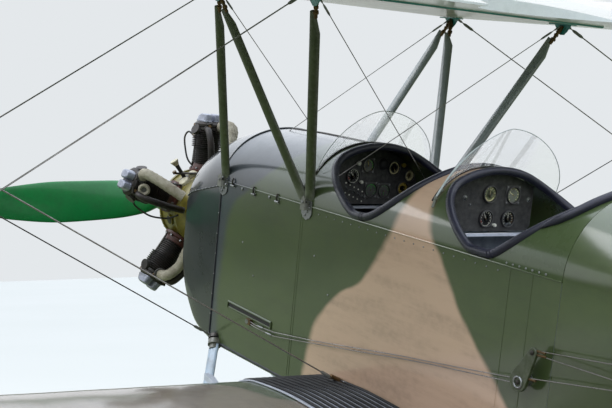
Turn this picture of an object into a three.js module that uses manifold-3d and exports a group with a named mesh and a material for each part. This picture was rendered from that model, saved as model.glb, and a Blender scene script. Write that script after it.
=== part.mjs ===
// A two-seat open-cockpit biplane trainer with a five-cylinder radial engine, parked on its wheels and tail skid.
// Every size is in millimetres. The airframe is laid out level, and its group is then pitched nose up.
// Level frame: +X to port, +Y aft, +Z up, origin on the thrust line in the plane of the cylinders.

import * as THREE from "three";
import { mergeVertices } from "three/addons/utils/BufferGeometryUtils.js";
import Module from "manifold-3d";

const wasm = await Module();
wasm.setup();

// Driving dimensions

const SEAT_GAP = 0.4; // between a piece and what it is seated on
const SWING_GAP = 7; // between a moving surface and what it swings beside
const PARKED_PITCH = 0.2089; // nose-up angle on the ground, radians

const FIREWALL_Y = 850;
const BODY_HALF = 372; // half width of the body at the longerons
const LONGERON_Z = 290;
const DECK_Z = 566; // top of the decking at the cockpits
const BELLY_Z = -530;
const WALL = 25; // depth of a side wall or the floor
const DECK_WALL = 18;
const TUB_END_Y = 3150;
const STERN_Y = 7050;

const RIM_R = 17; // padded roll round a cockpit opening
const COCKPITS = {
  front: { foreY: 1625, lowY: 1990, aftY: 2295, foreRun: 340, aftPower: 3.0, panelY: 1475, panelHalf: 335, panelZ: 273 },
  rear: { foreY: 2405, lowY: 2775, aftY: 3090, foreRun: 290, aftPower: 2.2, panelY: 2372, panelHalf: 223, panelZ: 312 },
};
const RIM_STRAIGHT_HALF = 200; // half width at which an opening's front corners begin

const CHORD = 1650;
const DIHEDRAL = 0.0336;
const UPPER = { rootX: 750, tipX: 5700, foreY: 940, baseZ: 1190 };
const LOWER = { rootX: 374, tipX: 5325, foreY: 1750, baseZ: BELLY_Z };
const SPAR_Y = { front: 255, rear: 1015 }; // behind the leading edge
const BAY_X = 3600; // where the interplane struts stand
const AILERON = { innerX: 2950, outerX: 5050, hingeShare: 0.755 };

const CABANE = {
  footX: 359,
  frontFoot: [861, 287],
  rearFoot: [1604, 296],
  slantFootY: 1571,
  topX: 680,
  frontTopY: 1198,
  rearTopY: 1975,
  chord: 58,
  thick: 36,
};

const ENGINE_R = 544; // centre to the outer face of a cylinder head
const CYLINDERS = 5;
const COWL_FACE_Y = 330;
const PROP = { radius: 1200, y: -450, droop: -0.045 };

const WHEEL = { radius: 350, width: 120, x: 840, y: 1420, z: -1103.5, bore: 22 };
const GROUND = WHEEL.radius + WHEEL.y * Math.sin(PARKED_PITCH) - WHEEL.z * Math.cos(PARKED_PITCH);
const groundZ = (y) => (y * Math.sin(PARKED_PITCH) - GROUND) / Math.cos(PARKED_PITCH); // the ground in the level frame
const SKID_Y = 7000;

const TAIL_SEAT_Z = 305; // where the stabiliser rests on the body
const TAIL = { z: TAIL_SEAT_Z + 24.4, foreY: 6140, hingeY: 6790, aftY: 7330, half: 1800, thick: 56 };
const TAIL_HINGE = { innerX: 620, outerX: 644, pinR: 9, reach: 44 }; // the elevator's brackets
const RUDDER = { hingeY: 7085, aftY: 7665, topZ: 1130, lowZ: -60, thick: 50, lowPinZ: 60, highPinZ: 640 };

// Solid helpers

/** A closed geometry as a solid, turned outwards if its faces point in. */
function solidOf(geometry) {
  const bare = geometry.index ? geometry.toNonIndexed() : geometry.clone();
  bare.deleteAttribute("normal");
  bare.deleteAttribute("uv");
  const merged = mergeVertices(bare, 1e-3);
  const triVerts = new Uint32Array(merged.index.array);
  const make = () =>
    new wasm.Manifold(new wasm.Mesh({ numProp: 3, vertProperties: merged.attributes.position.array, triVerts }));
  const solid = make();
  if (solid.volume() > 0) return solid;
  for (let i = 0; i < triVerts.length; i += 3) {
    [triVerts[i + 1], triVerts[i + 2]] = [triVerts[i + 2], triVerts[i + 1]];
  }
  return make();
}

function geometryOf(solid) {
  const { vertProperties, triVerts, numProp } = solid.getMesh();
  const positions = new Float32Array((vertProperties.length / numProp) * 3);
  for (let i = 0; i * numProp < vertProperties.length; i++) {
    positions.set(vertProperties.subarray(i * numProp, i * numProp + 3), i * 3);
  }
  const geometry = new THREE.BufferGeometry();
  geometry.setAttribute("position", new THREE.BufferAttribute(positions, 3));
  geometry.setIndex(new THREE.BufferAttribute(new Uint32Array(triVerts), 1));
  return geometry;
}

/** Joins a row of rings, each a list of [x, y, z] with the same count, into one closed solid. */
function loft(rings, isLoop = false) {
  const count = rings[0].length;
  const positions = rings.flat(2);
  const index = [];
  const spans = isLoop ? rings.length : rings.length - 1;
  for (let r = 0; r < spans; r++) {
    const next = (r + 1) % rings.length;
    for (let i = 0; i < count; i++) {
      const j = (i + 1) % count;
      const [a, b, c, d] = [r * count + i, r * count + j, next * count + j, next * count + i];
      index.push(a, b, c, a, c, d);
    }
  }
  const cap = (ringIndex, turned) => {
    const ring = rings[ringIndex];
    const centre = positions.length / 3;
    for (let k = 0; k < 3; k++) positions.push(ring.reduce((sum, p) => sum + p[k], 0) / count);
    for (let i = 0; i < count; i++) {
      const [a, b] = [ringIndex * count + i, ringIndex * count + ((i + 1) % count)];
      index.push(centre, turned ? a : b, turned ? b : a);
    }
  };
  if (!isLoop) {
    cap(0, false);
    cap(rings.length - 1, true);
  }
  const geometry = new THREE.BufferGeometry();
  geometry.setAttribute("position", new THREE.Float32BufferAttribute(positions, 3));
  geometry.setIndex(index);
  return solidOf(geometry);
}

/** A straight member with an oval section: `along` is its size down the airflow, `across` the other way. */
function bar(from, to, along, across, sides = 8) {
  const start = new THREE.Vector3(...from);
  const end = new THREE.Vector3(...to);
  const axis = end.clone().sub(start).normalize();
  const flow = Math.abs(axis.y) > 0.9 ? new THREE.Vector3(0, 0, 1) : new THREE.Vector3(0, 1, 0);
  flow.addScaledVector(axis, -flow.dot(axis)).normalize();
  const side = axis.clone().cross(flow);
  const ring = (centre) =>
    Array.from({ length: sides }, (_, i) => {
      const turn = ((i + 0.5) / sides) * Math.PI * 2;
      const point = centre.clone();
      point.addScaledVector(flow, (Math.cos(turn) * along) / 2);
      point.addScaledVector(side, (Math.sin(turn) * across) / 2);
      return point.toArray();
    });
  return loft([ring(start), ring(end)]);
}

/** A box between two opposite corners. */
function block([x0, y0, z0], [x1, y1, z1]) {
  const geometry = new THREE.BoxGeometry(Math.abs(x1 - x0), Math.abs(y1 - y0), Math.abs(z1 - z0));
  geometry.translate((x0 + x1) / 2, (y0 + y1) / 2, (z0 + z1) / 2);
  return solidOf(geometry);
}

/** A turned solid from a profile of [radius, height]; `place` turns and moves the lathe's +Y axis. */
function turned(profile, sides, place) {
  const points = profile.map(([radius, height]) => new THREE.Vector2(radius, height));
  const geometry = new THREE.LatheGeometry(points, sides);
  geometry.applyMatrix4(place);
  return solidOf(geometry);
}

/** The matrix that lays a lathe's axis along `direction` and sets its foot at `origin`. */
function laidAlong(direction, origin) {
  const axis = new THREE.Vector3(...direction).normalize();
  const turn = new THREE.Quaternion().setFromUnitVectors(new THREE.Vector3(0, 1, 0), axis);
  return new THREE.Matrix4().compose(new THREE.Vector3(...origin), turn, new THREE.Vector3(1, 1, 1));
}

/** A round pin or hole of one radius between two points. */
function pin(from, to, radius, sides = 12) {
  return bar(from, to, radius * 2, radius * 2, sides);
}

const fuse = (...solids) => solids.reduce((whole, next) => whole.add(next));
const shifted = (solid, x, y, z) => solid.translate([x, y, z]);
const mirrored = (solid) => solid.mirror([1, 0, 0]);

// Body sections

/** Height of the decking over the body's half width, at a given top. */
const deckHeight = (x, half, top) => LONGERON_Z + (top - LONGERON_Z) * Math.sqrt(Math.max(0, 1 - (x / half) ** 2));

/** A closed body section at station y: flat belly with small round corners, upright sides, oval top. */
function bodyRing({ y, half, belly, shoulder, top, corner = 20 }) {
  const ring = [];
  for (const side of [-1, 1]) {
    const turns = side < 0 ? [0, 1, 2] : [2, 1, 0];
    for (const k of turns) {
      const turn = (k / 2) * (Math.PI / 2);
      const x = half - corner + corner * Math.sin(Math.PI / 2 - turn);
      const z = belly + corner - corner * Math.cos(Math.PI / 2 - turn);
      ring.push([side * x, y, z]);
    }
  }
  const steps = 16;
  for (let i = 0; i <= steps; i++) {
    const turn = (i / steps) * Math.PI;
    ring.push([half * Math.cos(turn), y, shoulder + (top - shoulder) * Math.sin(turn)]);
  }
  return ring;
}

/** The flat-topped box of the cockpit section between two stations. */
function boxRing(y, half, belly, top) {
  return [
    [-half, y, belly],
    [half, y, belly],
    [half, y, top],
    [-half, y, top],
  ];
}

/** A cockpit opening in plan: points [x, y] round the roll's centre line, starting at the front centre. */
function openingPlan({ foreY, lowY, aftY, foreRun, aftPower }, steps = 8) {
  const wide = BODY_HALF - 1;
  const corner = wide - RIM_STRAIGHT_HALF;
  const half = [[0, foreY], [RIM_STRAIGHT_HALF * 0.5, foreY]];
  for (let i = 0; i <= steps; i++) {
    const turn = (i / steps) * (Math.PI / 2);
    half.push([RIM_STRAIGHT_HALF + corner * Math.sin(turn), foreY + foreRun * (1 - Math.cos(turn))]);
  }
  for (let i = 0; i <= steps; i++) {
    const turn = (i / steps) * (Math.PI / 2);
    const x = i === steps ? 0 : wide * Math.cos(turn) ** (2 / aftPower);
    const y = lowY + (aftY - lowY) * Math.sin(turn) ** (2 / aftPower);
    half.push([x, y]);
  }
  const other = half.slice(1, -1).reverse().map(([x, y]) => [-x, y]);
  return [...half, ...other];
}

/** The padded roll on an opening's edge, of a given radius, following the decking's surface. */
function rimTube(cockpit, radius, sides = 8) {
  const path = openingPlan(cockpit).map(
    ([x, y]) => new THREE.Vector3(x, y, deckHeight(x, BODY_HALF, DECK_Z) - DECK_WALL / 2 + 6),
  );
  const rings = path.map((centre, i) => {
    const ahead = path[(i + 1) % path.length];
    const behind = path[(i + path.length - 1) % path.length];
    const axis = ahead.clone().sub(behind).normalize();
    const up = new THREE.Vector3(0, 0, 1).addScaledVector(axis, -axis.z).normalize();
    const out = axis.clone().cross(up);
    return Array.from({ length: sides }, (_, k) => {
      const turn = (k / sides) * Math.PI * 2;
      const point = centre.clone();
      point.addScaledVector(up, Math.cos(turn) * radius);
      return point.addScaledVector(out, Math.sin(turn) * radius).toArray();
    });
  });
  return loft(rings, true);
}

/** An upright prism over an opening, to cut it from the decking. */
function openingPrism(cockpit) {
  const plan = openingPlan(cockpit);
  return loft([plan.map(([x, y]) => [x, y, LONGERON_Z - 60]), plan.map(([x, y]) => [x, y, DECK_Z + 100])]);
}

const rims = { front: rimTube(COCKPITS.front, RIM_R), rear: rimTube(COCKPITS.rear, RIM_R) };
const rimGrooves = fuse(
  rimTube(COCKPITS.front, RIM_R + SEAT_GAP),
  rimTube(COCKPITS.rear, RIM_R + SEAT_GAP),
);
const openings = fuse(openingPrism(COCKPITS.front), openingPrism(COCKPITS.rear));

/** The open box that carries the cockpits: walls, floor and bulkheads. */
function makeTub() {
  const outer = loft([
    boxRing(FIREWALL_Y, BODY_HALF, BELLY_Z, LONGERON_Z),
    boxRing(TUB_END_Y, BODY_HALF, BELLY_Z, LONGERON_Z),
  ]);
  const inner = BODY_HALF - WALL;
  const bays = [
    [FIREWALL_Y + WALL, COCKPITS.front.aftY + 8],
    [COCKPITS.front.aftY + 8 + WALL, TUB_END_Y - WALL],
  ];
  const hollow = bays.map(([y0, y1]) => block([-inner, y0, BELLY_Z + WALL], [inner, y1, LONGERON_Z + 50]));
  return outer.subtract(fuse(...hollow)).subtract(rimGrooves);
}

/** The curved decking over a row of stations [y, top], with the cockpit openings cut. */
function makeDecking(stations) {
  const ring = (y, half, top, inset) => {
    const steps = 18;
    return Array.from({ length: steps + 1 }, (_, i) => {
      const turn = (i / steps) * Math.PI;
      const z = LONGERON_Z + SEAT_GAP - inset * 3 + (top - LONGERON_Z) * Math.sin(turn);
      return [half * Math.cos(turn), y, z];
    });
  };
  const outer = loft(stations.map(([y, top]) => ring(y, BODY_HALF, top, 0)));
  const innerHalf = BODY_HALF - DECK_WALL;
  const last = stations.length - 1;
  const past = stations.map(([y, top], i) => [y + (i === last ? 1 : i === 0 ? -1 : 0), top - DECK_WALL]);
  const inner = loft(past.map(([y, top]) => ring(y, innerHalf, top, 1)));
  return outer.subtract(inner).subtract(openings).subtract(rimGrooves);
}

const REAR_BODY = [
  { y: TUB_END_Y + SEAT_GAP, half: 372, belly: -530, top: 597 },
  { y: 4100, half: 318, belly: -420, top: 520 },
  { y: 5100, half: 232, belly: -290, top: 430 },
  { y: 6100, half: 138, belly: -150, top: TAIL_SEAT_Z },
  { y: STERN_Y, half: 34, belly: -40, top: TAIL_SEAT_Z - 8 },
];

function makeRearBody() {
  const shell = loft(REAR_BODY.map((row) => bodyRing({ ...row, shoulder: LONGERON_Z })));
  return shell.add(rudderBracket(RUDDER.lowPinZ, STERN_Y - 12));
}

// The cowl's sections, from its front edge to the firewall
const COWL = [
  { y: COWL_FACE_Y, half: 262, belly: -250, shoulder: 10, top: 330, corner: 190 },
  { y: 400, half: 318, belly: -330, shoulder: 80, top: 410, corner: 150 },
  { y: 520, half: 345, belly: -430, shoulder: 160, top: 458, corner: 90 },
  { y: 680, half: 362, belly: -505, shoulder: 240, top: 524, corner: 40 },
  { y: FIREWALL_Y - SEAT_GAP, half: 371, belly: -530, shoulder: 288, top: 561, corner: 20 },
];

const makeCowl = () => loft(COWL.map(bodyRing));

// Wings

// The wing section: share of the chord, then the heights of its top and underside as shares of the chord
const WING_SECTION = [
  { share: 0.0, top: 0.03, under: 0.022 },
  { share: 0.03, top: 0.053, under: 0.009 },
  { share: 0.1, top: 0.073, under: 0.002 },
  { share: 0.28, top: 0.086, under: 0.0 },
  { share: 0.5, top: 0.078, under: 0.0 },
  { share: 0.75, top: 0.045, under: 0.0 },
  { share: 1.0, top: 0.005, under: 0.0 },
];

/** One ring of the wing section at span station x. */
function wingRing(x, foreY, chord, baseZ) {
  const top = WING_SECTION.map((s) => [x, foreY + s.share * chord, baseZ + s.top * chord]);
  const under = WING_SECTION.map((s) => [x, foreY + s.share * chord, baseZ + s.under * chord]);
  return [...top, ...under.reverse()];
}

/** A wing panel to port, from its root rib to its rounded tip. */
function wingPanel({ rootX, tipX, foreY, baseZ }) {
  const round = CHORD * 0.52;
  const rings = [wingRing(rootX, foreY, CHORD, baseZ)];
  const steps = 6;
  for (let i = 0; i <= steps; i++) {
    const turn = (i / (steps + 0.35)) * (Math.PI / 2);
    const x = tipX - round + round * Math.sin(turn);
    const chord = CHORD * Math.cos(turn);
    const rise = (x - rootX) * DIHEDRAL;
    rings.push(wingRing(x, foreY + (CHORD - chord) * 0.46, chord, baseZ + rise + (CHORD - chord) * 0.02));
  }
  return loft(rings);
}

/** The hinge line of the port aileron of a wing, as a point at span station x. */
function aileronHinge({ rootX, foreY, baseZ }, x) {
  const rise = (x - rootX) * DIHEDRAL;
  return [x, foreY + CHORD * AILERON.hingeShare, baseZ + rise + CHORD * 0.0222];
}

/** Splits a port wing panel into the fixed wing and its aileron, joined by a pin at each end. */
function splitAileron(panel, wing) {
  const { innerX, outerX } = AILERON;
  const nose = 33;
  const pinReach = 16;
  const pinR = 7;
  const sweep = (inner, outer, radius, back) => {
    const a = aileronHinge(wing, inner);
    const b = aileronHinge(wing, outer);
    const slab = loft(
      [a, b].map(([x, y, z]) => [
        [x, y + back, z - 300],
        [x, y + back, z + 300],
        [x, y + 900, z + 300],
        [x, y + 900, z - 300],
      ]),
    );
    return slab.add(pin(a, b, radius, 16));
  };
  const hole = sweep(innerX, outerX, nose + SWING_GAP, 0);
  const body = sweep(innerX + SWING_GAP, outerX - SWING_GAP, nose, 0);
  const ends = [
    [innerX, 1],
    [outerX, -1],
  ];
  const pins = ends.map(([x, way]) =>
    pin(aileronHinge(wing, x - way * 20), aileronHinge(wing, x + way * (SWING_GAP + pinReach)), pinR),
  );
  const sockets = ends.map(([x, way]) =>
    pin(aileronHinge(wing, x), aileronHinge(wing, x + way * (SWING_GAP + pinReach + 1)), pinR + 0.6),
  );
  return {
    fixed: panel.subtract(hole).add(fuse(...pins)),
    aileron: panel.intersect(body).subtract(fuse(...sockets)),
  };
}

/** The flat centre section over the cabane, with a round cut-out over the front cockpit. */
function makeCentreSection() {
  const edge = UPPER.rootX - SEAT_GAP;
  const slab = loft([-edge, edge].map((x) => wingRing(x, UPPER.foreY, CHORD, UPPER.baseZ)));
  const cut = turned(
    [
      [0, -60],
      [330, -60],
      [330, 300],
      [0, 300],
    ],
    32,
    laidAlong([0, 0, 1], [0, 0, 0]),
  );
  return slab.subtract(cut.scale([1, 0.9, 1]).translate([0, UPPER.foreY + CHORD + 40, UPPER.baseZ]));
}

const upperPanel = wingPanel(UPPER);
const lowerPanel = wingPanel(LOWER);
const upperWing = splitAileron(upperPanel, UPPER);
const lowerWing = splitAileron(lowerPanel, LOWER);
const centreSection = makeCentreSection();

/** A point inside the wing's depth on a spar, at span station x. */
function sparPoint(wing, spar, x, lift) {
  const rise = Math.max(0, x - wing.rootX) * DIHEDRAL;
  return [x, wing.foreY + SPAR_Y[spar], wing.baseZ + rise + lift];
}

/** The largest separate body of a solid. */
const largest = (solid) => solid.decompose().reduce((best, next) => (next.volume() > best.volume() ? next : best));

/** Trims a strut or stay so that it stops just short of the wings. */
function seated(solid) {
  const trimmed = solid
    .subtract(shifted(upperPanel, 0, 0, -SEAT_GAP))
    .subtract(shifted(centreSection, 0, 0, -SEAT_GAP))
    .subtract(shifted(lowerPanel, 0, 0, SEAT_GAP));
  return largest(trimmed);
}

function makeCabane() {
  const { footX, frontFoot, rearFoot, slantFootY, topX, frontTopY, rearTopY, chord, thick } = CABANE;
  const topZ = UPPER.baseZ + 30;
  const frontTop = [topX, frontTopY, topZ];
  const rearTop = [topX, rearTopY, topZ];
  const frontBase = [footX, ...frontFoot];
  const rearBase = [footX, ...rearFoot];
  const slantBase = [footX, slantFootY, rearFoot[1]];
  const foot = (foreY, aftY, z) => block([BODY_HALF + SEAT_GAP, foreY - 28, z - 34], [footX + 42, aftY + 28, z + 22]);
  const struts = fuse(
    bar(frontBase, frontTop, chord, thick),
    bar(rearBase, rearTop, chord, thick),
    bar(slantBase, frontTop, chord, thick),
    foot(frontFoot[0], frontFoot[0], frontFoot[1]),
    foot(slantFootY, ...rearFoot),
  );
  return seated(struts).subtract(block([-BODY_HALF - SEAT_GAP, 0, -900], [BODY_HALF + SEAT_GAP, 4000, LONGERON_Z + 400]));
}

function makeInterplaneStrut(spar) {
  return seated(bar(sparPoint(LOWER, spar, BAY_X, 90), sparPoint(UPPER, spar, BAY_X, 40), 62, 34));
}

// The main stays to port: name, lower end, upper end
const STAYS = [
  { name: "flying_front", low: [BODY_HALF + 8, 862, -520], high: sparPoint(UPPER, "front", BAY_X - 70, 30) },
  { name: "flying_rear", low: sparPoint(LOWER, "front", 400, 100), high: sparPoint(UPPER, "rear", BAY_X - 70, 30) },
  { name: "landing_front", low: sparPoint(LOWER, "front", BAY_X - 70, 90), high: sparPoint(UPPER, "front", 716, 12) },
  { name: "landing_rear", low: sparPoint(LOWER, "rear", BAY_X - 70, 80), high: sparPoint(UPPER, "rear", 716, 12) },
];

const makeStay = ({ low, high }) => seated(bar(low, high, 8, 8, 6));

// Engine

function makeCrankcase() {
  const profile = [
    [0, -340],
    [46, -340],
    [60, -300],
    [105, -250],
    [150, -190],
    [205, -120],
    [215, -80],
    [215, 90],
    [190, 130],
    [200, COWL_FACE_Y - SEAT_GAP],
    [0, COWL_FACE_Y - SEAT_GAP],
  ];
  return turned(profile, 20, laidAlong([0, 1, 0], [0, 0, 0]));
}

function makeCylinder(index) {
  const turn = (index / CYLINDERS) * Math.PI * 2;
  const direction = [Math.sin(turn), 0, Math.cos(turn)];
  const profile = [
    [0, 216],
    [92, 216],
    [92, 232],
    [74, 234],
    [74, 260],
    [92, 264],
    [92, 400],
    [98, 405],
    [98, 500],
    [60, ENGINE_R],
    [0, ENGINE_R],
  ];
  return turned(profile, 14, laidAlong(direction, [0, 0, 0]));
}

// Propeller: share of the radius, chord, thickness, pitch angle in radians
const BLADE = [
  { share: 0.06, chord: 112, thick: 96, pitch: 0.9 },
  { share: 0.14, chord: 168, thick: 74, pitch: 0.8 },
  { share: 0.3, chord: 224, thick: 44, pitch: 0.62 },
  { share: 0.55, chord: 226, thick: 26, pitch: 0.42 },
  { share: 0.8, chord: 182, thick: 16, pitch: 0.31 },
  { share: 0.94, chord: 120, thick: 12, pitch: 0.27 },
  { share: 1.0, chord: 46, thick: 8, pitch: 0.26 },
];

function makePropeller() {
  const blade = loft(
    BLADE.map(({ share, chord, thick, pitch }) =>
      Array.from({ length: 12 }, (_, i) => {
        const turn = (i / 12) * Math.PI * 2;
        const [u, v] = [(Math.cos(turn) * chord) / 2, (Math.sin(turn) * thick) / 2];
        return [
          share * PROP.radius,
          PROP.y - u * Math.sin(pitch) + v * Math.cos(pitch),
          u * Math.cos(pitch) + v * Math.sin(pitch),
        ];
      }),
    ),
  );
  const hub = turned(
    [
      [0, -500],
      [50, -500],
      [92, -486],
      [92, -398],
      [46, -380],
      [46, -340 - SEAT_GAP],
      [0, -340 - SEAT_GAP],
    ],
    20,
    laidAlong([0, 1, 0], [0, 0, 0]),
  );
  const whole = fuse(hub, blade, blade.rotate([0, 180, 0]));
  return whole.rotate([0, THREE.MathUtils.radToDeg(-PROP.droop), 0]);
}

// Undercarriage

function makeUndercarriage() {
  const axleEnd = WHEEL.x - WHEEL.width / 2 - 46;
  const legs = [-1, 1].flatMap((side) => {
    const foot = [side * axleEnd, WHEEL.y, WHEEL.z];
    return [
      bar([side * 352, 880, BELLY_Z + 60], foot, 60, 36),
      bar([side * 352, 1700, BELLY_Z + 60], foot, 50, 32),
    ];
  });
  const axle = pin([-axleEnd - 30, WHEEL.y, WHEEL.z], [axleEnd + 30, WHEEL.y, WHEEL.z], 26);
  const stub = pin([-WHEEL.x - 78, WHEEL.y, WHEEL.z], [WHEEL.x + 78, WHEEL.y, WHEEL.z], WHEEL.bore - 0.6, 16);
  return fuse(axle, stub, ...legs).subtract(
    block([-BODY_HALF, 0, BELLY_Z - SEAT_GAP], [BODY_HALF, 4000, LONGERON_Z]),
  );
}

function makeWheel() {
  const { radius, width, bore } = WHEEL;
  const profile = [
    [bore, -70],
    [48, -70],
    [60, -54],
    [radius - 92, -34],
    [radius - 78, -52],
    [radius - 40, -width / 2],
    [radius - 10, -44],
    [radius, -16],
    [radius, 16],
    [radius - 10, 44],
    [radius - 40, width / 2],
    [radius - 78, 52],
    [radius - 92, 34],
    [60, 54],
    [48, 70],
    [bore, 70],
    [bore, -70],
  ];
  const upright = new THREE.Matrix4().makeRotationX(PARKED_PITCH);
  const place = new THREE.Matrix4().makeTranslation(WHEEL.x, WHEEL.y, WHEEL.z);
  place.multiply(upright).multiply(laidAlong([1, 0, 0], [0, 0, 0]));
  return turned(profile, 40, place);
}

function makeSkid() {
  const foot = [0, SKID_Y, groundZ(SKID_Y) + 16];
  const shoe = loft(
    [SKID_Y - 70, SKID_Y + 45].map((y) => [
      [-40, y, groundZ(y)],
      [40, y, groundZ(y)],
      [40, y, groundZ(y) + 24],
      [-40, y, groundZ(y) + 24],
    ]),
  );
  const skid = fuse(
    bar([0, 6520, -60], foot, 30, 56, 8),
    bar([0, 6820, -40], [0, 6880, groundZ(6880) + 70], 40, 34, 8),
    shoe,
  );
  return largest(skid.subtract(shifted(makeRearBody(), 0, 0, -SEAT_GAP)));
}

// Tail

/** A thin flat surface from a plan outline of [u, v] points, with a bevelled edge. */
function slabFrom(outline, thick, place) {
  const shape = new THREE.Shape(outline.map(([u, v]) => new THREE.Vector2(u, v)));
  const geometry = new THREE.ExtrudeGeometry(shape, { depth: thick, bevelEnabled: false, curveSegments: 6 });
  geometry.translate(0, 0, -thick / 2);
  geometry.applyMatrix4(place);
  return solidOf(geometry);
}

const FLAT = new THREE.Matrix4(); // u to +X, v to +Y
const UPRIGHT = new THREE.Matrix4().makeBasis(
  new THREE.Vector3(0, 1, 0),
  new THREE.Vector3(0, 0, 1),
  new THREE.Vector3(1, 0, 0),
); // u to +Y, v to +Z

/** Points along a quarter oval about (cu, cv), from angle a0 to a1. */
function ovalArc(cu, cv, ru, rv, a0, a1, steps = 8) {
  return Array.from({ length: steps + 1 }, (_, i) => {
    const turn = a0 + ((a1 - a0) * i) / steps;
    return [cu + ru * Math.cos(turn), cv + rv * Math.sin(turn)];
  });
}

function makeStabiliser() {
  const { foreY, hingeY, half, thick, z } = TAIL;
  const aft = hingeY - thick / 2 - SWING_GAP;
  const port = ovalArc(half - 620, aft, 600, aft - foreY, -Math.PI / 2, 0, 8);
  const outline = [...port, ...port.map(([u, v]) => [-u, v]).reverse()];
  const slab = slabFrom(outline, thick - 8, FLAT).translate([0, 0, z]);
  const { innerX, outerX, pinR, reach } = TAIL_HINGE;
  const brackets = [-1, 1].map((side) =>
    block([side * innerX, aft - 30, z - 8], [side * outerX, hingeY, z + 8]).add(
      pin([side * (innerX - reach), hingeY, z], [side * (outerX + reach), hingeY, z], pinR),
    ),
  );
  return fuse(slab, ...brackets);
}

function makeElevator() {
  const { hingeY, aftY, half, thick, z } = TAIL;
  const nose = thick / 2;
  const innerX = 112;
  const outline = [
    [innerX, hingeY],
    [half - 20, hingeY],
    ...ovalArc(half - 620, hingeY, 600, aftY - hingeY, 0.12, Math.PI / 2, 8),
    [innerX + 150, aftY],
    [innerX + 150, aftY - 60],
    [innerX, RUDDER.hingeY - 10],
  ];
  const leaf = slabFrom(outline, thick - 16, FLAT).translate([0, 0, z]);
  const portHalf = leaf.add(pin([innerX, hingeY, z], [half - 30, hingeY, z], nose, 16));
  const { innerX: lugX, outerX: lugEndX, pinR, reach } = TAIL_HINGE;
  const room = SWING_GAP * 2;
  const bracketGap = block([lugX - room, hingeY - 60, z - 60], [lugEndX + room, hingeY + 26, z + 60]);
  const socket = pin([lugX - reach - 3, hingeY, z], [lugEndX + reach + 3, hingeY, z], pinR + 0.6);
  const cut = portHalf.subtract(bracketGap).subtract(socket);
  const tube = pin([-innerX - 10, hingeY, z], [innerX + 10, hingeY, z], 18, 16);
  return fuse(cut, mirrored(cut), tube);
}

/** A lug with an upright pin that carries the rudder. */
function rudderBracket(z, foreY) {
  const lug = block([-12, foreY, z - 6], [12, RUDDER.hingeY + 12, z + 6]);
  return lug.add(pin([0, RUDDER.hingeY, z - 32], [0, RUDDER.hingeY, z + 32], 7));
}

function makeFin() {
  const aft = RUDDER.hingeY - RUDDER.thick / 2 - SWING_GAP;
  const lowZ = TAIL.z + TAIL.thick / 2 - 4 + SEAT_GAP;
  const overTubeZ = TAIL.z + TAIL.thick / 2 + 12;
  const tubeY = TAIL.hingeY - 50;
  const postY = aft - 60;
  const outline = [
    [postY, TAIL_SEAT_Z + SEAT_GAP],
    [aft, TAIL_SEAT_Z + SEAT_GAP],
    ...ovalArc(aft, lowZ, aft - TAIL.foreY - 120, 640, Math.PI / 2, Math.PI, 8),
    [tubeY, lowZ],
    [tubeY, overTubeZ],
    [postY, overTubeZ],
  ];
  return slabFrom(outline, RUDDER.thick - 14, UPRIGHT).add(rudderBracket(RUDDER.highPinZ, aft - 12));
}

function makeRudder() {
  const { hingeY, aftY, topZ, lowZ, thick, lowPinZ, highPinZ } = RUDDER;
  const waistZ = 430;
  const outline = [
    ...ovalArc(hingeY, waistZ, aftY - hingeY, waistZ - lowZ, -Math.PI / 2, 0, 7),
    ...ovalArc(hingeY, waistZ, aftY - hingeY, topZ - waistZ, 0.15, Math.PI / 2, 8),
  ];
  const leaf = slabFrom(outline, thick - 20, UPRIGHT);
  const nose = pin([0, hingeY, lowZ], [0, hingeY, topZ - 40], thick / 2, 16);
  const cuts = [lowPinZ, highPinZ].map((z) =>
    block([-60, hingeY - 60, z - 14], [60, hingeY + 24, z + 14]).add(pin([0, hingeY, z - 33], [0, hingeY, z + 33], 7.6)),
  );
  return leaf.add(nose).subtract(fuse(...cuts));
}

function makeTailStrut(side) {
  const low = [side * 110, 6420, -70];
  const high = [side * 900, 6560, TAIL.z];
  return bar(low, high, 34, 20)
    .subtract(shifted(makeStabiliser(), 0, 0, -SEAT_GAP))
    .subtract(shifted(makeRearBody(), side * SEAT_GAP, 0, -SEAT_GAP));
}

// Cockpit fittings

// Each windscreen: foot on the centre line, half width, top, lean aft, and how far its foot curves aft
const SCREENS = {
  front: { baseY: 1552, half: 312, crown: 724, rake: 0.32, curve: 0.0003 },
  rear: { baseY: 2341, half: 318, crown: 737, rake: 0.62, curve: 0.00043 },
};

/** A windscreen: one thin curved sheet standing on the decking. */
function makeWindscreen({ baseY, half, crown, rake, curve }, decking) {
  const columns = 20;
  const thick = 4;
  const floorZ = (x) => deckHeight(x, BODY_HALF, DECK_Z) - 3;
  const ring = (offset) => {
    const low = [];
    const high = [];
    for (let i = 0; i <= columns; i++) {
      const x = -half + (2 * half * i) / columns;
      const foot = floorZ(x);
      const arch = 445 + (crown - 445) * Math.sqrt(Math.max(0, 1 - (x / (half + 1)) ** 2));
      const top = Math.max(arch, foot + 6);
      low.push([x, baseY + curve * x * x + offset, foot]);
      high.push([x, baseY + curve * x * x + rake * (top - foot) + offset, top]);
    }
    return [...low, ...high.reverse()];
  };
  const sheet = stripSolid(ring(0), ring(thick), columns);
  return largest(sheet.subtract(shifted(decking, 0, 0, SEAT_GAP)));
}

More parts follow.
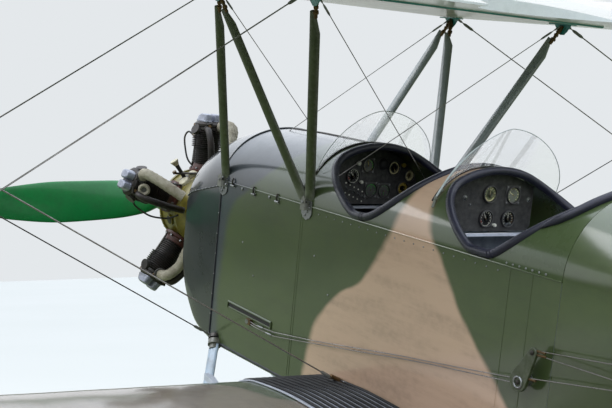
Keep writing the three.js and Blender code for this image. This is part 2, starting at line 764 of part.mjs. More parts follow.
/** A closed solid between two like outlines whose lower and upper rows pair up column by column. */
function stripSolid(front, back, columns) {
  const count = front.length;
  const positions = [...front, ...back].flat();
  const index = [];
  for (let i = 0; i < columns; i++) {
    const [a, b, c, d] = [i, i + 1, count - 2 - i, count - 1 - i];
    index.push(a, b, c, a, c, d);
    index.push(count + a, count + c, count + b, count + a, count + d, count + c);
  }
  for (let i = 0; i < count; i++) {
    const j = (i + 1) % count;
    index.push(i, count + i, count + j, i, count + j, j);
  }
  const geometry = new THREE.BufferGeometry();
  geometry.setAttribute("position", new THREE.Float32BufferAttribute(positions, 3));
  geometry.setIndex(index);
  return solidOf(geometry);
}

/** An instrument panel: a plate under the decking, cut to its inner curve. */
function makePanel({ panelY, panelHalf, panelZ }, decking) {
  const midWall = BODY_HALF - DECK_WALL / 2;
  const steps = 16;
  const outline = [];
  for (let i = 0; i <= steps; i++) {
    const x = panelHalf - (2 * panelHalf * i) / steps;
    outline.push([x, deckHeight(x, midWall, DECK_Z - DECK_WALL)]);
  }
  outline.push([-panelHalf, panelZ], [panelHalf, panelZ]);
  const place = new THREE.Matrix4().makeBasis(
    new THREE.Vector3(1, 0, 0),
    new THREE.Vector3(0, 0, 1),
    new THREE.Vector3(0, -1, 0),
  );
  const plate = slabFrom(outline, 6, place).translate([0, panelY, 0]);
  return largest(plate.subtract(shifted(decking, 0, 0, -SEAT_GAP)));
}

function makeSeat(backY) {
  const floor = BELLY_Z + WALL + SEAT_GAP;
  const panZ = -190;
  return fuse(
    block([-190, backY - 400, panZ], [190, backY, panZ + 30]),
    block([-190, backY - 30, panZ], [190, backY, 170]),
    block([-190, backY - 400, panZ], [-175, backY, panZ + 120]),
    block([175, backY - 400, panZ], [190, backY, panZ + 120]),
    block([-150, backY - 360, floor], [-120, backY - 20, panZ + 5]),
    block([120, backY - 360, floor], [150, backY - 20, panZ + 5]),
  );
}

function makeStick(y) {
  const floor = BELLY_Z + WALL + SEAT_GAP;
  return fuse(
    turned([[0, 0], [40, 0], [40, 20], [0, 20]], 12, laidAlong([0, 0, 1], [0, y, floor])),
    pin([0, y, floor + 10], [0, y + 40, 40], 12, 10),
    pin([0, y + 40, 30], [0, y + 46, 150], 18, 10),
  );
}

function makeSideLever() {
  const face = BODY_HALF + SEAT_GAP;
  const plan = [
    [3010, -96],
    [3052, -118],
    [3088, -84],
    [3122, 36],
    [3100, 50],
    [3082, 36],
  ];
  const arm = slabFrom(plan, 14, UPRIGHT).translate([face + 46, 0, 0]);
  return arm.add(pin([face, 3050, -80], [face + 56, 3050, -80], 24, 14));
}

// Materials: one for each finish

const paint = (color, roughness, metalness) => new THREE.MeshStandardMaterial({ color, roughness, metalness });

const FINISH = {
  bodyGreen: paint(0x4c5a40, 0.45, 0.0),
  wingGreen: paint(0x4a563c, 0.55, 0.0),
  cowlGrey: paint(0x70767e, 0.4, 0.3),
  strutGreen: paint(0x455530, 0.4, 0.1),
  gearBlue: paint(0xa3b4c6, 0.4, 0.2),
  crankcase: paint(0x7d7a48, 0.45, 0.4),
  cylinder: paint(0x1d1c1a, 0.5, 0.6),
  propGreen: paint(0x1f6e3b, 0.35, 0.0),
  tyre: paint(0x1a1a1a, 0.85, 0.0),
  leather: paint(0x262633, 0.5, 0.0),
  panel: paint(0x111114, 0.6, 0.1),
  glass: paint(0xdfe9ea, 0.05, 0.0),
  steel: paint(0x6e7072, 0.35, 0.9),
};

// The airframe: node name, solid, finish

const FRONT_DECK_END = COCKPITS.front.lowY;
const REAR_DECK_START = COCKPITS.rear.lowY;

const seatedFlyingFront = (solid) =>
  solid.subtract(block([-BODY_HALF - SEAT_GAP, 0, -900], [BODY_HALF + SEAT_GAP, 2000, 0]));

const deckingFront = makeDecking([
  [FIREWALL_Y, 557],
  [1210, DECK_Z],
  [FRONT_DECK_END, DECK_Z],
]);
const deckingMiddle = makeDecking([
  [FRONT_DECK_END + SEAT_GAP, DECK_Z],
  [REAR_DECK_START, DECK_Z],
]);
const deckingRear = makeDecking([
  [REAR_DECK_START + SEAT_GAP, DECK_Z],
  [TUB_END_Y, 597],
]);

const parts = [
  ["body_tub", makeTub(), FINISH.bodyGreen],
  ["body_rear", makeRearBody(), FINISH.bodyGreen],
  ["decking_front", deckingFront, FINISH.bodyGreen],
  ["decking_middle", deckingMiddle, FINISH.bodyGreen],
  ["decking_rear", deckingRear, FINISH.bodyGreen],
  ["cowl", makeCowl(), FINISH.cowlGrey],
  ["crankcase", makeCrankcase(), FINISH.crankcase],
  ["propeller", makePropeller(), FINISH.propGreen],
  ["centre_section", centreSection, FINISH.wingGreen],
  ["undercarriage", makeUndercarriage(), FINISH.gearBlue],
  ["wheel_port", makeWheel(), FINISH.tyre],
  ["wheel_starboard", mirrored(makeWheel()), FINISH.tyre],
  ["tail_skid", makeSkid(), FINISH.steel],
  ["stabiliser", makeStabiliser(), FINISH.wingGreen],
  ["elevator", makeElevator(), FINISH.wingGreen],
  ["fin", makeFin(), FINISH.wingGreen],
  ["rudder", makeRudder(), FINISH.wingGreen],
  ["tail_strut_port", makeTailStrut(1), FINISH.strutGreen],
  ["tail_strut_starboard", makeTailStrut(-1), FINISH.strutGreen],
  ["rim_front", rims.front, FINISH.leather],
  ["rim_rear", rims.rear, FINISH.leather],
  ["panel_front", makePanel(COCKPITS.front, deckingFront), FINISH.panel],
  ["panel_rear", makePanel(COCKPITS.rear, deckingMiddle), FINISH.panel],
  ["windscreen_front", makeWindscreen(SCREENS.front, deckingFront), FINISH.glass],
  ["windscreen_rear", makeWindscreen(SCREENS.rear, deckingMiddle), FINISH.glass],
  ["seat_front", makeSeat(2290), FINISH.steel],
  ["seat_rear", makeSeat(3080), FINISH.steel],
  ["stick_front", makeStick(1760), FINISH.steel],
  ["stick_rear", makeStick(2550), FINISH.steel],
];

for (let i = 0; i < CYLINDERS; i++) parts.push([`cylinder_${i + 1}`, makeCylinder(i), FINISH.cylinder]);

const pairs = [
  ["wing_upper", upperWing.fixed, FINISH.wingGreen],
  ["wing_lower", lowerWing.fixed, FINISH.wingGreen],
  ["aileron_upper", upperWing.aileron, FINISH.wingGreen],
  ["aileron_lower", lowerWing.aileron, FINISH.wingGreen],
  ["cabane", makeCabane(), FINISH.strutGreen],
  ["strut_front", makeInterplaneStrut("front"), FINISH.strutGreen],
  ["strut_rear", makeInterplaneStrut("rear"), FINISH.strutGreen],
  ["side_lever", makeSideLever(), FINISH.strutGreen],
  ...STAYS.map((stay) => [
    `stay_${stay.name}`,
    stay.name === "flying_front" ? seatedFlyingFront(makeStay(stay)) : makeStay(stay),
    FINISH.steel,
  ]),
];

for (const [name, solid, finish] of pairs) {
  parts.push([`${name}_port`, solid, finish], [`${name}_starboard`, mirrored(solid), finish]);
}

// The scene: a pitched group inside one that stands the wheels and the skid on the ground

const airframe = new THREE.Group();
airframe.rotation.x = -PARKED_PITCH;
for (const [name, solid, finish] of parts) {
  const mesh = new THREE.Mesh(geometryOf(solid), finish);
  mesh.name = name;
  airframe.add(mesh);
}

const biplane = new THREE.Group();
biplane.add(airframe);
biplane.updateMatrixWorld(true);
const reach = new THREE.Box3().setFromObject(biplane, true);
airframe.position.set(0, -(reach.min.y + reach.max.y) / 2, -reach.min.z);

export default biplane;
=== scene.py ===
"""The looks of a two-seat open-cockpit biplane trainer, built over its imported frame.

Every piece is laid out in the airframe's level frame, in metres: X to port, Y aft, Z up, with the origin
on the thrust line in the plane of the cylinders. One matrix then stands the aircraft on its wheels and its
tail skid.
"""

from __future__ import annotations

import logging
import math
from dataclasses import dataclass, field
from enum import Enum
from typing import Callable, Iterable, Sequence, Union

import bmesh
import bpy
from mathutils import Matrix, Vector, noise


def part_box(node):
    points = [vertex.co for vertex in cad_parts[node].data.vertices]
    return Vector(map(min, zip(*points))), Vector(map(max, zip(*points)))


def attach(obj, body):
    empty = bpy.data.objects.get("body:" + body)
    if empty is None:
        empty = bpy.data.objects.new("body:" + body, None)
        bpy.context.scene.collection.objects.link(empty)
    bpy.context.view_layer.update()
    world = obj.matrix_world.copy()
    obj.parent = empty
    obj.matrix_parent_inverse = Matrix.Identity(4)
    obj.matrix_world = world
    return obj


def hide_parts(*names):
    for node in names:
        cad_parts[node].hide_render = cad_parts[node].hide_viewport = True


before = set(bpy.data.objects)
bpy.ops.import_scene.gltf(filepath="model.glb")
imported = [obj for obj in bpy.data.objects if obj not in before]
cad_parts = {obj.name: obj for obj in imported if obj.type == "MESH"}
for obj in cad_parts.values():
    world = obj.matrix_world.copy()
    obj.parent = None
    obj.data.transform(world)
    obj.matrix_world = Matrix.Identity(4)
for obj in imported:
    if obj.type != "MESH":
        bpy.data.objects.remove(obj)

LOG = logging.getLogger("biplane")

Row = Sequence[float]
Colour = tuple[float, float, float, float]
Socket = Union[bpy.types.NodeSocket, float, Sequence[float]]

AIRFRAME = "airframe"
PARKED_PITCH = 0.2089  # nose-up angle on the ground, radians
WHEEL_LEVEL = Vector((0.84, 1.42, -1.1035))  # centre of the port wheel in the level frame

# The body's main lines, as in the part's source
FIREWALL_Y = 0.850
TUB_END_Y = 3.150
STERN_Y = 7.050
BODY_HALF = 0.372
LONGERON_Z = 0.290
DECK_Z = 0.566
BELLY_Z = -0.530

CHORD = 1.650
DIHEDRAL = 0.0336
UPPER = {"root_x": 0.750, "tip_x": 5.700, "fore_y": 0.940, "base_z": 1.190}
LOWER = {"root_x": 0.374, "tip_x": 5.325, "fore_y": 1.750, "base_z": BELLY_Z}
SPAR_Y = {"front": 0.255, "rear": 1.015}
BAY_X = 3.600
CABANE_TOP_X = 0.680
CABANE_FOOT_Y = {"front": 0.861, "rear": 1.604}
CABANE_TOP_Y = {"front": 1.198, "rear": 1.975}

SHARP_ANGLE = 38.0  # degrees from which an edge stays sharp or is rounded
WELD_DISTANCE = 2e-6


def level_to_row() -> Matrix:
    """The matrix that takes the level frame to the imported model's frame.

    Returns:
        The pitch about X and the move that puts the port wheel's centre on its solid.
    """
    turn = Matrix.Rotation(-PARKED_PITCH, 4, "X")
    low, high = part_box("wheel_port")
    return Matrix.Translation((low + high) / 2 - turn @ WHEEL_LEVEL) @ turn


PARKED = level_to_row()
FACING_FORE = Matrix.Rotation(math.pi / 2, 4, "X")  # a slab's X to port, its Y up, its thickness forward
# A slab's X aft, its Y up, its thickness to port
SIDE_ON = Matrix.Rotation(math.pi / 2, 4, "Z") @ FACING_FORE


# Small mathematics


def linear(red: int, green: int, blue: int) -> Colour:
    """A screen colour, 0 to 255 a channel, as linear light with full alpha."""
    channels = [((c / 255 + 0.055) / 1.055) ** 2.4 if c > 10 else c / 3294.6 for c in (red, green, blue)]
    return (*channels, 1.0)


def smoothed(table: Sequence[Row], at: float) -> list[float]:
    """Reads a table of rows as smooth curves over its first column.

    Args:
        table: rows whose first value is the station and whose others are read.
        at: the station to read at, held within the table's ends.

    Returns:
        The row's other values at that station.
    """
    last = len(table) - 1
    at = min(max(at, table[0][0]), table[last][0])
    k = max(i for i in range(last) if table[i][0] <= at or i == 0)
    here, ahead = table[k], table[k + 1]
    run = ahead[0] - here[0]
    t = (at - here[0]) / run
    values = []
    for c in range(1, len(here)):
        rise = (ahead[c] - here[c]) / run
        before = (here[c] - table[k - 1][c]) / (here[0] - table[k - 1][0]) if k else rise
        after = (table[k + 2][c] - ahead[c]) / (table[k + 2][0] - ahead[0]) if k + 1 < last else rise
        m0 = 0.0 if before * rise <= 0 else 2 * before * rise / (before + rise)
        m1 = 0.0 if after * rise <= 0 else 2 * after * rise / (after + rise)
        if k == 0:
            m0 = rise
        if k + 1 == last:
            m1 = rise
        h00, h10 = (1 + 2 * t) * (1 - t) ** 2, t * (1 - t) ** 2
        h01, h11 = t * t * (3 - 2 * t), t * t * (t - 1)
        values.append(h00 * here[c] + h10 * run * m0 + h01 * ahead[c] + h11 * run * m1)
    return values


def spread(low: float, high: float, count: int) -> list[float]:
    """Even steps from low to high, both ends among them."""
    return [low + (high - low) * i / (count - 1) for i in range(count)]


def even_turns(count: int, start: float = 0.0) -> list[float]:
    """Even turns round a circle in radians, the first one at a share of a step."""
    return [2 * math.pi * (k + start) / count for k in range(count)]


def oval(share: float) -> float:
    """Height of a unit quarter circle at a share of its radius."""
    return math.sqrt(max(0.0, 1 - share * share))


def deck_height(x: float, half: float = BODY_HALF, top: float = DECK_Z) -> float:
    """Height of the oval decking over the body at a distance x from its middle plane."""
    return LONGERON_Z + (top - LONGERON_Z) * oval(x / half)


def aimed(direction: Row, origin: Row = (0, 0, 0), beside: Row = (0, 1, 0)) -> Matrix:
    """A placing matrix whose Z lies along a direction.

    Args:
        direction: where local Z points.
        origin: where the local origin goes.
        beside: the way local Y leans.

    Returns:
        The 4 by 4 matrix.
    """
    z = Vector(direction).normalized()
    y = Vector(beside)
    if abs(y.normalized().dot(z)) > 0.98:
        y = Vector((0.3, 0.1, 1.0))
    y = (y - z * y.dot(z)).normalized()
    x = y.cross(z)
    turn = Matrix((x, y, z)).transposed().to_4x4()
    return Matrix.Translation(Vector(origin)) @ turn


# Mesh building


@dataclass
class Form:
    """Vertices, faces and a finish number for each face."""

    verts: list[Vector] = field(default_factory=list)
    faces: list[tuple[int, ...]] = field(default_factory=list)
    tones: list[int] = field(default_factory=list)

    def add(self, other: "Form", tone: int = 0) -> "Form":
        """Takes in another form.

        Args:
            other: the form to take in.
            tone: added to the finish numbers of its faces.

        Returns:
            This form.
        """
        base = len(self.verts)
        self.verts += other.verts
        self.faces += [tuple(base + i for i in face) for face in other.faces]
        self.tones += [tone + t for t in other.tones]
        return self

    def moved(self, place: Matrix) -> "Form":
        """A copy set in place by a matrix."""
        return Form([place @ v for v in self.verts], list(self.faces), list(self.tones))

    def mirrored(self) -> "Form":
        """A copy for the other side of the middle plane."""
        flipped = [Vector((-v.x, v.y, v.z)) for v in self.verts]
        return Form(flipped, [tuple(reversed(face)) for face in self.faces], list(self.tones))

    def unturned(self) -> "Form":
        """This form as it is, for the port side."""
        return self

    def both_sides(self) -> "Form":
        """This form and its mirror image as one."""
        return Form(list(self.verts), list(self.faces), list(self.tones)).add(self.mirrored())


Turn = Callable[[Form], Form]
SIDES: tuple[tuple[str, Turn], ...] = (("port", Form.unturned), ("starboard", Form.mirrored))


def loft(
    rings: Sequence[Sequence[Row]], looped: bool = False, closed: bool = True, capped: bool = True
) -> Form:
    """Joins a row of rings that have the same number of points.

    Args:
        rings: the rings in order.
        looped: the last ring joins the first.
        closed: each ring's last point joins its first.
        capped: the two end rings get a face, where the rings are closed.

    Returns:
        The skin over the rings.
    """
    count = len(rings[0])
    form = Form([Vector(p) for ring in rings for p in ring])
    for r in range(len(rings) if looped else len(rings) - 1):
        a, b = r * count, ((r + 1) % len(rings)) * count
        for i in range(count if closed else count - 1):
            j = (i + 1) % count
            form.faces.append((a + i, a + j, b + j, b + i))
    if capped and closed and not looped:
        form.faces.append(tuple(reversed(range(count))))
        form.faces.append(tuple(range((len(rings) - 1) * count, len(rings) * count)))
    form.tones = [0] * len(form.faces)
    return form


def tube(
    path: Sequence[Row], radius: Union[float, Sequence[float]], sides: int = 10, looped: bool = False
) -> Form:
    """A round tube along a path.

    Args:
        path: the points of its centre line.
        radius: one radius, or one for each point.
        sides: points round the tube.
        looped: the path closes on itself.

    Returns:
        The tube, with its ends closed unless it is looped.
    """
    points = [Vector(p) for p in path]
    count = len(points)
    radii = [radius] * count if isinstance(radius, (int, float)) else list(radius)
    axes = []
    for i in range(count):
        ahead = points[(i + 1) % count] if looped or i + 1 < count else points[i]
        behind = points[i - 1] if looped or i else points[i]
        axes.append((ahead - behind).normalized())
    start = Vector((0, 0, 1)) if abs(axes[0].z) < 0.9 else Vector((0, 1, 0))
    normals = []
    normal = start
    for axis in axes:
        normal = (normal - axis * normal.dot(axis)).normalized()
        normals.append(normal)
    slip = 0.0
    if looped:
        first = (normal - axes[0] * normal.dot(axes[0])).normalized()
        slip = math.atan2(axes[0].dot(first.cross(normals[0])), first.dot(normals[0]))
    rings = []
    for i, (point, axis, lift, reach) in enumerate(zip(points, axes, normals, radii)):
        side = axis.cross(lift)
        turns = [2 * math.pi * k / sides + slip * i / count for k in range(sides)]
        rings.append([point + (lift * math.cos(t) + side * math.sin(t)) * reach for t in turns])
    return loft(rings, looped=looped)


def lathe(
    profile: Sequence[tuple[float, float]], sides: int = 24, place: Matrix = Matrix.Identity(4)
) -> Form:
    """A turned form from a profile of radius and height along local Z."""
    rings = [[(r * math.cos(t), r * math.sin(t), h) for t in even_turns(sides)] for r, h in profile]
    return loft(rings).moved(place)


def slab(outline: Sequence[tuple[float, float]], thick: float, place: Matrix = Matrix.Identity(4)) -> Form:
    """A flat plate from an outline in local X and Y, thick from local Z 0."""
    rings = [[(u, v, h) for u, v in outline] for h in (0.0, thick)]
    return loft(rings).moved(place)


def brick(low: Row, high: Row) -> Form:
    """A block between two corners; its edges are rounded where the piece is dressed.

    Args:
        low: the corner with the smallest coordinates.
        high: the opposite corner.

    Returns:
        The block.
    """
    (x0, y0, z0), (x1, y1, z1) = low, high
    outline = [(x0, y0), (x1, y0), (x1, y1), (x0, y1)]
    return slab(outline, z1 - z0, Matrix.Translation((0, 0, z0)))


def circle(radius: float, count: int, place: Matrix = Matrix.Identity(4)) -> list[Vector]:
    """Points of a circle in local X and Y."""
    return [place @ Vector((radius * math.cos(t), radius * math.sin(t), 0.0)) for t in even_turns(count)]


def rounded(points: Sequence[Row], steps: int = 8) -> list[Vector]:
    """A smooth path through a few points.

    Args:
        points: the places it goes through.
        steps: how many steps between two of them.

    Returns:
        The path's points.
    """
    vectors = [Vector(p) for p in points]
    ends = [vectors[0] * 2 - vectors[1], *vectors, vectors[-1] * 2 - vectors[-2]]
    path = []
    for i in range(1, len(ends) - 2):
        p0, p1, p2, p3 = ends[i - 1 : i + 3]
        for k in range(steps):
            t = k / steps
            bend = (2 * p0 - 5 * p1 + 4 * p2 - p3) * t**2
            twist = (3 * p1 - p0 - 3 * p2 + p3) * t**3
            path.append(0.5 * (2 * p1 + (p2 - p0) * t + bend + twist))
    return [*path, vectors[-1]]


def streamlined(
    start: Row, end: Row, chord: float, thick: float, bare: tuple[float, float] = (0.0, 0.0), sides: int = 18
) -> Form:
    """A straight member with a teardrop section, blunt side forward, whose ends may be cut like a chisel.

    Args:
        start: one end.
        end: the other end.
        chord: size of the section down the airflow.
        thick: size of the section across it.
        bare: length left free before each end for its fitting.
        sides: points round the section.

    Returns:
        The closed member.
    """
    a, b = Vector(start), Vector(end)
    axis = (b - a).normalized()
    flow = Vector((0, 1, 0)) if abs(axis.y) < 0.9 else Vector((0, 0, 1))
    flow = (flow - axis * flow.dot(axis)).normalized()
    side = axis.cross(flow)
    length = (b - a).length
    chisel = min(0.085, length / 6)
    tip_share = 0.34
    fore, aft = bare[0], length - bare[1]
    stations = [(fore, tip_share), (fore + chisel, 1.0), (aft - chisel, 1.0), (aft, tip_share)]
    if not bare[0]:
        stations[0] = (0.0, 1.0)
    if not bare[1]:
        stations[3] = (length, 1.0)
    rings = []
    for run, share in stations:
        centre = a + axis * run - flow * chord * (1 - share) / 2
        depth = thick / 2 * (0.55 + 0.45 * share)
        ring = []
        for turn in even_turns(sides, 0.5):
            along = math.cos(turn)
            across = math.sin(turn) * (1 - 0.32 * along) * 0.93
            ring.append(centre + flow * along * chord / 2 * share + side * across * depth)
        rings.append(ring)
    return loft(rings)


def studded(spots: Iterable[Row], outward: Row, radius: float, height: float, sides: int = 6) -> Form:
    """Bolt heads or rivets: one low lathe for each spot.

    Args:
        spots: where each head stands.
        outward: the way the heads face.
        radius: the heads' radius.
        height: how far they stand out.
        sides: how many sides each has.

    Returns:
        All heads in one form.
    """
    form = Form()
    for spot in spots:
        profile = [(0.0, 0.0), (radius, 0.0), (radius, height * 0.7), (radius * 0.7, height), (0.0, height)]
        form.add(lathe(profile, sides, aimed(outward, spot)))
    return form


# Shading


class Wiring:
    """Puts nodes in a tree and joins them up."""

    def __init__(self, tree: bpy.types.NodeTree) -> None:
        """Keeps the tree to work in."""
        self.tree = tree

    def put(self, value: Socket, socket: bpy.types.NodeSocket) -> None:
        """Feeds a socket from another one, or sets its value.

        Args:
            value: another node's output or a plain value.
            socket: the input to feed.
        """
        if isinstance(value, bpy.types.NodeSocket):
            self.tree.links.new(value, socket)
        else:
            socket.default_value = value

    def node(self, kind: str, inputs: dict[Union[str, int], Socket], **settings: object) -> bpy.types.Node:
        """Adds a node.

        Args:
            kind: the node's type name.
            inputs: what feeds its sockets, by name or number.
            settings: its own properties.

        Returns:
            The node.
        """
        made = self.tree.nodes.new(kind)
        for key, value in settings.items():
            setattr(made, key, value)
        for key, value in inputs.items():
            self.put(value, made.inputs[key])
        return made

    def math(self, operation: str, a: Socket, b: Socket = 0.0, clamp: bool = False) -> bpy.types.NodeSocket:
        """One Math node's result."""
        return self.node("ShaderNodeMath", {0: a, 1: b}, operation=operation, use_clamp=clamp).outputs[0]

    def ranged(
        self, value: Socket, low: float, high: float, to: tuple[Socket, Socket] = (0.0, 1.0)
    ) -> Socket:
        """A value stretched from one range to another and held there, with soft ends."""
        inputs = {0: value, 1: low, 2: high, 3: to[0], 4: to[1]}
        return self.node("ShaderNodeMapRange", inputs, interpolation_type="SMOOTHSTEP").outputs[0]

    def noise(self, vector: Socket, scale: Socket, detail: float = 4.0, rough: float = 0.55) -> Socket:
        """A noise texture's value."""
        inputs = {"Vector": vector, "Scale": scale, "Detail": detail, "Roughness": rough}
        return self.node("ShaderNodeTexNoise", inputs).outputs[0]

    def mix(self, share: Socket, a: Socket, b: Socket) -> bpy.types.NodeSocket:
        """Two colours mixed."""
        return self.node("ShaderNodeMix", {0: share, 6: a, 7: b}, data_type="RGBA").outputs[2]

    def level_place(self) -> bpy.types.NodeSocket:
        """The place on the surface, in the level frame.

        Returns:
            The output with the place in metres.
        """
        place = self.node("ShaderNodeTexCoord", {}).outputs["Object"]
        back = PARKED.inverted()
        turn = {"Vector": place, "Location": back.to_translation(), "Rotation": back.to_euler()}
        return self.node("ShaderNodeMapping", turn).outputs[0]

    def stretched(self, vector: Socket, scale: Row) -> bpy.types.NodeSocket:
        """A vector scaled along its axes."""
        return self.node("ShaderNodeMapping", {"Vector": vector, "Scale": scale}).outputs[0]


Port = tuple[str, str]  # a group's socket: its name and its type


def new_group(
    name: str, takes: Sequence[Port], gives: Sequence[Port]
) -> tuple[Wiring, dict[str, Socket], bpy.types.Node]:
    """Starts a shader node group.

    Args:
        name: the group's name.
        takes: its inputs.
        gives: its outputs.

    Returns:
        The wiring of its tree, its inputs by name, and the node that takes its outputs.
    """
    tree = bpy.data.node_groups.new(name, "ShaderNodeTree")
    for title, kind in takes:
        tree.interface.new_socket(title, in_out="INPUT", socket_type=kind)
    for title, kind in gives:
        tree.interface.new_socket(title, in_out="OUTPUT", socket_type=kind)
    source = tree.nodes.new("NodeGroupInput")
    sink = tree.nodes.new("NodeGroupOutput")
    return Wiring(tree), {title: source.outputs[title] for title, _ in takes}, sink


VECTOR, FLOAT, COLOUR = "NodeSocketVector", "NodeSocketFloat", "NodeSocketColor"

# The tan band on the body's port side: height, then its fore and aft edges along the body
TAN_BAND = [
    (-0.55, 1.70, 3.50), (-0.40, 1.705, 3.22), (-0.30, 1.72, 3.09), (-0.168, 1.774, 2.92),
    (-0.044, 1.904, 2.78), (0.041, 2.048, 2.69), (0.143, 2.134, 2.60), (0.253, 2.189, 2.50),
    (0.338, 2.233, 2.43), (0.60, 2.27, 2.37),
]
# The slate-painted nose: height, then where it ends along the body
SLATE_EDGE = [(-0.55, 0.92), (0.05, 0.93), (0.20, 0.99), (0.29, 1.13), (0.45, 1.32), (0.60, 1.45)]
BAND_REPEATS = (0.0, 2.35, 4.35)  # how far aft the band comes again
CURVE_Z = (-0.6, 0.7)
CURVE_Y = (0.8, 3.6)


def height_curve(
    wires: Wiring, height: Socket, points: Sequence[tuple[float, float]]
) -> bpy.types.NodeSocket:
    """A place along the body as a smooth function of height.

    Args:
        wires: where the nodes go.
        height: the height in metres.
        points: pairs of height and place.

    Returns:
        The place in metres.
    """
    share = wires.node("ShaderNodeMapRange", {0: height, 1: CURVE_Z[0], 2: CURVE_Z[1]}).outputs[0]
    node = wires.node("ShaderNodeFloatCurve", {"Value": share})
    curve = node.mapping.curves[0]
    span_z, span_y = CURVE_Z[1] - CURVE_Z[0], CURVE_Y[1] - CURVE_Y[0]
    spots = [((z - CURVE_Z[0]) / span_z, (y - CURVE_Y[0]) / span_y) for z, y in points]
    curve.points[0].location = spots[0]
    curve.points[-1].location = spots[-1]
    for spot in spots[1:-1]:
        curve.points.new(*spot)
    node.mapping.update()
    return wires.node("ShaderNodeMapRange", {0: node.outputs[0], 3: CURVE_Y[0], 4: CURVE_Y[1]}).outputs[0]


class Effect(Enum):
    """The shader node groups that several finishes share."""

    PATINA = "patina"
    BODY_BANDS = "body_bands"
    WING_BANDS = "wing_bands"
    GRIME = "grime"
    EDGE_WEAR = "edge_wear"
    WEAVE = "weave"
    LEATHER_GRAIN = "leather_grain"
    CAST_SKIN = "cast_skin"
    SHEET_WAVES = "sheet_waves"
    WRAPPED_TAPE = "wrapped_tape"

    def tree(self) -> bpy.types.NodeTree:
        """The group's node tree, built the first time it is asked for.

        Returns:
            The node tree that the materials share.
        """
        made = bpy.data.node_groups.get(self.value)
        if made is None:
            EFFECT_BUILDERS[self]()
            made = bpy.data.node_groups[self.value]
        return made


def build_patina() -> None:
    """Two colours mottled together at two sizes."""
    takes = [("Vector", VECTOR), ("Base", COLOUR), ("Tone", COLOUR), ("Scale", FLOAT), ("Amount", FLOAT)]
    wires, given, sink = new_group(Effect.PATINA.value, takes, [("Color", COLOUR), ("Mask", FLOAT)])
    coarse = wires.noise(given["Vector"], given["Scale"], 5.0, 0.6)
    fine = wires.noise(given["Vector"], wires.math("MULTIPLY", given["Scale"], 9.0), 3.0, 0.6)
    both = wires.math("ADD", wires.math("MULTIPLY", coarse, 0.72), wires.math("MULTIPLY", fine, 0.28))
    mask = wires.ranged(both, 0.36, 0.64)
    share = wires.math("MULTIPLY", mask, given["Amount"])
    wires.put(wires.mix(share, given["Base"], given["Tone"]), sink.inputs[0])
    wires.put(mask, sink.inputs[1])


def build_body_bands() -> None:
    """Masks of the body's tan bands and of its slate nose, from the place in the level frame."""
    gives = [("Tan", FLOAT), ("Slate", FLOAT)]
    wires, given, sink = new_group(Effect.BODY_BANDS.value, [("Vector", VECTOR)], gives)
    parts = wires.node("ShaderNodeSeparateXYZ", {0: given["Vector"]})
    x, y, z = parts.outputs
    wobble = wires.math("MULTIPLY", wires.math("SUBTRACT", wires.noise(given["Vector"], 2.6, 3.0), 0.5), 0.11)
    place = wires.math("ADD", y, wobble)
    place = wires.math("ADD", place, wires.ranged(x, 0.1, -0.1, (0.0, -0.55)))
    fore = height_curve(wires, z, [(row[0], row[1]) for row in TAN_BAND])
    aft = height_curve(wires, z, [(row[0], row[2]) for row in TAN_BAND])
    tan: Socket = 0.0
    for shift in BAND_REPEATS:
        spot = wires.math("SUBTRACT", place, shift)
        inside = wires.math("MINIMUM", wires.math("SUBTRACT", spot, fore), wires.math("SUBTRACT", aft, spot))
        tan = wires.math("MAXIMUM", tan, wires.ranged(inside, -0.022, 0.022))
    nose = height_curve(wires, z, SLATE_EDGE)
    slate = wires.ranged(wires.math("SUBTRACT", nose, wires.math("ADD", y, wobble)), -0.03, 0.03)
    wires.put(tan, sink.inputs[0])
    wires.put(slate, sink.inputs[1])


def build_wing_bands() -> None:
    """A mask of slanting bands across a wing."""
    wires, given, sink = new_group(Effect.WING_BANDS.value, [("Vector", VECTOR)], [("Tan", FLOAT)])
    x, y, _ = wires.node("ShaderNodeSeparateXYZ", {0: given["Vector"]}).outputs
    wobble = wires.math("MULTIPLY", wires.noise(given["Vector"], 0.9, 3.0), 1.3)
    slant = wires.math("ADD", wires.math("ADD", x, wires.math("MULTIPLY", y, 0.55)), wobble)
    wave = wires.math("SINE", wires.math("MULTIPLY", slant, 2.45))
    wires.put(wires.ranged(wave, 0.08, 0.2), sink.inputs[0])


def build_grime() -> None:
    """A mask of oil and dust, drawn out along the airflow."""
    takes = [("Vector", VECTOR), ("Amount", FLOAT)]
    wires, given, sink = new_group(Effect.GRIME.value, takes, [("Mask", FLOAT)])
    streak = wires.noise(wires.stretched(given["Vector"], (9.0, 1.3, 9.0)), 1.6, 6.0, 0.65)
    spots = wires.noise(given["Vector"], 34.0, 2.0, 0.5)
    drawn = wires.ranged(streak, 0.42, 0.74)
    spotted = wires.ranged(spots, 0.3, 0.7, (0.45, 1.0))
    both = wires.math("MULTIPLY", drawn, spotted)
    wires.put(wires.math("MULTIPLY", both, given["Amount"], clamp=True), sink.inputs[0])


def build_edge_wear() -> None:
    """A mask of chipped outer edges."""
    takes = [("Vector", VECTOR), ("Amount", FLOAT)]
    wires, given, sink = new_group(Effect.EDGE_WEAR.value, takes, [("Mask", FLOAT)])
    sharp = wires.node("ShaderNodeNewGeometry", {}).outputs["Pointiness"]
    broken = wires.math("ADD", sharp, wires.math("MULTIPLY", wires.noise(given["Vector"], 60.0, 5.0), 0.06))
    wires.put(wires.math("MULTIPLY", wires.ranged(broken, 0.555, 0.62), given["Amount"]), sink.inputs[0])


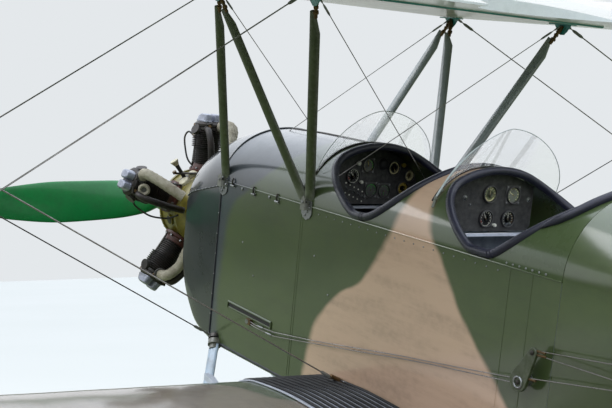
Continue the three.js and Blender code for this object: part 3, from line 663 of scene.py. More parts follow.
def build_weave() -> None:
    """The height of plain woven linen under dope."""
    takes = [("Vector", VECTOR), ("Scale", FLOAT)]
    wires, given, sink = new_group(Effect.WEAVE.value, takes, [("Height", FLOAT)])
    x, y, z = wires.node("ShaderNodeSeparateXYZ", {0: given["Vector"]}).outputs
    across = wires.math("SINE", wires.math("MULTIPLY", wires.math("ADD", x, z), given["Scale"]))
    along = wires.math("SINE", wires.math("MULTIPLY", y, given["Scale"]))
    threads = wires.math("MULTIPLY", across, along)
    slack = wires.math("MULTIPLY", wires.noise(given["Vector"], 7.0, 3.0), 9.0)
    wires.put(wires.math("ADD", wires.math("MULTIPLY", threads, 0.5), slack), sink.inputs[0])


def build_leather_grain() -> None:
    """The height of pebbled hide with soft folds."""
    takes = [("Vector", VECTOR), ("Scale", FLOAT)]
    wires, given, sink = new_group(Effect.LEATHER_GRAIN.value, takes, [("Height", FLOAT)])
    cells = {"Vector": given["Vector"], "Scale": given["Scale"]}
    pebble = wires.node("ShaderNodeTexVoronoi", cells, feature="F1").outputs["Distance"]
    folds = wires.noise(given["Vector"], wires.math("MULTIPLY", given["Scale"], 0.11), 5.0, 0.6)
    wires.put(wires.math("ADD", pebble, wires.math("MULTIPLY", folds, 3.0)), sink.inputs[0])


def build_cast_skin() -> None:
    """The height of sand-cast metal or thick brushed enamel."""
    takes = [("Vector", VECTOR), ("Scale", FLOAT)]
    wires, given, sink = new_group(Effect.CAST_SKIN.value, takes, [("Height", FLOAT)])
    coarse = wires.noise(given["Vector"], given["Scale"], 6.0, 0.7)
    wires.put(coarse, sink.inputs[0])


def build_sheet_waves() -> None:
    """The height of hand-beaten sheet metal: long soft waves and small dents."""
    takes = [("Vector", VECTOR), ("Scale", FLOAT)]
    wires, given, sink = new_group(Effect.SHEET_WAVES.value, takes, [("Height", FLOAT)])
    waves = wires.noise(wires.stretched(given["Vector"], (1.0, 0.6, 1.0)), given["Scale"], 2.0, 0.4)
    dents = wires.noise(given["Vector"], wires.math("MULTIPLY", given["Scale"], 7.0), 2.0, 0.5)
    wires.put(wires.math("ADD", waves, wires.math("MULTIPLY", dents, 0.08)), sink.inputs[0])


def build_wrapped_tape() -> None:
    """The height of a woven heat tape."""
    takes = [("Vector", VECTOR), ("Scale", FLOAT)]
    wires, given, sink = new_group(Effect.WRAPPED_TAPE.value, takes, [("Height", FLOAT)])
    x, y, z = wires.node("ShaderNodeSeparateXYZ", {0: given["Vector"]}).outputs
    a = wires.math("SINE", wires.math("MULTIPLY", wires.math("ADD", x, y), given["Scale"]))
    b = wires.math("SINE", wires.math("MULTIPLY", wires.math("SUBTRACT", z, y), given["Scale"]))
    weave = wires.math("MULTIPLY", a, b)
    wires.put(wires.math("ADD", weave, wires.noise(given["Vector"], 70.0, 3.0)), sink.inputs[0])


EFFECT_BUILDERS: dict[Effect, Callable[[], None]] = {
    Effect.PATINA: build_patina,
    Effect.BODY_BANDS: build_body_bands,
    Effect.WING_BANDS: build_wing_bands,
    Effect.GRIME: build_grime,
    Effect.EDGE_WEAR: build_edge_wear,
    Effect.WEAVE: build_weave,
    Effect.LEATHER_GRAIN: build_leather_grain,
    Effect.CAST_SKIN: build_cast_skin,
    Effect.SHEET_WAVES: build_sheet_waves,
    Effect.WRAPPED_TAPE: build_wrapped_tape,
}


class Bands(Enum):
    """Which camouflage a finish carries."""

    NONE = "none"
    BODY = "body"
    WING = "wing"


TAN = linear(197, 166, 143)
SLATE = linear(52, 58, 65)
BROWN = linear(128, 114, 100)
TAN_COVER = 0.96  # how far the body's tan hides the green, and the wings' brown below
BROWN_COVER = 0.92
ROUGH_SPREAD = (-0.05, 0.09)  # how far the mottling takes the roughness down and up


@dataclass(frozen=True)
class Finish:
    """One opaque finish: its colours, how it shines, its relief and its wear."""

    name: str
    base: Colour
    tone: Colour
    rough: float = 0.45
    metal: float = 0.0
    coat: float = 0.0
    coat_rough: float = 0.15
    coat_index: float = 1.5
    index: float = 1.5
    patina_scale: float = 2.2
    patina: float = 0.6
    relief: Effect = Effect.CAST_SKIN
    relief_scale: float = 60.0
    relief_depth: float = 0.0004
    relief_strength: float = 0.35
    grime: float = 0.25
    grime_colour: Colour = linear(40, 38, 34)
    wear: float = 0.0
    wear_colour: Colour = linear(150, 150, 148)
    bands: Bands = Bands.NONE

    def material(self) -> bpy.types.Material:
        """The material, built the first time it is asked for.

        Returns:
            The finish's one material.
        """
        made = bpy.data.materials.get(self.name)
        if made is None:
            made = bpy.data.materials.new(self.name)
            made.use_nodes = True
            self._wire(Wiring(made.node_tree))
        return made

    def _wire(self, wires: Wiring) -> None:
        """Fills the material's node tree.

        Args:
            wires: the material's node tree.
        """
        wires.tree.nodes.clear()
        place = wires.level_place()
        patina = self._group(wires, Effect.PATINA, place)
        for socket, value in (("Base", self.base), ("Tone", self.tone), ("Scale", self.patina_scale)):
            patina.inputs[socket].default_value = value
        patina.inputs["Amount"].default_value = self.patina
        colour = self._banded(wires, place, patina.outputs["Color"])
        grime = self._group(wires, Effect.GRIME, place)
        grime.inputs["Amount"].default_value = self.grime
        colour = wires.mix(grime.outputs["Mask"], colour, self.grime_colour)
        if self.wear:
            edge_wear_and_glint = self._group(wires, Effect.EDGE_WEAR, place)
            edge_wear_and_glint.inputs["Amount"].default_value = self.wear
            colour = wires.mix(edge_wear_and_glint.outputs["Mask"], colour, self.wear_colour)
        relief = self._group(wires, self.relief, place)
        relief.inputs["Scale"].default_value = self.relief_scale
        height = relief.outputs["Height"]
        bump = {"Strength": self.relief_strength, "Distance": self.relief_depth, "Height": height}
        normal = wires.node("ShaderNodeBump", bump).outputs[0]
        rough_range = (self.rough + ROUGH_SPREAD[0], self.rough + ROUGH_SPREAD[1])
        rough = wires.ranged(patina.outputs["Mask"], 0.0, 1.0, rough_range)
        shader = {
            "Base Color": colour,
            "Roughness": rough,
            "Metallic": self.metal,
            "IOR": self.index,
            "Coat Weight": self.coat,
            "Coat Roughness": self.coat_rough,
            "Coat IOR": self.coat_index,
            "Normal": normal,
        }
        surface = wires.node("ShaderNodeBsdfPrincipled", shader).outputs[0]
        wires.node("ShaderNodeOutputMaterial", {"Surface": surface})

    def _banded(self, wires: Wiring, place: Socket, colour: Socket) -> Socket:
        """The colour with the camouflage laid over it.

        Args:
            wires: the material's node tree.
            place: the place on the surface.
            colour: the colour under the bands.

        Returns:
            The banded colour.
        """
        if self.bands is Bands.BODY:
            masks = self._group(wires, Effect.BODY_BANDS, place)
            colour = wires.mix(wires.math("MULTIPLY", masks.outputs["Tan"], TAN_COVER), colour, TAN)
            return wires.mix(masks.outputs["Slate"], colour, SLATE)
        if self.bands is Bands.WING:
            masks = self._group(wires, Effect.WING_BANDS, place)
            return wires.mix(wires.math("MULTIPLY", masks.outputs["Tan"], BROWN_COVER), colour, BROWN)
        return colour

    @staticmethod
    def _group(wires: Wiring, effect: Effect, place: Socket) -> bpy.types.Node:
        """Places an effect's group and gives it the surface's coordinates.

        Args:
            wires: the material's node tree.
            effect: the effect to place.
            place: the place on the surface.

        Returns:
            The group's node.
        """
        node = wires.tree.nodes.new("ShaderNodeGroup")
        node.node_tree = effect.tree()
        wires.put(place, node.inputs["Vector"])
        return node


@dataclass(frozen=True)
class Glass:
    """Clear sheet or a dial's cover, hazy where it is scratched."""

    name: str
    tint: Colour = (0.93, 0.97, 0.97, 1.0)
    rough: float = 0.03
    body: float = 0.14
    index: float = 1.45
    scratch_rough: float = 0.12
    scratch_body: float = 0.22

    def material(self) -> bpy.types.Material:
        """The material, built the first time it is asked for.

        Returns:
            The sheet's one material.
        """
        made = bpy.data.materials.get(self.name)
        if made is None:
            made = bpy.data.materials.new(self.name)
            made.use_nodes = True
            wires = Wiring(made.node_tree)
            wires.tree.nodes.clear()
            place = wires.level_place()
            scratches = wires.noise(wires.stretched(place, (40.0, 40.0, 6.0)), 6.0, 6.0, 0.7)
            rough = wires.ranged(scratches, 0.45, 0.75, (self.rough, self.rough + self.scratch_rough))
            haze = wires.ranged(scratches, 0.42, 0.78, (self.body, self.body + self.scratch_body))
            shader = {
                "Base Color": self.tint,
                "Roughness": rough,
                "Transmission Weight": 1.0,
                "IOR": self.index,
                "Alpha": haze,
            }
            sheet = wires.node("ShaderNodeBsdfPrincipled", shader).outputs[0]
            wires.node("ShaderNodeOutputMaterial", {"Surface": sheet})
        return made


AnyFinish = Union[Finish, Glass]


def fabric(
    name: str, base: Colour, tone: Colour, bands: Bands = Bands.NONE, grime: float = 0.3, coat: float = 0.5
) -> Finish:
    """Doped linen, as glossy as its coat says.

    Args:
        name: the material's name.
        base: the main colour.
        tone: the second colour, in soft patches.
        bands: the camouflage, if any.
        grime: how dirty it is.
        coat: how glossy the dope is.

    Returns:
        The finish.
    """
    return Finish(
        name, base, tone, rough=0.42, coat=coat, coat_index=1.7, index=1.28, patina=0.7, relief=Effect.WEAVE,
        relief_scale=2600.0, relief_depth=0.0005, grime=grime, bands=bands,
    )


BODY_GREEN = fabric("body_green_dope", linear(56, 70, 38), linear(69, 82, 46), Bands.BODY, coat=1.0)
DECK_METAL = Finish(
    "decking_enamel", linear(58, 72, 42), linear(70, 83, 52), rough=0.32, coat=0.9, coat_rough=0.11,
    index=1.28, relief=Effect.SHEET_WAVES, relief_scale=3.5, relief_depth=0.004, relief_strength=0.35,
    bands=Bands.BODY, grime=0.18,
)
WING_TOP = fabric("wing_top_dope", linear(66, 78, 52), linear(82, 91, 64), Bands.WING, coat=1.0)
WING_UNDER = fabric("wing_underside_dope", linear(228, 234, 238), linear(214, 222, 228), grime=0.12)
WING_UNDER_WARM = fabric("wing_underside_aged", linear(200, 196, 184), linear(176, 172, 160), grime=0.35)
COWL_ENAMEL = Finish(
    "cowl_enamel", linear(34, 38, 42), linear(46, 51, 57), rough=0.32, coat=0.85, coat_rough=0.11,
    index=1.28, patina=0.5, relief=Effect.SHEET_WAVES, relief_scale=3.2, relief_depth=0.004,
    relief_strength=0.4, grime=0.3, wear=0.5, wear_colour=linear(150, 152, 150),
)
STRUT_ENAMEL = Finish(
    "strut_enamel", linear(52, 64, 29), linear(40, 50, 22), rough=0.36, coat=0.35, coat_rough=0.16,
    index=1.35, patina_scale=6.0, relief_scale=38.0, relief_depth=0.0012, relief_strength=0.3, grime=0.3,
    wear=0.35,
)
# A paler, glossier copy of the strut enamel for the starboard cabane: painted sky reflection on the same
# paint
STRUT_SKY_SHEEN = Finish(
    "strut_enamel_painted_sky_sheen", linear(132, 142, 146), linear(106, 117, 120), rough=0.32, coat=0.8,
    coat_rough=0.16, patina_scale=6.0, relief_scale=38.0, relief_depth=0.0012, relief_strength=0.3,
    grime=0.3, wear=0.35,
)
FITTING_OLIVE = Finish(
    "fitting_olive", linear(60, 62, 40), linear(44, 44, 32), rough=0.4, coat=0.2, relief_scale=200.0,
    grime=0.5, wear=0.5, patina_scale=26.0,
)
PIPING = Finish(
    "seam_piping", linear(30, 32, 38), linear(58, 60, 68), rough=0.5, grime=0.2, patina_scale=40.0
)
TEAL_ENAMEL = Finish(
    "teal_enamel", linear(60, 152, 152), linear(48, 128, 130), rough=0.35, coat=0.2, patina_scale=30.0
)
GEAR_ENAMEL = Finish(
    "gear_enamel", linear(163, 182, 202), linear(143, 160, 178), rough=0.34, coat=0.3, grime=0.45,
    grime_colour=linear(92, 84, 72), patina_scale=5.0,
)
INTERIOR_PAINT = Finish(
    "interior_paint", linear(140, 150, 164), linear(112, 121, 134), rough=0.5, grime=0.5, patina_scale=6.0
)
CRANKCASE_ENAMEL = Finish(
    "crankcase_enamel", linear(120, 108, 22), linear(84, 76, 28), rough=0.42, coat=0.2, relief_scale=150.0,
    relief_depth=0.0006, grime=0.85, patina_scale=14.0,
)
BARREL_BLACK = Finish(
    "barrel_black", linear(24, 21, 20), linear(38, 31, 27), rough=0.42, metal=0.15, index=1.4,
    relief_scale=240.0, grime=0.3, grime_colour=linear(78, 58, 44), wear=0.25, patina_scale=16.0,
)
HEAD_ALLOY = Finish(
    "head_alloy", linear(142, 146, 160), linear(104, 108, 122), rough=0.36, metal=0.3, coat=0.2,
    relief_scale=160.0, relief_depth=0.0005, grime=0.6, patina_scale=18.0,
)
ACCESSORY_CREAM = Finish(
    "accessory_enamel", linear(186, 178, 150), linear(136, 128, 104), rough=0.42, coat=0.15, grime=0.6,
    patina_scale=20.0,
)
BARREL_BASE_RED = Finish(
    "barrel_base_red", linear(78, 36, 28), linear(58, 30, 25), rough=0.45, grime=0.6, patina_scale=20.0
)
STEEL = Finish(
    "bright_steel", linear(152, 154, 156), linear(118, 119, 120), rough=0.3, metal=0.9, relief_scale=220.0,
    relief_depth=0.0002, grime=0.5, patina_scale=26.0,
)
DARK_STEEL = Finish(
    "dark_steel", linear(58, 57, 56), linear(74, 68, 60), rough=0.38, metal=0.75, relief_scale=220.0,
    relief_depth=0.0002, grime=0.3, patina_scale=24.0,
)
WIRE = Finish(
    "rigging_wire", linear(150, 148, 146), linear(104, 98, 94), rough=0.3, metal=0.85, relief_scale=400.0,
    relief_depth=0.0002, grime=0.2, patina_scale=8.0,
)
BRASS = Finish(
    "brass", linear(108, 84, 52), linear(76, 58, 40), rough=0.42, metal=0.6, grime=0.5, patina_scale=30.0
)
TAPE_WRAP = Finish(
    "heat_tape", linear(198, 192, 174), linear(150, 142, 122), rough=0.85, relief=Effect.WRAPPED_TAPE,
    relief_scale=900.0, relief_depth=0.0022, relief_strength=1.0, grime=0.6,
    grime_colour=linear(104, 84, 58), patina_scale=22.0,
)
PROP_GREEN = Finish(
    "propeller_lacquer", linear(6, 112, 52), linear(5, 92, 42), rough=0.36, coat=0.3, coat_rough=0.14,
    index=1.35, patina_scale=5.0, relief_scale=16.0, relief_depth=0.0008, relief_strength=0.25, grime=0.14,
)
RIM_HIDE = Finish(
    "navy_rim_hide", linear(19, 20, 38), linear(30, 31, 54), rough=0.4, coat=0.35, coat_rough=0.2, index=1.4,
    relief=Effect.LEATHER_GRAIN, relief_scale=420.0, relief_depth=0.0011, relief_strength=0.6, grime=0.18,
    patina_scale=11.0,
)
THREAD = Finish("stitch_thread", linear(26, 26, 36), linear(44, 44, 58), rough=0.6, patina_scale=40.0)
SEAT_HIDE = Finish(
    "seat_leather", linear(62, 46, 36), linear(84, 62, 46), rough=0.45, coat=0.15,
    relief=Effect.LEATHER_GRAIN, relief_scale=380.0, relief_depth=0.0012, relief_strength=0.6,
    patina_scale=7.0,
)
PANEL_BLACK = Finish(
    "panel_wrinkle_black", linear(24, 24, 27), linear(33, 33, 37), rough=0.5, index=1.4, relief_scale=520.0,
    relief_depth=0.0005, relief_strength=0.5, grime=0.2, grime_colour=linear(88, 86, 80), wear=0.4,
    wear_colour=linear(120, 120, 118), patina_scale=12.0,
)
# Near-black: the dial faces' own colour, and painted shade in the vent slot and in the screws' cross slots
DIAL_FACE_AND_SLOT_SHADE = Finish(
    "dial_black_and_slot_shade", linear(17, 17, 18), linear(24, 24, 25), rough=0.6, grime=0.08, patina_scale=30.0
)
DIAL_CREAM = Finish(
    "dial_cream", linear(206, 196, 150), linear(190, 178, 132), rough=0.6, grime=0.1, patina_scale=30.0
)
DIAL_WHITE = Finish(
    "dial_marks", linear(226, 226, 214), linear(206, 206, 192), rough=0.6, grime=0.05, patina_scale=30.0
)
DIAL_GREEN = Finish(
    "dial_green", linear(70, 150, 70), linear(56, 128, 56), rough=0.5, grime=0.05, patina_scale=30.0
)
DIAL_YELLOW = Finish(
    "dial_yellow", linear(158, 138, 52), linear(134, 116, 44), rough=0.5, grime=0.05, patina_scale=30.0
)
DIAL_OLIVE = Finish(
    "dial_olive", linear(84, 88, 54), linear(70, 74, 44), rough=0.5, grime=0.1, patina_scale=30.0
)
DIAL_RED = Finish(
    "dial_red", linear(176, 44, 36), linear(150, 36, 30), rough=0.5, grime=0.05, patina_scale=30.0
)
RUBBER = Finish(
    "black_rubber", linear(24, 24, 25), linear(38, 37, 36), rough=0.72, relief_scale=180.0, grime=0.5,
    grime_colour=linear(96, 88, 76), patina_scale=9.0,
)
WALK_TREAD = Finish(
    "walkway_tread", linear(10, 10, 13), linear(20, 20, 23), rough=0.5, index=1.35, relief_scale=300.0,
    grime=0.25,
)
# Pale blue-grey for the sheet under the walkways' ribs and for their edge tube: a painted highlight, the
# sky's sheen in the grooves
WALK_BASE_SHEEN = Finish(
    "walkway_base_painted_sheen", linear(172, 176, 188), linear(138, 142, 152), rough=0.5, relief_scale=200.0, grime=0.4
)
# Pale glossy colour for a thin tube along each windscreen's top edge: a painted highlight of the light caught
# by the sheet's edge
SCREEN_EDGE_GLINT = Finish(
    "screen_edge_painted_glint", linear(168, 178, 180), linear(206, 214, 218), rough=0.2, coat=0.6, patina_scale=30.0
)
PALE_TRIM = Finish(
    "pale_trim", linear(196, 202, 216), linear(170, 176, 190), rough=0.4, coat=0.3, grime=0.3,
    patina_scale=9.0,
)
SPRUCE = Finish(
    "varnished_spruce", linear(146, 118, 84), linear(118, 92, 62), rough=0.32, coat=0.6, relief_scale=24.0,
    relief_depth=0.0008, grime=0.3, patina_scale=9.0,
)
SEAT_ALLOY = Finish(
    "seat_alloy", linear(120, 126, 116), linear(98, 104, 94), rough=0.36, metal=0.3, coat=0.2, grime=0.4,
    wear=0.6, patina_scale=7.0,
)
ACRYLIC = Glass("acrylic_sheet")
DIAL_GLASS = Glass("dial_glass", rough=0.01, body=0.08)


# Pieces


@dataclass(frozen=True)
class Mount:
    """What a piece rides on, the name of a record slot, and which solids it stands for."""

    slot: str
    body: str = AIRFRAME
    replaces: tuple[str, ...] = ()


def make_piece(
    name: str,
    form: Form,
    finishes: Sequence[AnyFinish],
    mount: Mount,
    bevel: float = 0.0,
    sharp: float = SHARP_ANGLE,
) -> bpy.types.Object:
    """Makes one object from a form and stands it on the frame.

    Args:
        name: the piece's name.
        form: its mesh in the level frame.
        finishes: one for each finish number in the form.
        mount: its body, slot and replaced solids.
        bevel: radius of its rounded edges, or none.
        sharp: the angle in degrees from which an edge stays sharp.

    Returns:
        The object, riding on its body.
    """
    mesh = bpy.data.meshes.new(name)
    mesh.from_pydata([tuple(PARKED @ v) for v in form.verts], [], form.faces)
    for polygon, tone in zip(mesh.polygons, form.tones):
        polygon.material_index = tone
    for finish in finishes:
        mesh.materials.append(finish.material())
    work = bmesh.new()
    work.from_mesh(mesh)
    bmesh.ops.remove_doubles(work, verts=work.verts, dist=WELD_DISTANCE)
    bmesh.ops.recalc_face_normals(work, faces=work.faces)
    work.to_mesh(mesh)
    work.free()
    mesh.validate()
    for polygon in mesh.polygons:
        polygon.use_smooth = True
    mesh.set_sharp_from_angle(angle=math.radians(sharp))
    made = bpy.data.objects.new(name, mesh)
    bpy.context.scene.collection.objects.link(made)
    if bevel:
        rounding = made.modifiers.new("rounded edges", "BEVEL")
        rounding.width = bevel
        rounding.segments = 2
        rounding.limit_method = "ANGLE"
        rounding.angle_limit = math.radians(SHARP_ANGLE)
        rounding.harden_normals = True
    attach(made, mount.body)
    if mount.replaces:
        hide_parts(*mount.replaces)
    LOG.info("%s: %d faces, rides on %s", name, len(mesh.polygons), mount.body)
    return made


def cut_by(piece: bpy.types.Object, cutters: Sequence[Form]) -> None:
    """Cuts closed forms out of a piece and keeps the result in its mesh.

    Args:
        piece: the piece to cut.
        cutters: the forms that are taken out of it.
    """
    for number, form in enumerate(cutters):
        mesh = bpy.data.meshes.new(f"{piece.name}_cutter_{number}")
        mesh.from_pydata([tuple(PARKED @ v) for v in form.verts], [], form.faces)
        work = bmesh.new()
        work.from_mesh(mesh)
        bmesh.ops.recalc_face_normals(work, faces=work.faces)
        work.to_mesh(mesh)
        work.free()
        cutter = bpy.data.objects.new(mesh.name, mesh)
        bpy.context.scene.collection.objects.link(cutter)
        cut = piece.modifiers.new("cut", "BOOLEAN")
        cut.operation = "DIFFERENCE"
        cut.solver = "EXACT"
        cut.object = cutter
        bpy.context.view_layer.update()
        evaluated = piece.evaluated_get(bpy.context.evaluated_depsgraph_get())
        result = bpy.data.meshes.new_from_object(evaluated)
        piece.modifiers.clear()
        piece.data = result
        bpy.data.objects.remove(cutter)


# The body


@dataclass(frozen=True)
class CockpitPlan:
    """A cockpit opening in plan, at the padded roll's centre line."""

    fore_y: float
    low_y: float
    aft_y: float
    fore_run: float
    aft_power: float
    straight: float = 0.200
    half: float = BODY_HALF - 0.001

    def outline(self, steps: int = 26) -> list[tuple[float, float]]:
        """The opening's outline in plan, starting at its front centre.

        Args:
            steps: points along each quarter.

        Returns:
            Points of x and y, all the way round.
        """
        corner = self.half - self.straight
        power = 2 / self.aft_power
        port = [(self.straight * k / 6, self.fore_y) for k in range(6)]
        for i in range(steps + 1):
            turn = math.pi / 2 * i / steps
            y = self.fore_y + self.fore_run * (1 - math.cos(turn))
            port.append((self.straight + corner * math.sin(turn), y))
        for i in range(steps + 1):
            turn = math.pi / 2 * i / steps
            x = self.half * max(0.0, math.cos(turn)) ** power if i < steps else 0.0
            port.append((x, self.low_y + (self.aft_y - self.low_y) * math.sin(turn) ** power))
        return port + [(-x, y) for x, y in reversed(port[1:-1])]

    def roll_path(self, steps: int = 26) -> list[Vector]:
        """The padded roll's centre line on the decking."""
        return [Vector((x, y, deck_height(x) - 0.003)) for x, y in self.outline(steps)]


FRONT_COCKPIT = CockpitPlan(1.625, 1.990, 2.295, 0.340, 3.0)
REAR_COCKPIT = CockpitPlan(2.405, 2.775, 3.090, 0.290, 2.2)

DECK_TOP = [(0.850, 0.557), (1.210, 0.566), (2.775, 0.566), (3.150, 0.597)]
REAR_BODY = [
    (3.150, 0.372, -0.530, 0.597), (4.100, 0.318, -0.420, 0.520), (5.100, 0.232, -0.290, 0.430),
    (6.100, 0.138, -0.150, 0.305), (7.050, 0.034, -0.040, 0.297),
]
# The cowl: station, half width, belly, shoulder, top, corner radius
COWL = [
    (0.330, 0.262, -0.250, 0.010, 0.330, 0.190), (0.400, 0.318, -0.330, 0.080, 0.410, 0.150),
    (0.520, 0.345, -0.430, 0.160, 0.458, 0.090), (0.680, 0.362, -0.505, 0.240, 0.524, 0.040),
    (0.8496, 0.371, -0.530, 0.288, 0.561, 0.020),
]


def body_ring(y: float, half: float, belly: float, shoulder: float, top: float, corner: float) -> list[Row]:
    """A closed section: flat belly, round lower corners, upright sides and an oval top.

    Args:
        y: the station.
        half: half the body's width.
        belly: the underside's height.
        shoulder: the height at which the oval top starts.
        top: the crest's height.
        corner: the radius of the lower corners.

    Returns:
        The section's points in order.
    """
    ring = []
    for side, turns in ((-1, spread(0, math.pi / 2, 7)), (1, spread(math.pi / 2, 0, 7))):
        for turn in turns:
            x = half - corner + corner * math.cos(turn)
            ring.append((side * x, y, belly + corner - corner * math.sin(turn)))
    for z in spread(belly + corner, shoulder, 10)[1:-1]:
        ring.append((half, y, z))
    for turn in spread(0, math.pi, 41):
        ring.append((half * math.cos(turn), y, shoulder + (top - shoulder) * math.sin(turn)))
    for z in reversed(spread(belly + corner, shoulder, 10)[1:-1]):
        ring.append((-half, y, z))
    return ring


@dataclass
class Body:
    """The fuselage: side and belly skins, decking with its two openings, tapering rear body."""

    proud: float = 0.0015
    skin_corner: float = 0.0008
    end_gap: float = 0.0006
    frame_pitch: float = 0.46
    slack: float = 0.0011
    deck_thick: float = 0.014
    deck_gap: float = 0.001
    seam_radius: float = 0.0032
    tape_stations: tuple[float, ...] = (1.566, 1.582, 2.902, 3.013)

    def build(self) -> None:
        """Makes all of the body's pieces."""
        self._sides()
        self._decking()
        self._rear()
        self._seams()

    def _sides(self) -> None:
        """Thin skins over the tub's walls and floor."""
        half = BODY_HALF + self.proud
        low = BELLY_Z - self.proud
        rings = []
        for y in spread(FIREWALL_Y + self.end_gap, TUB_END_Y - self.end_gap, 60):
            section = [(half, y, LONGERON_Z + 0.004)]
            section += [(half, y, z) for z in spread(LONGERON_Z - 0.02, low + 0.03, 22)]
            section += [(half, y, low + self.skin_corner), (half - self.skin_corner, y, low)]
            section.append((half - 0.03, y, low))
            section += [(x, y, low) for x in spread(half - 0.06, 0.0, 8)]
            full = section + [(-x, y, z) for x, y, z in reversed(section[:-1])]
            rings.append([self._slackened(point) for point in full])
        skin = loft(rings, closed=False)
        make_piece("side_and_belly_fabric", skin, [BODY_GREEN], Mount("body_paint"), sharp=60)

    def _slackened(self, point: Row) -> Row:
        """The fabric drawn in a little between its frames.

        Args:
            point: a point of the taut skin.

        Returns:
            The point between the frames.
        """
        x, y, z = point
        frames = math.sin((y - FIREWALL_Y) * math.pi / self.frame_pitch) ** 2
        ease = self.slack * frames * noise.noise(Vector((x * 3, y * 1.7, z * 3)))
        return (x + math.copysign(ease, x), y, z)

    def _decking(self) -> None:
        """The curved decking as one closed shell, with both cockpits cut out."""
        def ring(y: float, inset: float) -> list[Row]:
            """One arch of the decking.

            Args:
                y: the station.
                inset: how far it lies under the outer face.

            Returns:
                The arch's points.
            """
            top = smoothed(DECK_TOP, y)[0] - inset
            half = BODY_HALF + 0.002 - inset
            arch = []
            for turn in spread(-0.012, math.pi + 0.012, 64):
                arch.append((half * math.cos(turn), y, LONGERON_Z + (top - LONGERON_Z) * math.sin(turn)))
            return arch

        stations = spread(FIREWALL_Y + self.deck_gap, TUB_END_Y - self.deck_gap, 118)
        rings = [ring(y, 0.0) + ring(y, self.deck_thick)[::-1] for y in stations]
        piece = make_piece(
            "decking_shell", loft(rings), [DECK_METAL, DARK_STEEL],
            Mount("body_paint", replaces=("decking_front", "decking_middle", "decking_rear")), sharp=50,
        )
        low, high = LONGERON_Z - 0.06, DECK_Z + 0.12
        prisms = []
        for plan in (FRONT_COCKPIT, REAR_COCKPIT):
            prisms.append(loft([[(x, y, z) for x, y in plan.outline(20)] for z in (low, high)]))
        cut_by(piece, prisms)

    def _rear(self) -> None:
        """The rear body in fabric over stringers."""
        rings = []
        for y in spread(TUB_END_Y + 0.0004, STERN_Y, 90):
            half, belly, top = smoothed(REAR_BODY, y)
            rings.append(self._stringered(body_ring(y, half + 0.001, belly, LONGERON_Z, top, 0.02), y))
        mount = Mount("body_paint", replaces=("body_rear",))
        make_piece("rear_body_fabric", loft(rings), [BODY_GREEN], mount, sharp=55)

    @staticmethod
    def _stringered(ring: list[Row], y: float) -> list[Row]:
        """A section drawn in between its stringers and frames.

        Args:
            ring: the plain section.
            y: its station.

        Returns:
            The section with its hollows.
        """
        frames = math.sin((y - TUB_END_Y) * math.pi / 0.6) ** 2
        shaped = []
        for i, (x, _, z) in enumerate(ring):
            between = abs(math.sin(i * math.pi / 5))
            ease = 1 - 0.012 * frames * between
            shaped.append((x * ease, y, LONGERON_Z + (z - LONGERON_Z) * ease))
        return shaped

    def _seams(self) -> None:
        """The beads and lapped tapes along the body's joints."""
        seams = Form()
        half = BODY_HALF + 0.003
        for side in (-1, 1):
            line = [(side * half, y, LONGERON_Z - 0.004) for y in spread(FIREWALL_Y, TUB_END_Y, 40)]
            seams.add(tube(line, self.seam_radius, 8))
            for y in self.tape_stations:
                tape = [(side * (half - 0.0015), y, z) for z in spread(LONGERON_Z, -0.5, 12)]
                seams.add(tube(tape, 0.0018, 8))
        rise = 0.270
        turns = spread(0, math.pi, 50)
        arch = [(half * math.cos(t), FIREWALL_Y, LONGERON_Z + rise * math.sin(t)) for t in turns]
        seams.add(tube(arch, 0.004, 8))
        make_piece("body_seams", seams, [BODY_GREEN], Mount("body_paint"))
        hinge = [(0.0, y, smoothed(DECK_TOP, y)[0] + 0.002) for y in spread(FIREWALL_Y + 0.02, 1.50, 24)]
        make_piece("decking_hinge", tube(hinge, 0.0045, 8), [DARK_STEEL], Mount("fitting_steel"))


# The piped seam between the cowl's top and side: station and height
COWL_SEAM = [(0.400, 0.138), (0.410, 0.141), (0.488, 0.171), (0.660, 0.214), (0.801, 0.249), (0.846, 0.258)]


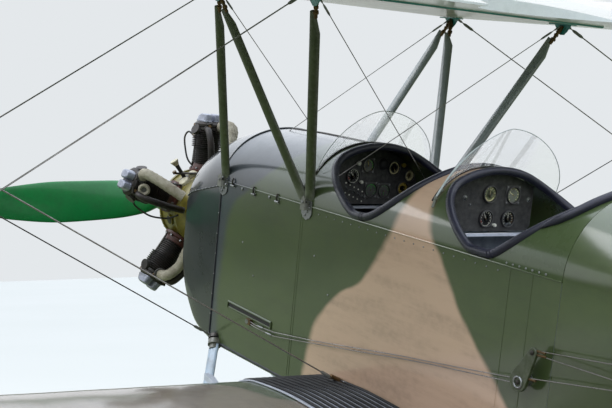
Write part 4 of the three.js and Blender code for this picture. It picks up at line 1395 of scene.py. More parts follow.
@dataclass
class SideFittings:
    """What is fixed outside the body: catches, vent, control cables and levers, plates and walkways."""

    skin: float = BODY_HALF + 0.0016
    lever_x: float = 0.4114
    lever_thick: float = 0.014
    cable_radius: float = 0.0021

    def build(self) -> None:
        """Makes the fittings on both sides."""
        self._plates()
        self._belly_edge()
        self._control_cables()
        self._levers()
        self._walkways()

    def _box(self, y: float, z: float, half: tuple[float, float], deep: float) -> Form:
        """A small block standing on the port skin."""
        low = (self.skin - 0.001, y - half[0], z - half[1])
        return brick(low, (self.skin + deep, y + half[0], z + half[1]))

    def _plates(self) -> None:
        """Catches along the decking's edge, rivets and the vent."""
        form = self._catches()
        self._add_rivets(form)
        self._add_vent(form)
        finishes = [STEEL, DARK_STEEL, DECK_METAL, DIAL_FACE_AND_SLOT_SHADE]
        make_piece("side_plates", form.both_sides(), finishes, Mount("fitting_steel"), sharp=30)

    def _catches(self) -> Form:
        """The hooked catches that hold the decking's edge down.

        Returns:
            All catches of one side.
        """
        x = self.skin
        form = Form()
        for y, z in ((0.959, 0.279), (1.155, 0.268), (1.364, 0.267)):
            form.add(self._box(y, z - 0.004, (0.016, 0.007), 0.004))
            hook = [(x + 0.006, y, z - 0.006), (x + 0.010, y, z + 0.018), (x + 0.004, y - 0.002, z + 0.032)]
            form.add(tube(hook, 0.0042, 10), tone=1)
            pin = [(x + 0.007, y + end, z - 0.004) for end in (-0.015, 0.015)]
            form.add(tube(pin, 0.0048, 12))
        return form

    def _add_rivets(self, form: Form) -> None:
        """Two large heads under the decking's edge and rows of small ones.

        Args:
            form: takes in the heads.
        """
        x = self.skin
        form.add(studded([(x, y, 0.272) for y in (1.043, 1.290)], (1, 0, 0), 0.0075, 0.005, 10))
        rows = [(y, 0.296, 0.0046) for y in spread(2.879, 3.073, 7)]
        rows += [(y, z, 0.0042) for y, z in ((1.697, 0.078), (1.825, -0.067), (1.211, -0.118), (1.09, 0.02))]
        rows += [(y, 0.262, 0.0032) for y in spread(1.70, 2.84, 20)]
        for y, z, radius in rows:
            form.add(studded([(x, y, z)], (1, 0, 0), radius, 0.003, 10))

    def _add_vent(self, form: Form) -> None:
        """The long slot with a bead round it, and a flat black plate on the skin that paints the shade inside
        the slot.

        Args:
            form: takes in the slot and its bead.
        """
        x = self.skin
        fore, aft, droop = 1.008, 1.404, 0.009
        for z, high in ((-0.2885, 0.0048), (-0.3165, 0.0014)):
            form.add(streamlined((x + 0.002, fore, z), (x + 0.002, aft, z - droop), 0.010, high * 2), tone=2)
        for y in (1.006, 1.404):
            form.add(self._box(y, -0.305 - (y - 1.006) * 0.02, (0.003, 0.015), 0.006), tone=2)
        # Painted shade: a thin black plate where the slot's inside lies in shadow
        dark = [(1.010, -0.3155), (1.400, -0.3245), (1.400, -0.3005), (1.010, -0.2915)]
        form.add(slab(dark, 0.0022, Matrix.Translation((x - 0.001, 0, 0)) @ SIDE_ON), tone=3)

    @staticmethod
    def _belly_edge() -> None:
        """A dark tube that wavers in height and thickness along the belly's lower edge, and the pale cuff at
        the wing's root.
        """
        path, radii = [], []
        for y in spread(0.870, 1.760, 60):
            sway = noise.noise(Vector((0, y * 16, 0)))
            path.append((BODY_HALF - 0.005, y, BELLY_Z + 0.009 + 0.003 * sway))
            radii.append(0.0095 + 0.0045 * noise.noise(Vector((3, y * 24, 0))))
        form = tube(path, radii, 8)
        cuff = [(1.395, -0.524), (1.745, -0.526), (1.745, -0.575), (1.600, -0.566), (1.440, -0.540)]
        form.add(slab(cuff, 0.016, Matrix.Translation((BODY_HALF - 0.020, 0, 0)) @ SIDE_ON), tone=1)
        make_piece("belly_edge", form.both_sides(), [PIPING, PALE_TRIM], Mount("body_paint"), bevel=0.002)

    def _control_cables(self) -> None:
        """The taut control cables from the vent to the lever and from the lever to the tail."""
        x = 0.3855
        upper = [
            (1.225, -0.333), (1.295, -0.338), (1.449, -0.330), (1.752, -0.287), (2.136, -0.223),
            (2.369, -0.184), (2.550, -0.158), (3.030, -0.080),
        ]
        lower = [
            (1.225, -0.343), (1.290, -0.349), (1.452, -0.348), (1.753, -0.299), (2.138, -0.235),
            (2.371, -0.195), (2.551, -0.167), (3.045, -0.094),
        ]
        form = Form()
        for run in (upper, lower):
            path = [(x + max(0.0, y - 2.6) * 0.045, y, z) for y, z in run]
            form.add(tube([(self.skin, 1.205, run[0][1] + 0.010), *path], self.cable_radius, 8))
        for y, z in ((1.335, -0.3365), (1.410, -0.3495)):
            form.add(tube([(x, y - 0.022, z), (x, y + 0.022, z + 0.001)], [0.0050, 0.0042], 10), tone=1)
        form.add(self._box(1.222, -0.338, (0.018, 0.014), 0.015), tone=2)
        form.add(drum(0.011, 0.006, (1, 0.2, 0), (self.skin + 0.012, 1.214, -0.338)), tone=1)
        runs = [
            ((3.104, 0.042), (0.226, 5.200, 0.298)),
            ((3.108, 0.030), (0.228, 5.200, 0.040)),
            ((3.076, -0.062), (0.260, 4.800, 0.226)),
        ]
        mid_lever = self.lever_x + self.lever_thick / 2
        for (y, z), end in runs:
            form.add(tube([(mid_lever, y, z), end], self.cable_radius, 8))
            form.add(tube([(mid_lever, y, z), (0.4140, y + 0.05, z + 0.002)], 0.0046, 8), tone=2)
            form.add(drum(0.016, 0.006, (1, 0.1, 0), Vector(end) + Vector((-0.003, 0, 0))), tone=1)
        make_piece("control_cables", form.both_sides(), [WIRE, STEEL, BRASS], Mount("wire_steel"))

    def _levers(self) -> None:
        """The rounded control levers on the sides, with a ring bolt and an eye."""
        low, high = Vector((3.050, -0.080)), Vector((3.104, 0.034))
        wide, narrow = 0.039, 0.0175
        along = math.atan2(high.y - low.y, high.x - low.x)
        flare = math.acos((wide - narrow) / (high - low).length)
        outline = []
        for centre, reach, turns in (
            (low, wide, spread(along + flare, along + 2 * math.pi - flare, 26)),
            (high, narrow, spread(along - flare, along + flare, 14)),
        ):
            outline += [tuple(centre + Vector((math.cos(t), math.sin(t))) * reach) for t in turns]
        plate = slab(outline, self.lever_thick, Matrix.Translation((self.lever_x, 0, 0)) @ SIDE_ON)
        trim = Form()
        trim.add(drum(0.024, self.lever_x - BODY_HALF, (1, 0, 0), (BODY_HALF, low.x, low.y)))
        face = self.lever_x + self.lever_thick
        bolt = (face, low.x + 0.004, low.y - 0.004)
        ring = circle(0.019, 24, aimed((1, 0, 0), (face + 0.001, *bolt[1:])))
        trim.add(tube(ring, 0.0042, 10, looped=True))
        trim.add(studded([bolt, (face, high.x, high.y)], (1, 0, 0), 0.009, 0.006), tone=1)
        for side, turn in SIDES:
            node = f"side_lever_{side}"
            mount = Mount("strut_paint", replaces=(node,))
            make_piece(f"{node}_plate", turn(plate), [STRUT_ENAMEL], mount, bevel=0.0022)
            bolts = [STEEL, DARK_STEEL]
            make_piece(f"{node}_bolts", turn(trim), bolts, Mount("fitting_steel"), bevel=0.0008)

    @staticmethod
    def _walkways() -> None:
        """Ribbed black treads on the lower wings beside the body."""
        plan = WingPlan("lower", *LOWER.values())
        lift = Vector((0, 0, 0.0022))

        def line(x: float, share: float) -> Vector:
            """A point just over the wing's skin."""
            return plan.point(x, share, True) + lift

        base = Form()
        shares = spread(0.012, 0.60, 30)
        # The pale sheet and the edge tube paint the grooves' highlight between the black ribs
        sheet = [[line(x, share) for x in spread(0.386, 0.752, 8)] for share in shares]
        base.add(loft(sheet, closed=False))
        base.add(tube([line(0.760, share) for share in shares], 0.0042, 8), tone=2)
        for x in spread(0.402, 0.738, 11):
            base.add(tube([line(x, share) + lift for share in shares], 0.0076, 8), tone=1)
        eye = plan.point(0.400, 0.155, True) + Vector((0, 0, 0.004))
        base.add(brick(eye + Vector((-0.020, -0.050, -0.004)), eye + Vector((0.020, 0.050, 0.004))), tone=3)
        base.add(tube([eye, eye + Vector((0.052, 0.006, 0.030))], [0.012, 0.007], 10), tone=3)
        base.add(
            studded([eye + Vector((0, y, 0.004)) for y in (-0.038, 0.038)], (0, 0, 1), 0.009, 0.007), tone=4
        )
        finishes = [WALK_BASE_SHEEN, WALK_TREAD, WALK_BASE_SHEEN, BRASS, STEEL]
        make_piece("walkways", base.both_sides(), finishes, Mount("wing_fabric"), sharp=50)


@dataclass
class Cowl:
    """The sheet-metal cowl between the firewall and the cylinders."""

    def build(self) -> None:
        """Makes the cowl's shell, its lap seams and its wired edges."""
        stations = [0.330, 0.334, 0.340, 0.350, 0.365, 0.382, *spread(0.400, 0.8496, 32)]
        rings = [body_ring(y, *smoothed(COWL, y)) for y in stations]
        inner = [self._inset(rings[0], 0.9), self._inset(rings[0], 0.5)]
        shell = loft([*reversed(inner), *rings])
        make_piece("cowl_shell", shell, [COWL_ENAMEL], Mount("cowl_metal", replaces=("cowl",)), sharp=42)
        self._lap_seams()

    @staticmethod
    def _inset(ring: Sequence[Row], share: float) -> list[Row]:
        """A ring drawn towards its centre and set back a little."""
        cz = sum(p[2] for p in ring) / len(ring)
        return [(x * share, y + 0.012, cz + (z - cz) * share) for x, y, z in ring]

    def _lap_seams(self) -> None:
        """The lapped edge between the cowl's top and side, and the wired edge at the firewall."""
        laps, dots = Form(), []
        for side in (-1, 1):
            line = [self._seam_point(side, y) for y in spread(0.402, 0.846, 44)]
            laps.add(tube(line, 0.0042, 8))
            dots += [(side, Vector(p)) for p in line[2::4]]
            edge = [(side * (BODY_HALF + 0.0035), FIREWALL_Y - 0.004, z) for z in spread(0.284, -0.512, 40)]
            laps.add(tube(edge, 0.0042, 8))
            dots += [(side, Vector(p)) for p in edge[3::5]]
        heads = Form()
        for side, spot in dots:
            heads.add(studded([spot + Vector((side * 0.002, 0, 0))], (side, 0, 0), 0.0036, 0.003, 10))
        make_piece("cowl_laps", laps, [PIPING], Mount("cowl_metal"))
        make_piece("cowl_screws", heads, [STEEL], Mount("fitting_steel"))

    @staticmethod
    def _seam_point(side: int, y: float) -> Vector:
        """A point of the piped seam on the cowl's skin.

        Args:
            side: 1 to port and -1 to starboard.
            y: the station.

        Returns:
            The point.
        """
        half, _, shoulder, top, _ = smoothed(COWL, y)
        z = smoothed(COWL_SEAM, y)[0]
        if z > shoulder:
            half *= oval((z - shoulder) / (top - shoulder))
        return Vector((side * (half + 0.001), y, z))


@dataclass
class CockpitRims:
    """The padded leather rolls round both openings."""

    radius: float = 0.0172
    step: float = 0.008

    def build(self) -> None:
        """Makes both rolls with their stitched seams."""
        for name, plan in (("front", FRONT_COCKPIT), ("rear", REAR_COCKPIT)):
            path = self._even(plan.roll_path(40), self.step)
            radii = [self.radius * (1 + 0.045 * noise.noise(point * 14)) for point in path]
            roll = tube(path, radii, 20, looped=True)
            mount = Mount("rim_leather", replaces=(f"rim_{name}",))
            piece = make_piece(f"rim_{name}_leather", roll, [RIM_HIDE], mount, sharp=180)
            threads = self._stitches(path).add(self._joins(path, plan))
            make_piece(f"rim_{name}_stitches", threads, [THREAD], Mount("rim_leather"))
        self._headrest_roll()

    def _headrest_roll(self) -> None:
        """A second hide roll over the decking behind the rear cockpit."""
        arch = [(0.325, 2.975), (0.275, 3.060), (0.200, 3.110), (0.100, 3.136), (0.0, 3.142)]
        port = []
        for x, y in arch:
            deck = deck_height(x, BODY_HALF, smoothed(DECK_TOP, y)[0])
            port.append(Vector((x, y, deck + 0.010)))
        path = rounded([*port, *[Vector((-p.x, p.y, p.z)) for p in reversed(port[:-1])]], 8)
        last = len(path) - 1
        radii = [0.0165 * min(1.0, 0.3 + 0.16 * min(i, last - i)) for i in range(last + 1)]
        roll = tube(path, radii, 18)
        piece = make_piece("headrest_roll", roll, [RIM_HIDE], Mount("rim_leather"), sharp=180)

    @staticmethod
    def _even(path: Sequence[Vector], step: float) -> list[Vector]:
        """A closed path at even steps.

        Args:
            path: the closed path.
            step: the distance between two points.

        Returns:
            The even points.
        """
        loop = [*path, path[0]]
        lengths = [(b - a).length for a, b in zip(loop, loop[1:])]
        total = sum(lengths)
        count = max(40, int(total / step))
        points, k, run = [], 0, 0.0
        for i in range(count):
            goal = total * i / count
            while run + lengths[k] < goal:
                run += lengths[k]
                k += 1
            points.append(loop[k].lerp(loop[k + 1], (goal - run) / lengths[k]))
        return points

    def _joins(self, path: Sequence[Vector], plan: CockpitPlan) -> Form:
        """The twin seams round a roll where its lengths of hide meet, at its lowest point on each side.

        Args:
            path: the roll's middle line.
            plan: the cockpit's opening.

        Returns:
            The seams of both sides.
        """
        form = Form()
        for side in (-1, 1):
            spots = [i for i, p in enumerate(path) if p.x * side > 0.3]
            nearest = min(spots, key=lambda i: abs(path[i].y - plan.low_y - 0.02))
            for step in (-1, 1):
                here, ahead = path[nearest + step], path[nearest + step + 1]
                place = aimed(ahead - here, here, beside=(0, 0, 1))
                form.add(tube(circle(self.radius * 1.03, 24, place), 0.0014, 6, looped=True))
        return form

    def _stitches(self, path: Sequence[Vector]) -> Form:
        """Short thread stitches along the outer foot of a roll.

        Args:
            path: the roll's middle line.

        Returns:
            All stitches.
        """
        form = Form()
        centre = sum(path, Vector()) / len(path)
        count = len(path)
        for i in range(0, count, 2):
            here, ahead = path[i], path[(i + 1) % count]
            along = (ahead - here).normalized()
            out = Vector((here.x - centre.x, here.y - centre.y, 0)).normalized()
            out = (out - along * out.dot(along)).normalized()
            up = along.cross(out)
            if up.z < 0:
                up = -up
            foot = here + out * self.radius * 0.86 + up * self.radius * 0.52
            form.add(tube([foot - along * 0.0026, foot + out * 0.0006, foot + along * 0.0026], 0.0009, 5))
        return form


# Wings and tail


WING_SECTION = [
    (0.0, 0.026, 0.026), (0.006, 0.037, 0.0185), (0.03, 0.0535, 0.009), (0.1, 0.0735, 0.002),
    (0.28, 0.0862, 0.0), (0.5, 0.0782, 0.0), (0.75, 0.0455, 0.0), (1.0, 0.005, 0.0),
]
SHARES = [
    0.0, 0.002, 0.006, 0.014, 0.03, 0.055, 0.1, 0.16, 0.22, 0.28,
    0.36, 0.44, 0.52, 0.6, 0.68, 0.76, 0.84, 0.92, 0.97, 1.0,
]


@dataclass(frozen=True)
class WingPlan:
    """Where one wing panel lies, to port."""

    name: str
    root_x: float
    tip_x: float
    fore_y: float
    base_z: float
    aileron_in: float = 2.950
    aileron_out: float = 5.050
    hinge_share: float = 0.755
    hinge_height: float = CHORD * 0.0222
    rib_pitch: float = 0.300
    sag_depth: float = 0.0042

    def chord_at(self, x: float) -> float:
        """The chord at a span station, falling to nothing round the tip."""
        reach = CHORD * 0.52
        return CHORD * oval(max(0.0, (x - (self.tip_x - reach)) / reach))

    def point(self, x: float, share: float, upper: bool, sag: float = 0.0) -> Vector:
        """A point of the skin.

        Args:
            x: span station.
            share: share of the chord behind the leading edge.
            upper: the top skin, or else the underside.
            sag: how far the fabric is drawn in.

        Returns:
            The point in the level frame.
        """
        chord = self.chord_at(x)
        top, under = smoothed(WING_SECTION, share)
        fore = self.fore_y + (CHORD - chord) * 0.46
        height = (top * chord - sag) if upper else (under * chord + sag * 0.6)
        rise = max(0.0, x - self.root_x) * DIHEDRAL
        return Vector((x, fore + share * chord, self.base_z + rise + height + (CHORD - chord) * 0.02))

    def stations(self, low: float, high: float) -> list[float]:
        """Span stations with a few between each pair of ribs.

        Args:
            low: the inner end.
            high: the outer end.

        Returns:
            The stations in order.
        """
        pitch, margin = self.rib_pitch / 4, 0.01
        places = [k * pitch for k in range(int(low / pitch) + 1, int(high / pitch) + 1)]
        inner = [x for x in places if low + margin < x < high - margin]
        fine = []
        if high > self.tip_x - 0.3:
            fine = [high - 0.3 * (1 - math.cos(t)) for t in spread(0, math.pi / 3, 8)]
        return sorted({round(x, 4) for x in [low, high, *inner, *fine]})

    def sag(self, x: float, share: float) -> float:
        """How far the fabric is drawn in at a place between the ribs.

        Args:
            x: the distance from the middle plane.
            share: share of the chord.

        Returns:
            The depth of the hollow.
        """
        between = math.sin(math.pi * x / self.rib_pitch) ** 2
        along = math.sin(math.pi * min(1.0, max(0.0, (share - 0.04) / 0.96))) ** 0.6 if share > 0.04 else 0.0
        return self.sag_depth * between * along

    def ring(self, x: float, low: float = 0.0, high: float = 1.0) -> list[Vector]:
        """A closed section from one share of the chord to another.

        Args:
            x: the distance from the middle plane.
            low: the share of the chord at its front.
            high: the share at its rear.

        Returns:
            The section's points, top first.
        """
        shares = [low + (high - low) * s for s in SHARES]
        top = [self.point(x, s, True, self.sag(x, s)) for s in shares]
        under = [self.point(x, s, False, self.sag(x, s)) for s in shares]
        return top + under[::-1]


def two_toned(form: Form, plan: WingPlan, seam_share: float = 0.0) -> Form:
    """Marks a wing's faces under its middle surface.

    Args:
        form: the skin.
        plan: the wing that it is part of.
        seam_share: share of the chord at which the underside's finish changes.

    Returns:
        The form, with the top as finish 0 and the underside as 1 behind the seam and 2 ahead of it.
    """
    form.tones = []
    for face in form.faces:
        centre = sum((form.verts[i] for i in face), Vector()) / len(face)
        chord = max(0.02, plan.chord_at(abs(centre.x)))
        share = (centre.y - plan.fore_y - (CHORD - chord) * 0.46) / chord
        share = min(1.0, max(0.0, share))
        skins = [plan.point(abs(centre.x), share, upper).z for upper in (True, False)]
        below = centre.z < sum(skins) / 2 + 0.0015
        form.tones.append(0 if not below else 1 if share > seam_share else 2)
    return form


@dataclass
class Wings:
    """Four wing panels with their ailerons, and the centre section; the panels' fabric dips between the ribs.
    """

    cove: float = 0.0242
    swing_gap: float = 0.007
    nose_radius: float = 0.033
    seam_share: float = 0.735
    notch_half: float = 0.33
    notch_depth: float = 0.297
    notch_back: float = 0.040

    def build(self) -> None:
        """Makes every wing piece on both sides."""
        plans = [WingPlan("upper", *UPPER.values()), WingPlan("lower", *LOWER.values())]
        for plan in plans:
            wing = two_toned(self._panel(plan), plan)
            aileron = two_toned(self._aileron(plan), plan)
            for side, turn in SIDES:
                node = f"wing_{plan.name}_{side}"
                mount = Mount("wing_fabric", replaces=(node,))
                make_piece(f"{node}_fabric", turn(wing), [WING_TOP, WING_UNDER], mount, sharp=50)
                node = f"aileron_{plan.name}_{side}"
                mount = Mount("wing_fabric", body=node, replaces=(node,))
                make_piece(f"{node}_fabric", turn(aileron), [WING_TOP, WING_UNDER], mount, sharp=50)
        self._centre_section(plans[0])

    def _panel(self, plan: WingPlan) -> Form:
        """A fixed wing panel, cut away where its aileron hangs.

        Args:
            plan: the wing it belongs to.

        Returns:
            The port panel.
        """
        cut = plan.hinge_share - self.cove
        ends = (plan.aileron_in, plan.aileron_out)
        cuts = {(x, share) for x in ends for share in (1.0, cut)}
        for x in plan.stations(plan.root_x, plan.tip_x - 0.001):
            cuts.add((x, cut if ends[0] <= x <= ends[1] else 1.0))
        middle = sum(ends) / 2
        ordered = sorted(cuts, key=lambda row: (row[0], row[1] if row[0] > middle else -row[1]))
        return loft([plan.ring(x, 0.0, high) for x, high in ordered])

    def _aileron(self, plan: WingPlan) -> Form:
        """An aileron with its round nose.

        Args:
            plan: the wing it hangs from.

        Returns:
            The port aileron.
        """
        low, high = plan.aileron_in + self.swing_gap, plan.aileron_out - self.swing_gap
        rings = []
        for x in plan.stations(low, high):
            ring = plan.ring(x, plan.hinge_share - 0.002, 1.0)
            hinge = plan.point(x, plan.hinge_share, False)
            hinge.z = plan.base_z + (x - plan.root_x) * DIHEDRAL + plan.hinge_height
            nose = []
            for turn in spread(math.radians(100), math.radians(260), 9):
                nose.append(hinge + Vector((0, math.cos(turn), math.sin(turn))) * self.nose_radius)
            behind = [p for p in ring if p.y > hinge.y + 0.004]
            rings.append(nose[::-1] + behind[::-1])
        return loft(rings)

    def _centre_section(self, plan: WingPlan) -> None:
        """The flat centre section, with the round cut-out over the front cockpit.

        Args:
            plan: the upper wing.
        """
        edge = plan.root_x - 0.0005
        rings = []
        for x in spread(-edge, edge, 41):
            depth = max(0.0, self.notch_depth * oval(x / self.notch_half) - self.notch_back)
            high = 1.0 - depth / CHORD
            shares = [high * s for s in SHARES]
            top = [self._flat(plan, x, s, True) for s in shares]
            under = [self._flat(plan, x, s, False) for s in shares]
            rings.append(top + under[::-1])
        form = two_toned(loft(rings), plan, self.seam_share)
        finishes = [WING_TOP, WING_UNDER, WING_UNDER_WARM]
        mount = Mount("wing_fabric", replaces=("centre_section",))
        make_piece("centre_section_skin", form, finishes, mount, sharp=50)
        seam = [self._flat(plan, x, self.seam_share, False) for x in (-edge, edge)]
        make_piece("centre_section_seam", tube(seam, 0.0072, 8), [TEAL_ENAMEL], Mount("wing_fabric"))

    @staticmethod
    def _flat(plan: WingPlan, x: float, share: float, upper: bool) -> Vector:
        """A point of the centre section."""
        top, under = smoothed(WING_SECTION, share)
        return Vector((x, plan.fore_y + share * CHORD, plan.base_z + (top if upper else under) * CHORD))


LEAF_SHARES = [0.0, 0.004, 0.012, 0.03, 0.07, 0.14, 0.25, 0.4, 0.55, 0.7, 0.82, 0.92, 0.98, 1.0]
Edges = Callable[[float], tuple[float, float]]


@dataclass
class TailSurfaces:
    """Stabiliser, elevator, fin and rudder in fabric, with their struts and the tail skid."""

    z: float = 0.3294
    fore_y: float = 6.140
    hinge_y: float = 6.790
    aft_y: float = 7.330
    half: float = 1.800
    thick: float = 0.056
    rudder_y: float = 7.085
    rudder_aft: float = 7.665
    rudder_top: float = 1.130
    rudder_low: float = -0.060
    rudder_nose: float = 0.025
    rudder_pins: tuple[float, float] = (0.060, 0.640)
    elevator_pin_x: float = 0.632
    tip_run: float = 0.620
    tip_reach: float = 0.600
    gap: float = 0.007
    rib_pitch: float = 0.240

    def build(self) -> None:
        """Makes the tail's pieces."""
        self._stabiliser()
        self._elevator()
        self._fin()
        self._rudder()
        self._skid()
        self._struts()

    def _leaf(
        self, spans: Sequence[float], edges: Edges, depth: Callable[[float], float]
    ) -> list[list[tuple[float, float, float]]]:
        """Rings of a thin two-sided surface.

        Args:
            spans: the stations across it.
            edges: gives the fore and aft edge at a station.
            depth: gives the half thickness at a share of the chord.

        Returns:
            For each station a ring of span, place and half-thickness offset.
        """
        rings = []
        for span in spans:
            fore, aft = edges(span)
            between = math.sin(math.pi * span / self.rib_pitch) ** 2
            ring = []
            for share in LEAF_SHARES:
                half = depth(share) * (1 - 0.10 * between * math.sin(math.pi * share))
                ring.append((span, fore + (aft - fore) * share, half))
            ring += [(s, v, -h) for s, v, h in reversed(ring)]
            rings.append(ring)
        return rings

    @staticmethod
    def _fixed_depth(thick: float) -> Callable[[float], float]:
        """Half thickness of a fixed surface: a blunt leading edge, then even."""
        return lambda share: thick * min(1.0, math.sqrt(max(0.0, share) * 5.0) * 0.9 + 0.06)

    @staticmethod
    def _hinged_depth(nose: float, nose_share: float, tail: float) -> Callable[[float], float]:
        """Half thickness of a hinged surface: a round nose, then a straight taper.

        Args:
            nose: half the thickness at the hinge line.
            nose_share: share of the chord that the nose takes.
            tail: half the thickness at the trailing edge.

        Returns:
            A function of the share of the chord.
        """
        def depth(share: float) -> float:
            """The half thickness at a share of the chord.

            Args:
                share: share of the chord.

            Returns:
                Half the thickness there.
            """
            if share < nose_share:
                return nose * oval((nose_share - share) / nose_share) + 0.0005
            return nose - (nose - tail) * (share - nose_share) / (1 - nose_share)

        return depth

    def _stabiliser(self) -> None:
        """The fixed tailplane."""
        aft = self.hinge_y - self.thick / 2 - self.gap

        def edges(x: float) -> tuple[float, float]:
            """Its curved leading edge and straight rear spar."""
            over = max(0.0, abs(x) - (self.half - self.tip_run)) / self.tip_reach
            return aft - (aft - self.fore_y) * oval(over), aft

        limit, last = self.half - self.tip_run + self.tip_reach, 0.05
        tips = [s * (limit - last * (1 - math.sin(t))) for s in (-1, 1) for t in spread(0.2, 1.45, 5)]
        spans = sorted({*spread(-limit + last, limit - last, 49), *tips})
        rings = self._leaf(spans, edges, self._fixed_depth(self.thick / 2 - 0.004))
        form = self._topped(loft([[(x, y, self.z + h) for x, y, h in ring] for ring in rings]))
        mount = Mount("wing_fabric", replaces=("stabiliser",))
        make_piece("stabiliser_fabric", form, [WING_TOP, WING_UNDER], mount, sharp=60)
        hinges = Form()
        for side in (-1, 1):
            x = side * self.elevator_pin_x
            low, high = (x - 0.012, aft - 0.03, self.z - 0.008), (x + 0.012, self.hinge_y, self.z + 0.008)
            hinges.add(brick(low, high))
            hinges.add(
                tube([(x - 0.056, self.hinge_y, self.z), (x + 0.056, self.hinge_y, self.z)], 0.009, 14)
            )
        make_piece("elevator_hinges", hinges, [STEEL], Mount("fitting_steel"))

    @staticmethod
    def _topped(form: Form) -> Form:
        """Marks the underside's faces with the second finish.

        Args:
            form: a surface made of rings round its section.

        Returns:
            The same form.
        """
        count = 2 * len(LEAF_SHARES)
        for number, face in enumerate(form.faces):
            form.tones[number] = 1 if len(face) == 4 and all(i % count >= count // 2 for i in face) else 0
        return form

    def _elevator(self) -> None:
        """The one-piece elevator with its round nose and a tube through the middle."""
        nose, inner, notch = self.thick / 2, 0.112, 0.15
        slot = (self.elevator_pin_x - 0.026, self.elevator_pin_x + 0.026)

        def edges(x: float) -> tuple[float, float]:
            """The hinge line and the curved trailing edge.

            Args:
                x: the distance from the middle plane.

            Returns:
                The front and rear edges' stations.
            """
            over = max(0.0, x - (self.half - self.tip_run)) / self.tip_reach
            aft = self.hinge_y + (self.aft_y - self.hinge_y) * oval(over)
            if x < inner + notch:
                aft = self.rudder_y - 0.01 + (x - inner) / notch * (self.aft_y - 0.06 - self.rudder_y + 0.01)
            return self.hinge_y - nose, max(aft, self.hinge_y + 0.02)

        leaf = Form()
        for low, high in ((inner, slot[0]), (slot[1], self.half - 0.022)):
            spans = sorted({*spread(low, high, 22), high - 0.01})
            rings = self._leaf(spans, edges, self._hinged_depth(nose, 0.09, 0.004))
            leaf.add(loft([[(x, y, self.z + h) for x, y, h in ring] for ring in rings]))
        bridge = brick(
            (slot[0], self.hinge_y + 0.027, self.z - 0.020), (slot[1], self.aft_y - 0.001, self.z + 0.020)
        )
        form = self._topped(leaf.both_sides())
        form.add(bridge).add(bridge.mirrored())
        form.add(tube([(x, self.hinge_y, self.z) for x in (-inner - 0.01, inner + 0.01)], 0.018, 18))
        mount = Mount("wing_fabric", body="elevator", replaces=("elevator",))
        make_piece("elevator_fabric", form, [WING_TOP, WING_UNDER], mount, sharp=60)

    def _fin(self) -> None:
        """The fixed fin, upright ahead of the rudder."""
        aft = self.rudder_y - self.rudder_nose - self.gap
        low = self.z + self.thick / 2 - 0.0036
        tall, half = 0.640, 0.018

        def edges(z: float) -> tuple[float, float]:
            """Its oval leading edge and upright post."""
            share = max(0.0, (z - low) / tall)
            return aft - (aft - self.fore_y - 0.120) * oval(share), aft

        spans = [*spread(low, low + 0.58, 16), *[low + rise for rise in (0.605, 0.622, 0.633, 0.6385)]]
        rings = self._leaf(spans, edges, self._fixed_depth(half))
        form = loft([[(h, y, z) for z, y, h in ring] for ring in rings])
        form.add(brick((-half, aft - 0.06, 0.3054), (half, aft, low + 0.002)))
        make_piece("fin_fabric", form, [WING_TOP], Mount("wing_fabric", replaces=("fin",)), sharp=60)

    def _rudder(self) -> None:
        """The rudder, round at its head and foot."""
        waist, slot = 0.430, 0.014

        def edges(z: float) -> tuple[float, float]:
            """The nose and the curved trailing edge.

            Args:
                z: the height.

            Returns:
                The front and rear edges' stations.
            """
            reach = (self.rudder_top - waist) if z > waist else (waist - self.rudder_low)
            share = oval(abs(z - waist) / reach)
            aft = self.rudder_y + (self.rudder_aft - self.rudder_y) * share + 0.004
            return self.rudder_y - self.rudder_nose, aft

        form = Form()
        foot, head = self.rudder_low + 0.001, self.rudder_top - 0.001
        low_pin, high_pin = self.rudder_pins
        tip = [0.05 * (1 - math.sin(t)) for t in spread(0.3, 1.45, 5)]
        for low, high in ((foot, low_pin - slot), (low_pin + slot, high_pin - slot), (high_pin + slot, head)):
            spans = {*spread(low, high, max(5, int((high - low) / 0.03)))}
            if high == head:
                spans |= {head - rise for rise in tip}
            if low == foot:
                spans |= {foot + rise for rise in tip}
            rings = self._leaf(sorted(spans), edges, self._hinged_depth(self.rudder_nose, 0.07, 0.0045))
            form.add(loft([[(h, y, z) for z, y, h in ring] for ring in rings]))
        for z in self.rudder_pins:
            form.add(brick((-0.02, self.rudder_y + 0.026, z - 0.02), (0.02, self.rudder_y + 0.40, z + 0.02)))
        mount = Mount("wing_fabric", body="rudder", replaces=("rudder",))
        make_piece("rudder_fabric", form, [WING_TOP], mount, sharp=60)
        hinges = Form()
        for z in self.rudder_pins:
            eye = self.rudder_y + 0.012
            hinges.add(brick((-0.012, self.rudder_y - 0.05, z - 0.006), (0.012, eye, z + 0.006)))
            hinges.add(tube([(0, self.rudder_y, z - 0.032), (0, self.rudder_y, z + 0.032)], 0.007, 14))
        make_piece("rudder_hinges", hinges, [STEEL], Mount("fitting_steel"))

    def _struts(self) -> None:
        """The two stabiliser struts."""
        low, high = (0.112, 6.420, -0.068), (0.893, 6.559, self.z - self.thick / 2 - 0.002)
        for side, name in ((1, "port"), (-1, "starboard")):
            bar = streamlined((side * low[0], *low[1:]), (side * high[0], *high[1:]), 0.034, 0.020)
            mount = Mount("strut_paint", replaces=(f"tail_strut_{name}",))
            make_piece(f"tail_strut_{name}_oval", bar, [STRUT_ENAMEL], mount)

    @staticmethod
    def _skid() -> None:
        """The ash bar on its steel shoe, held by a leg bound with rubber cord."""
        def ground(y: float) -> float:
            """Height of the ground in the level frame."""
            return (y * math.sin(PARKED_PITCH) - 1.72399) / math.cos(PARKED_PITCH)

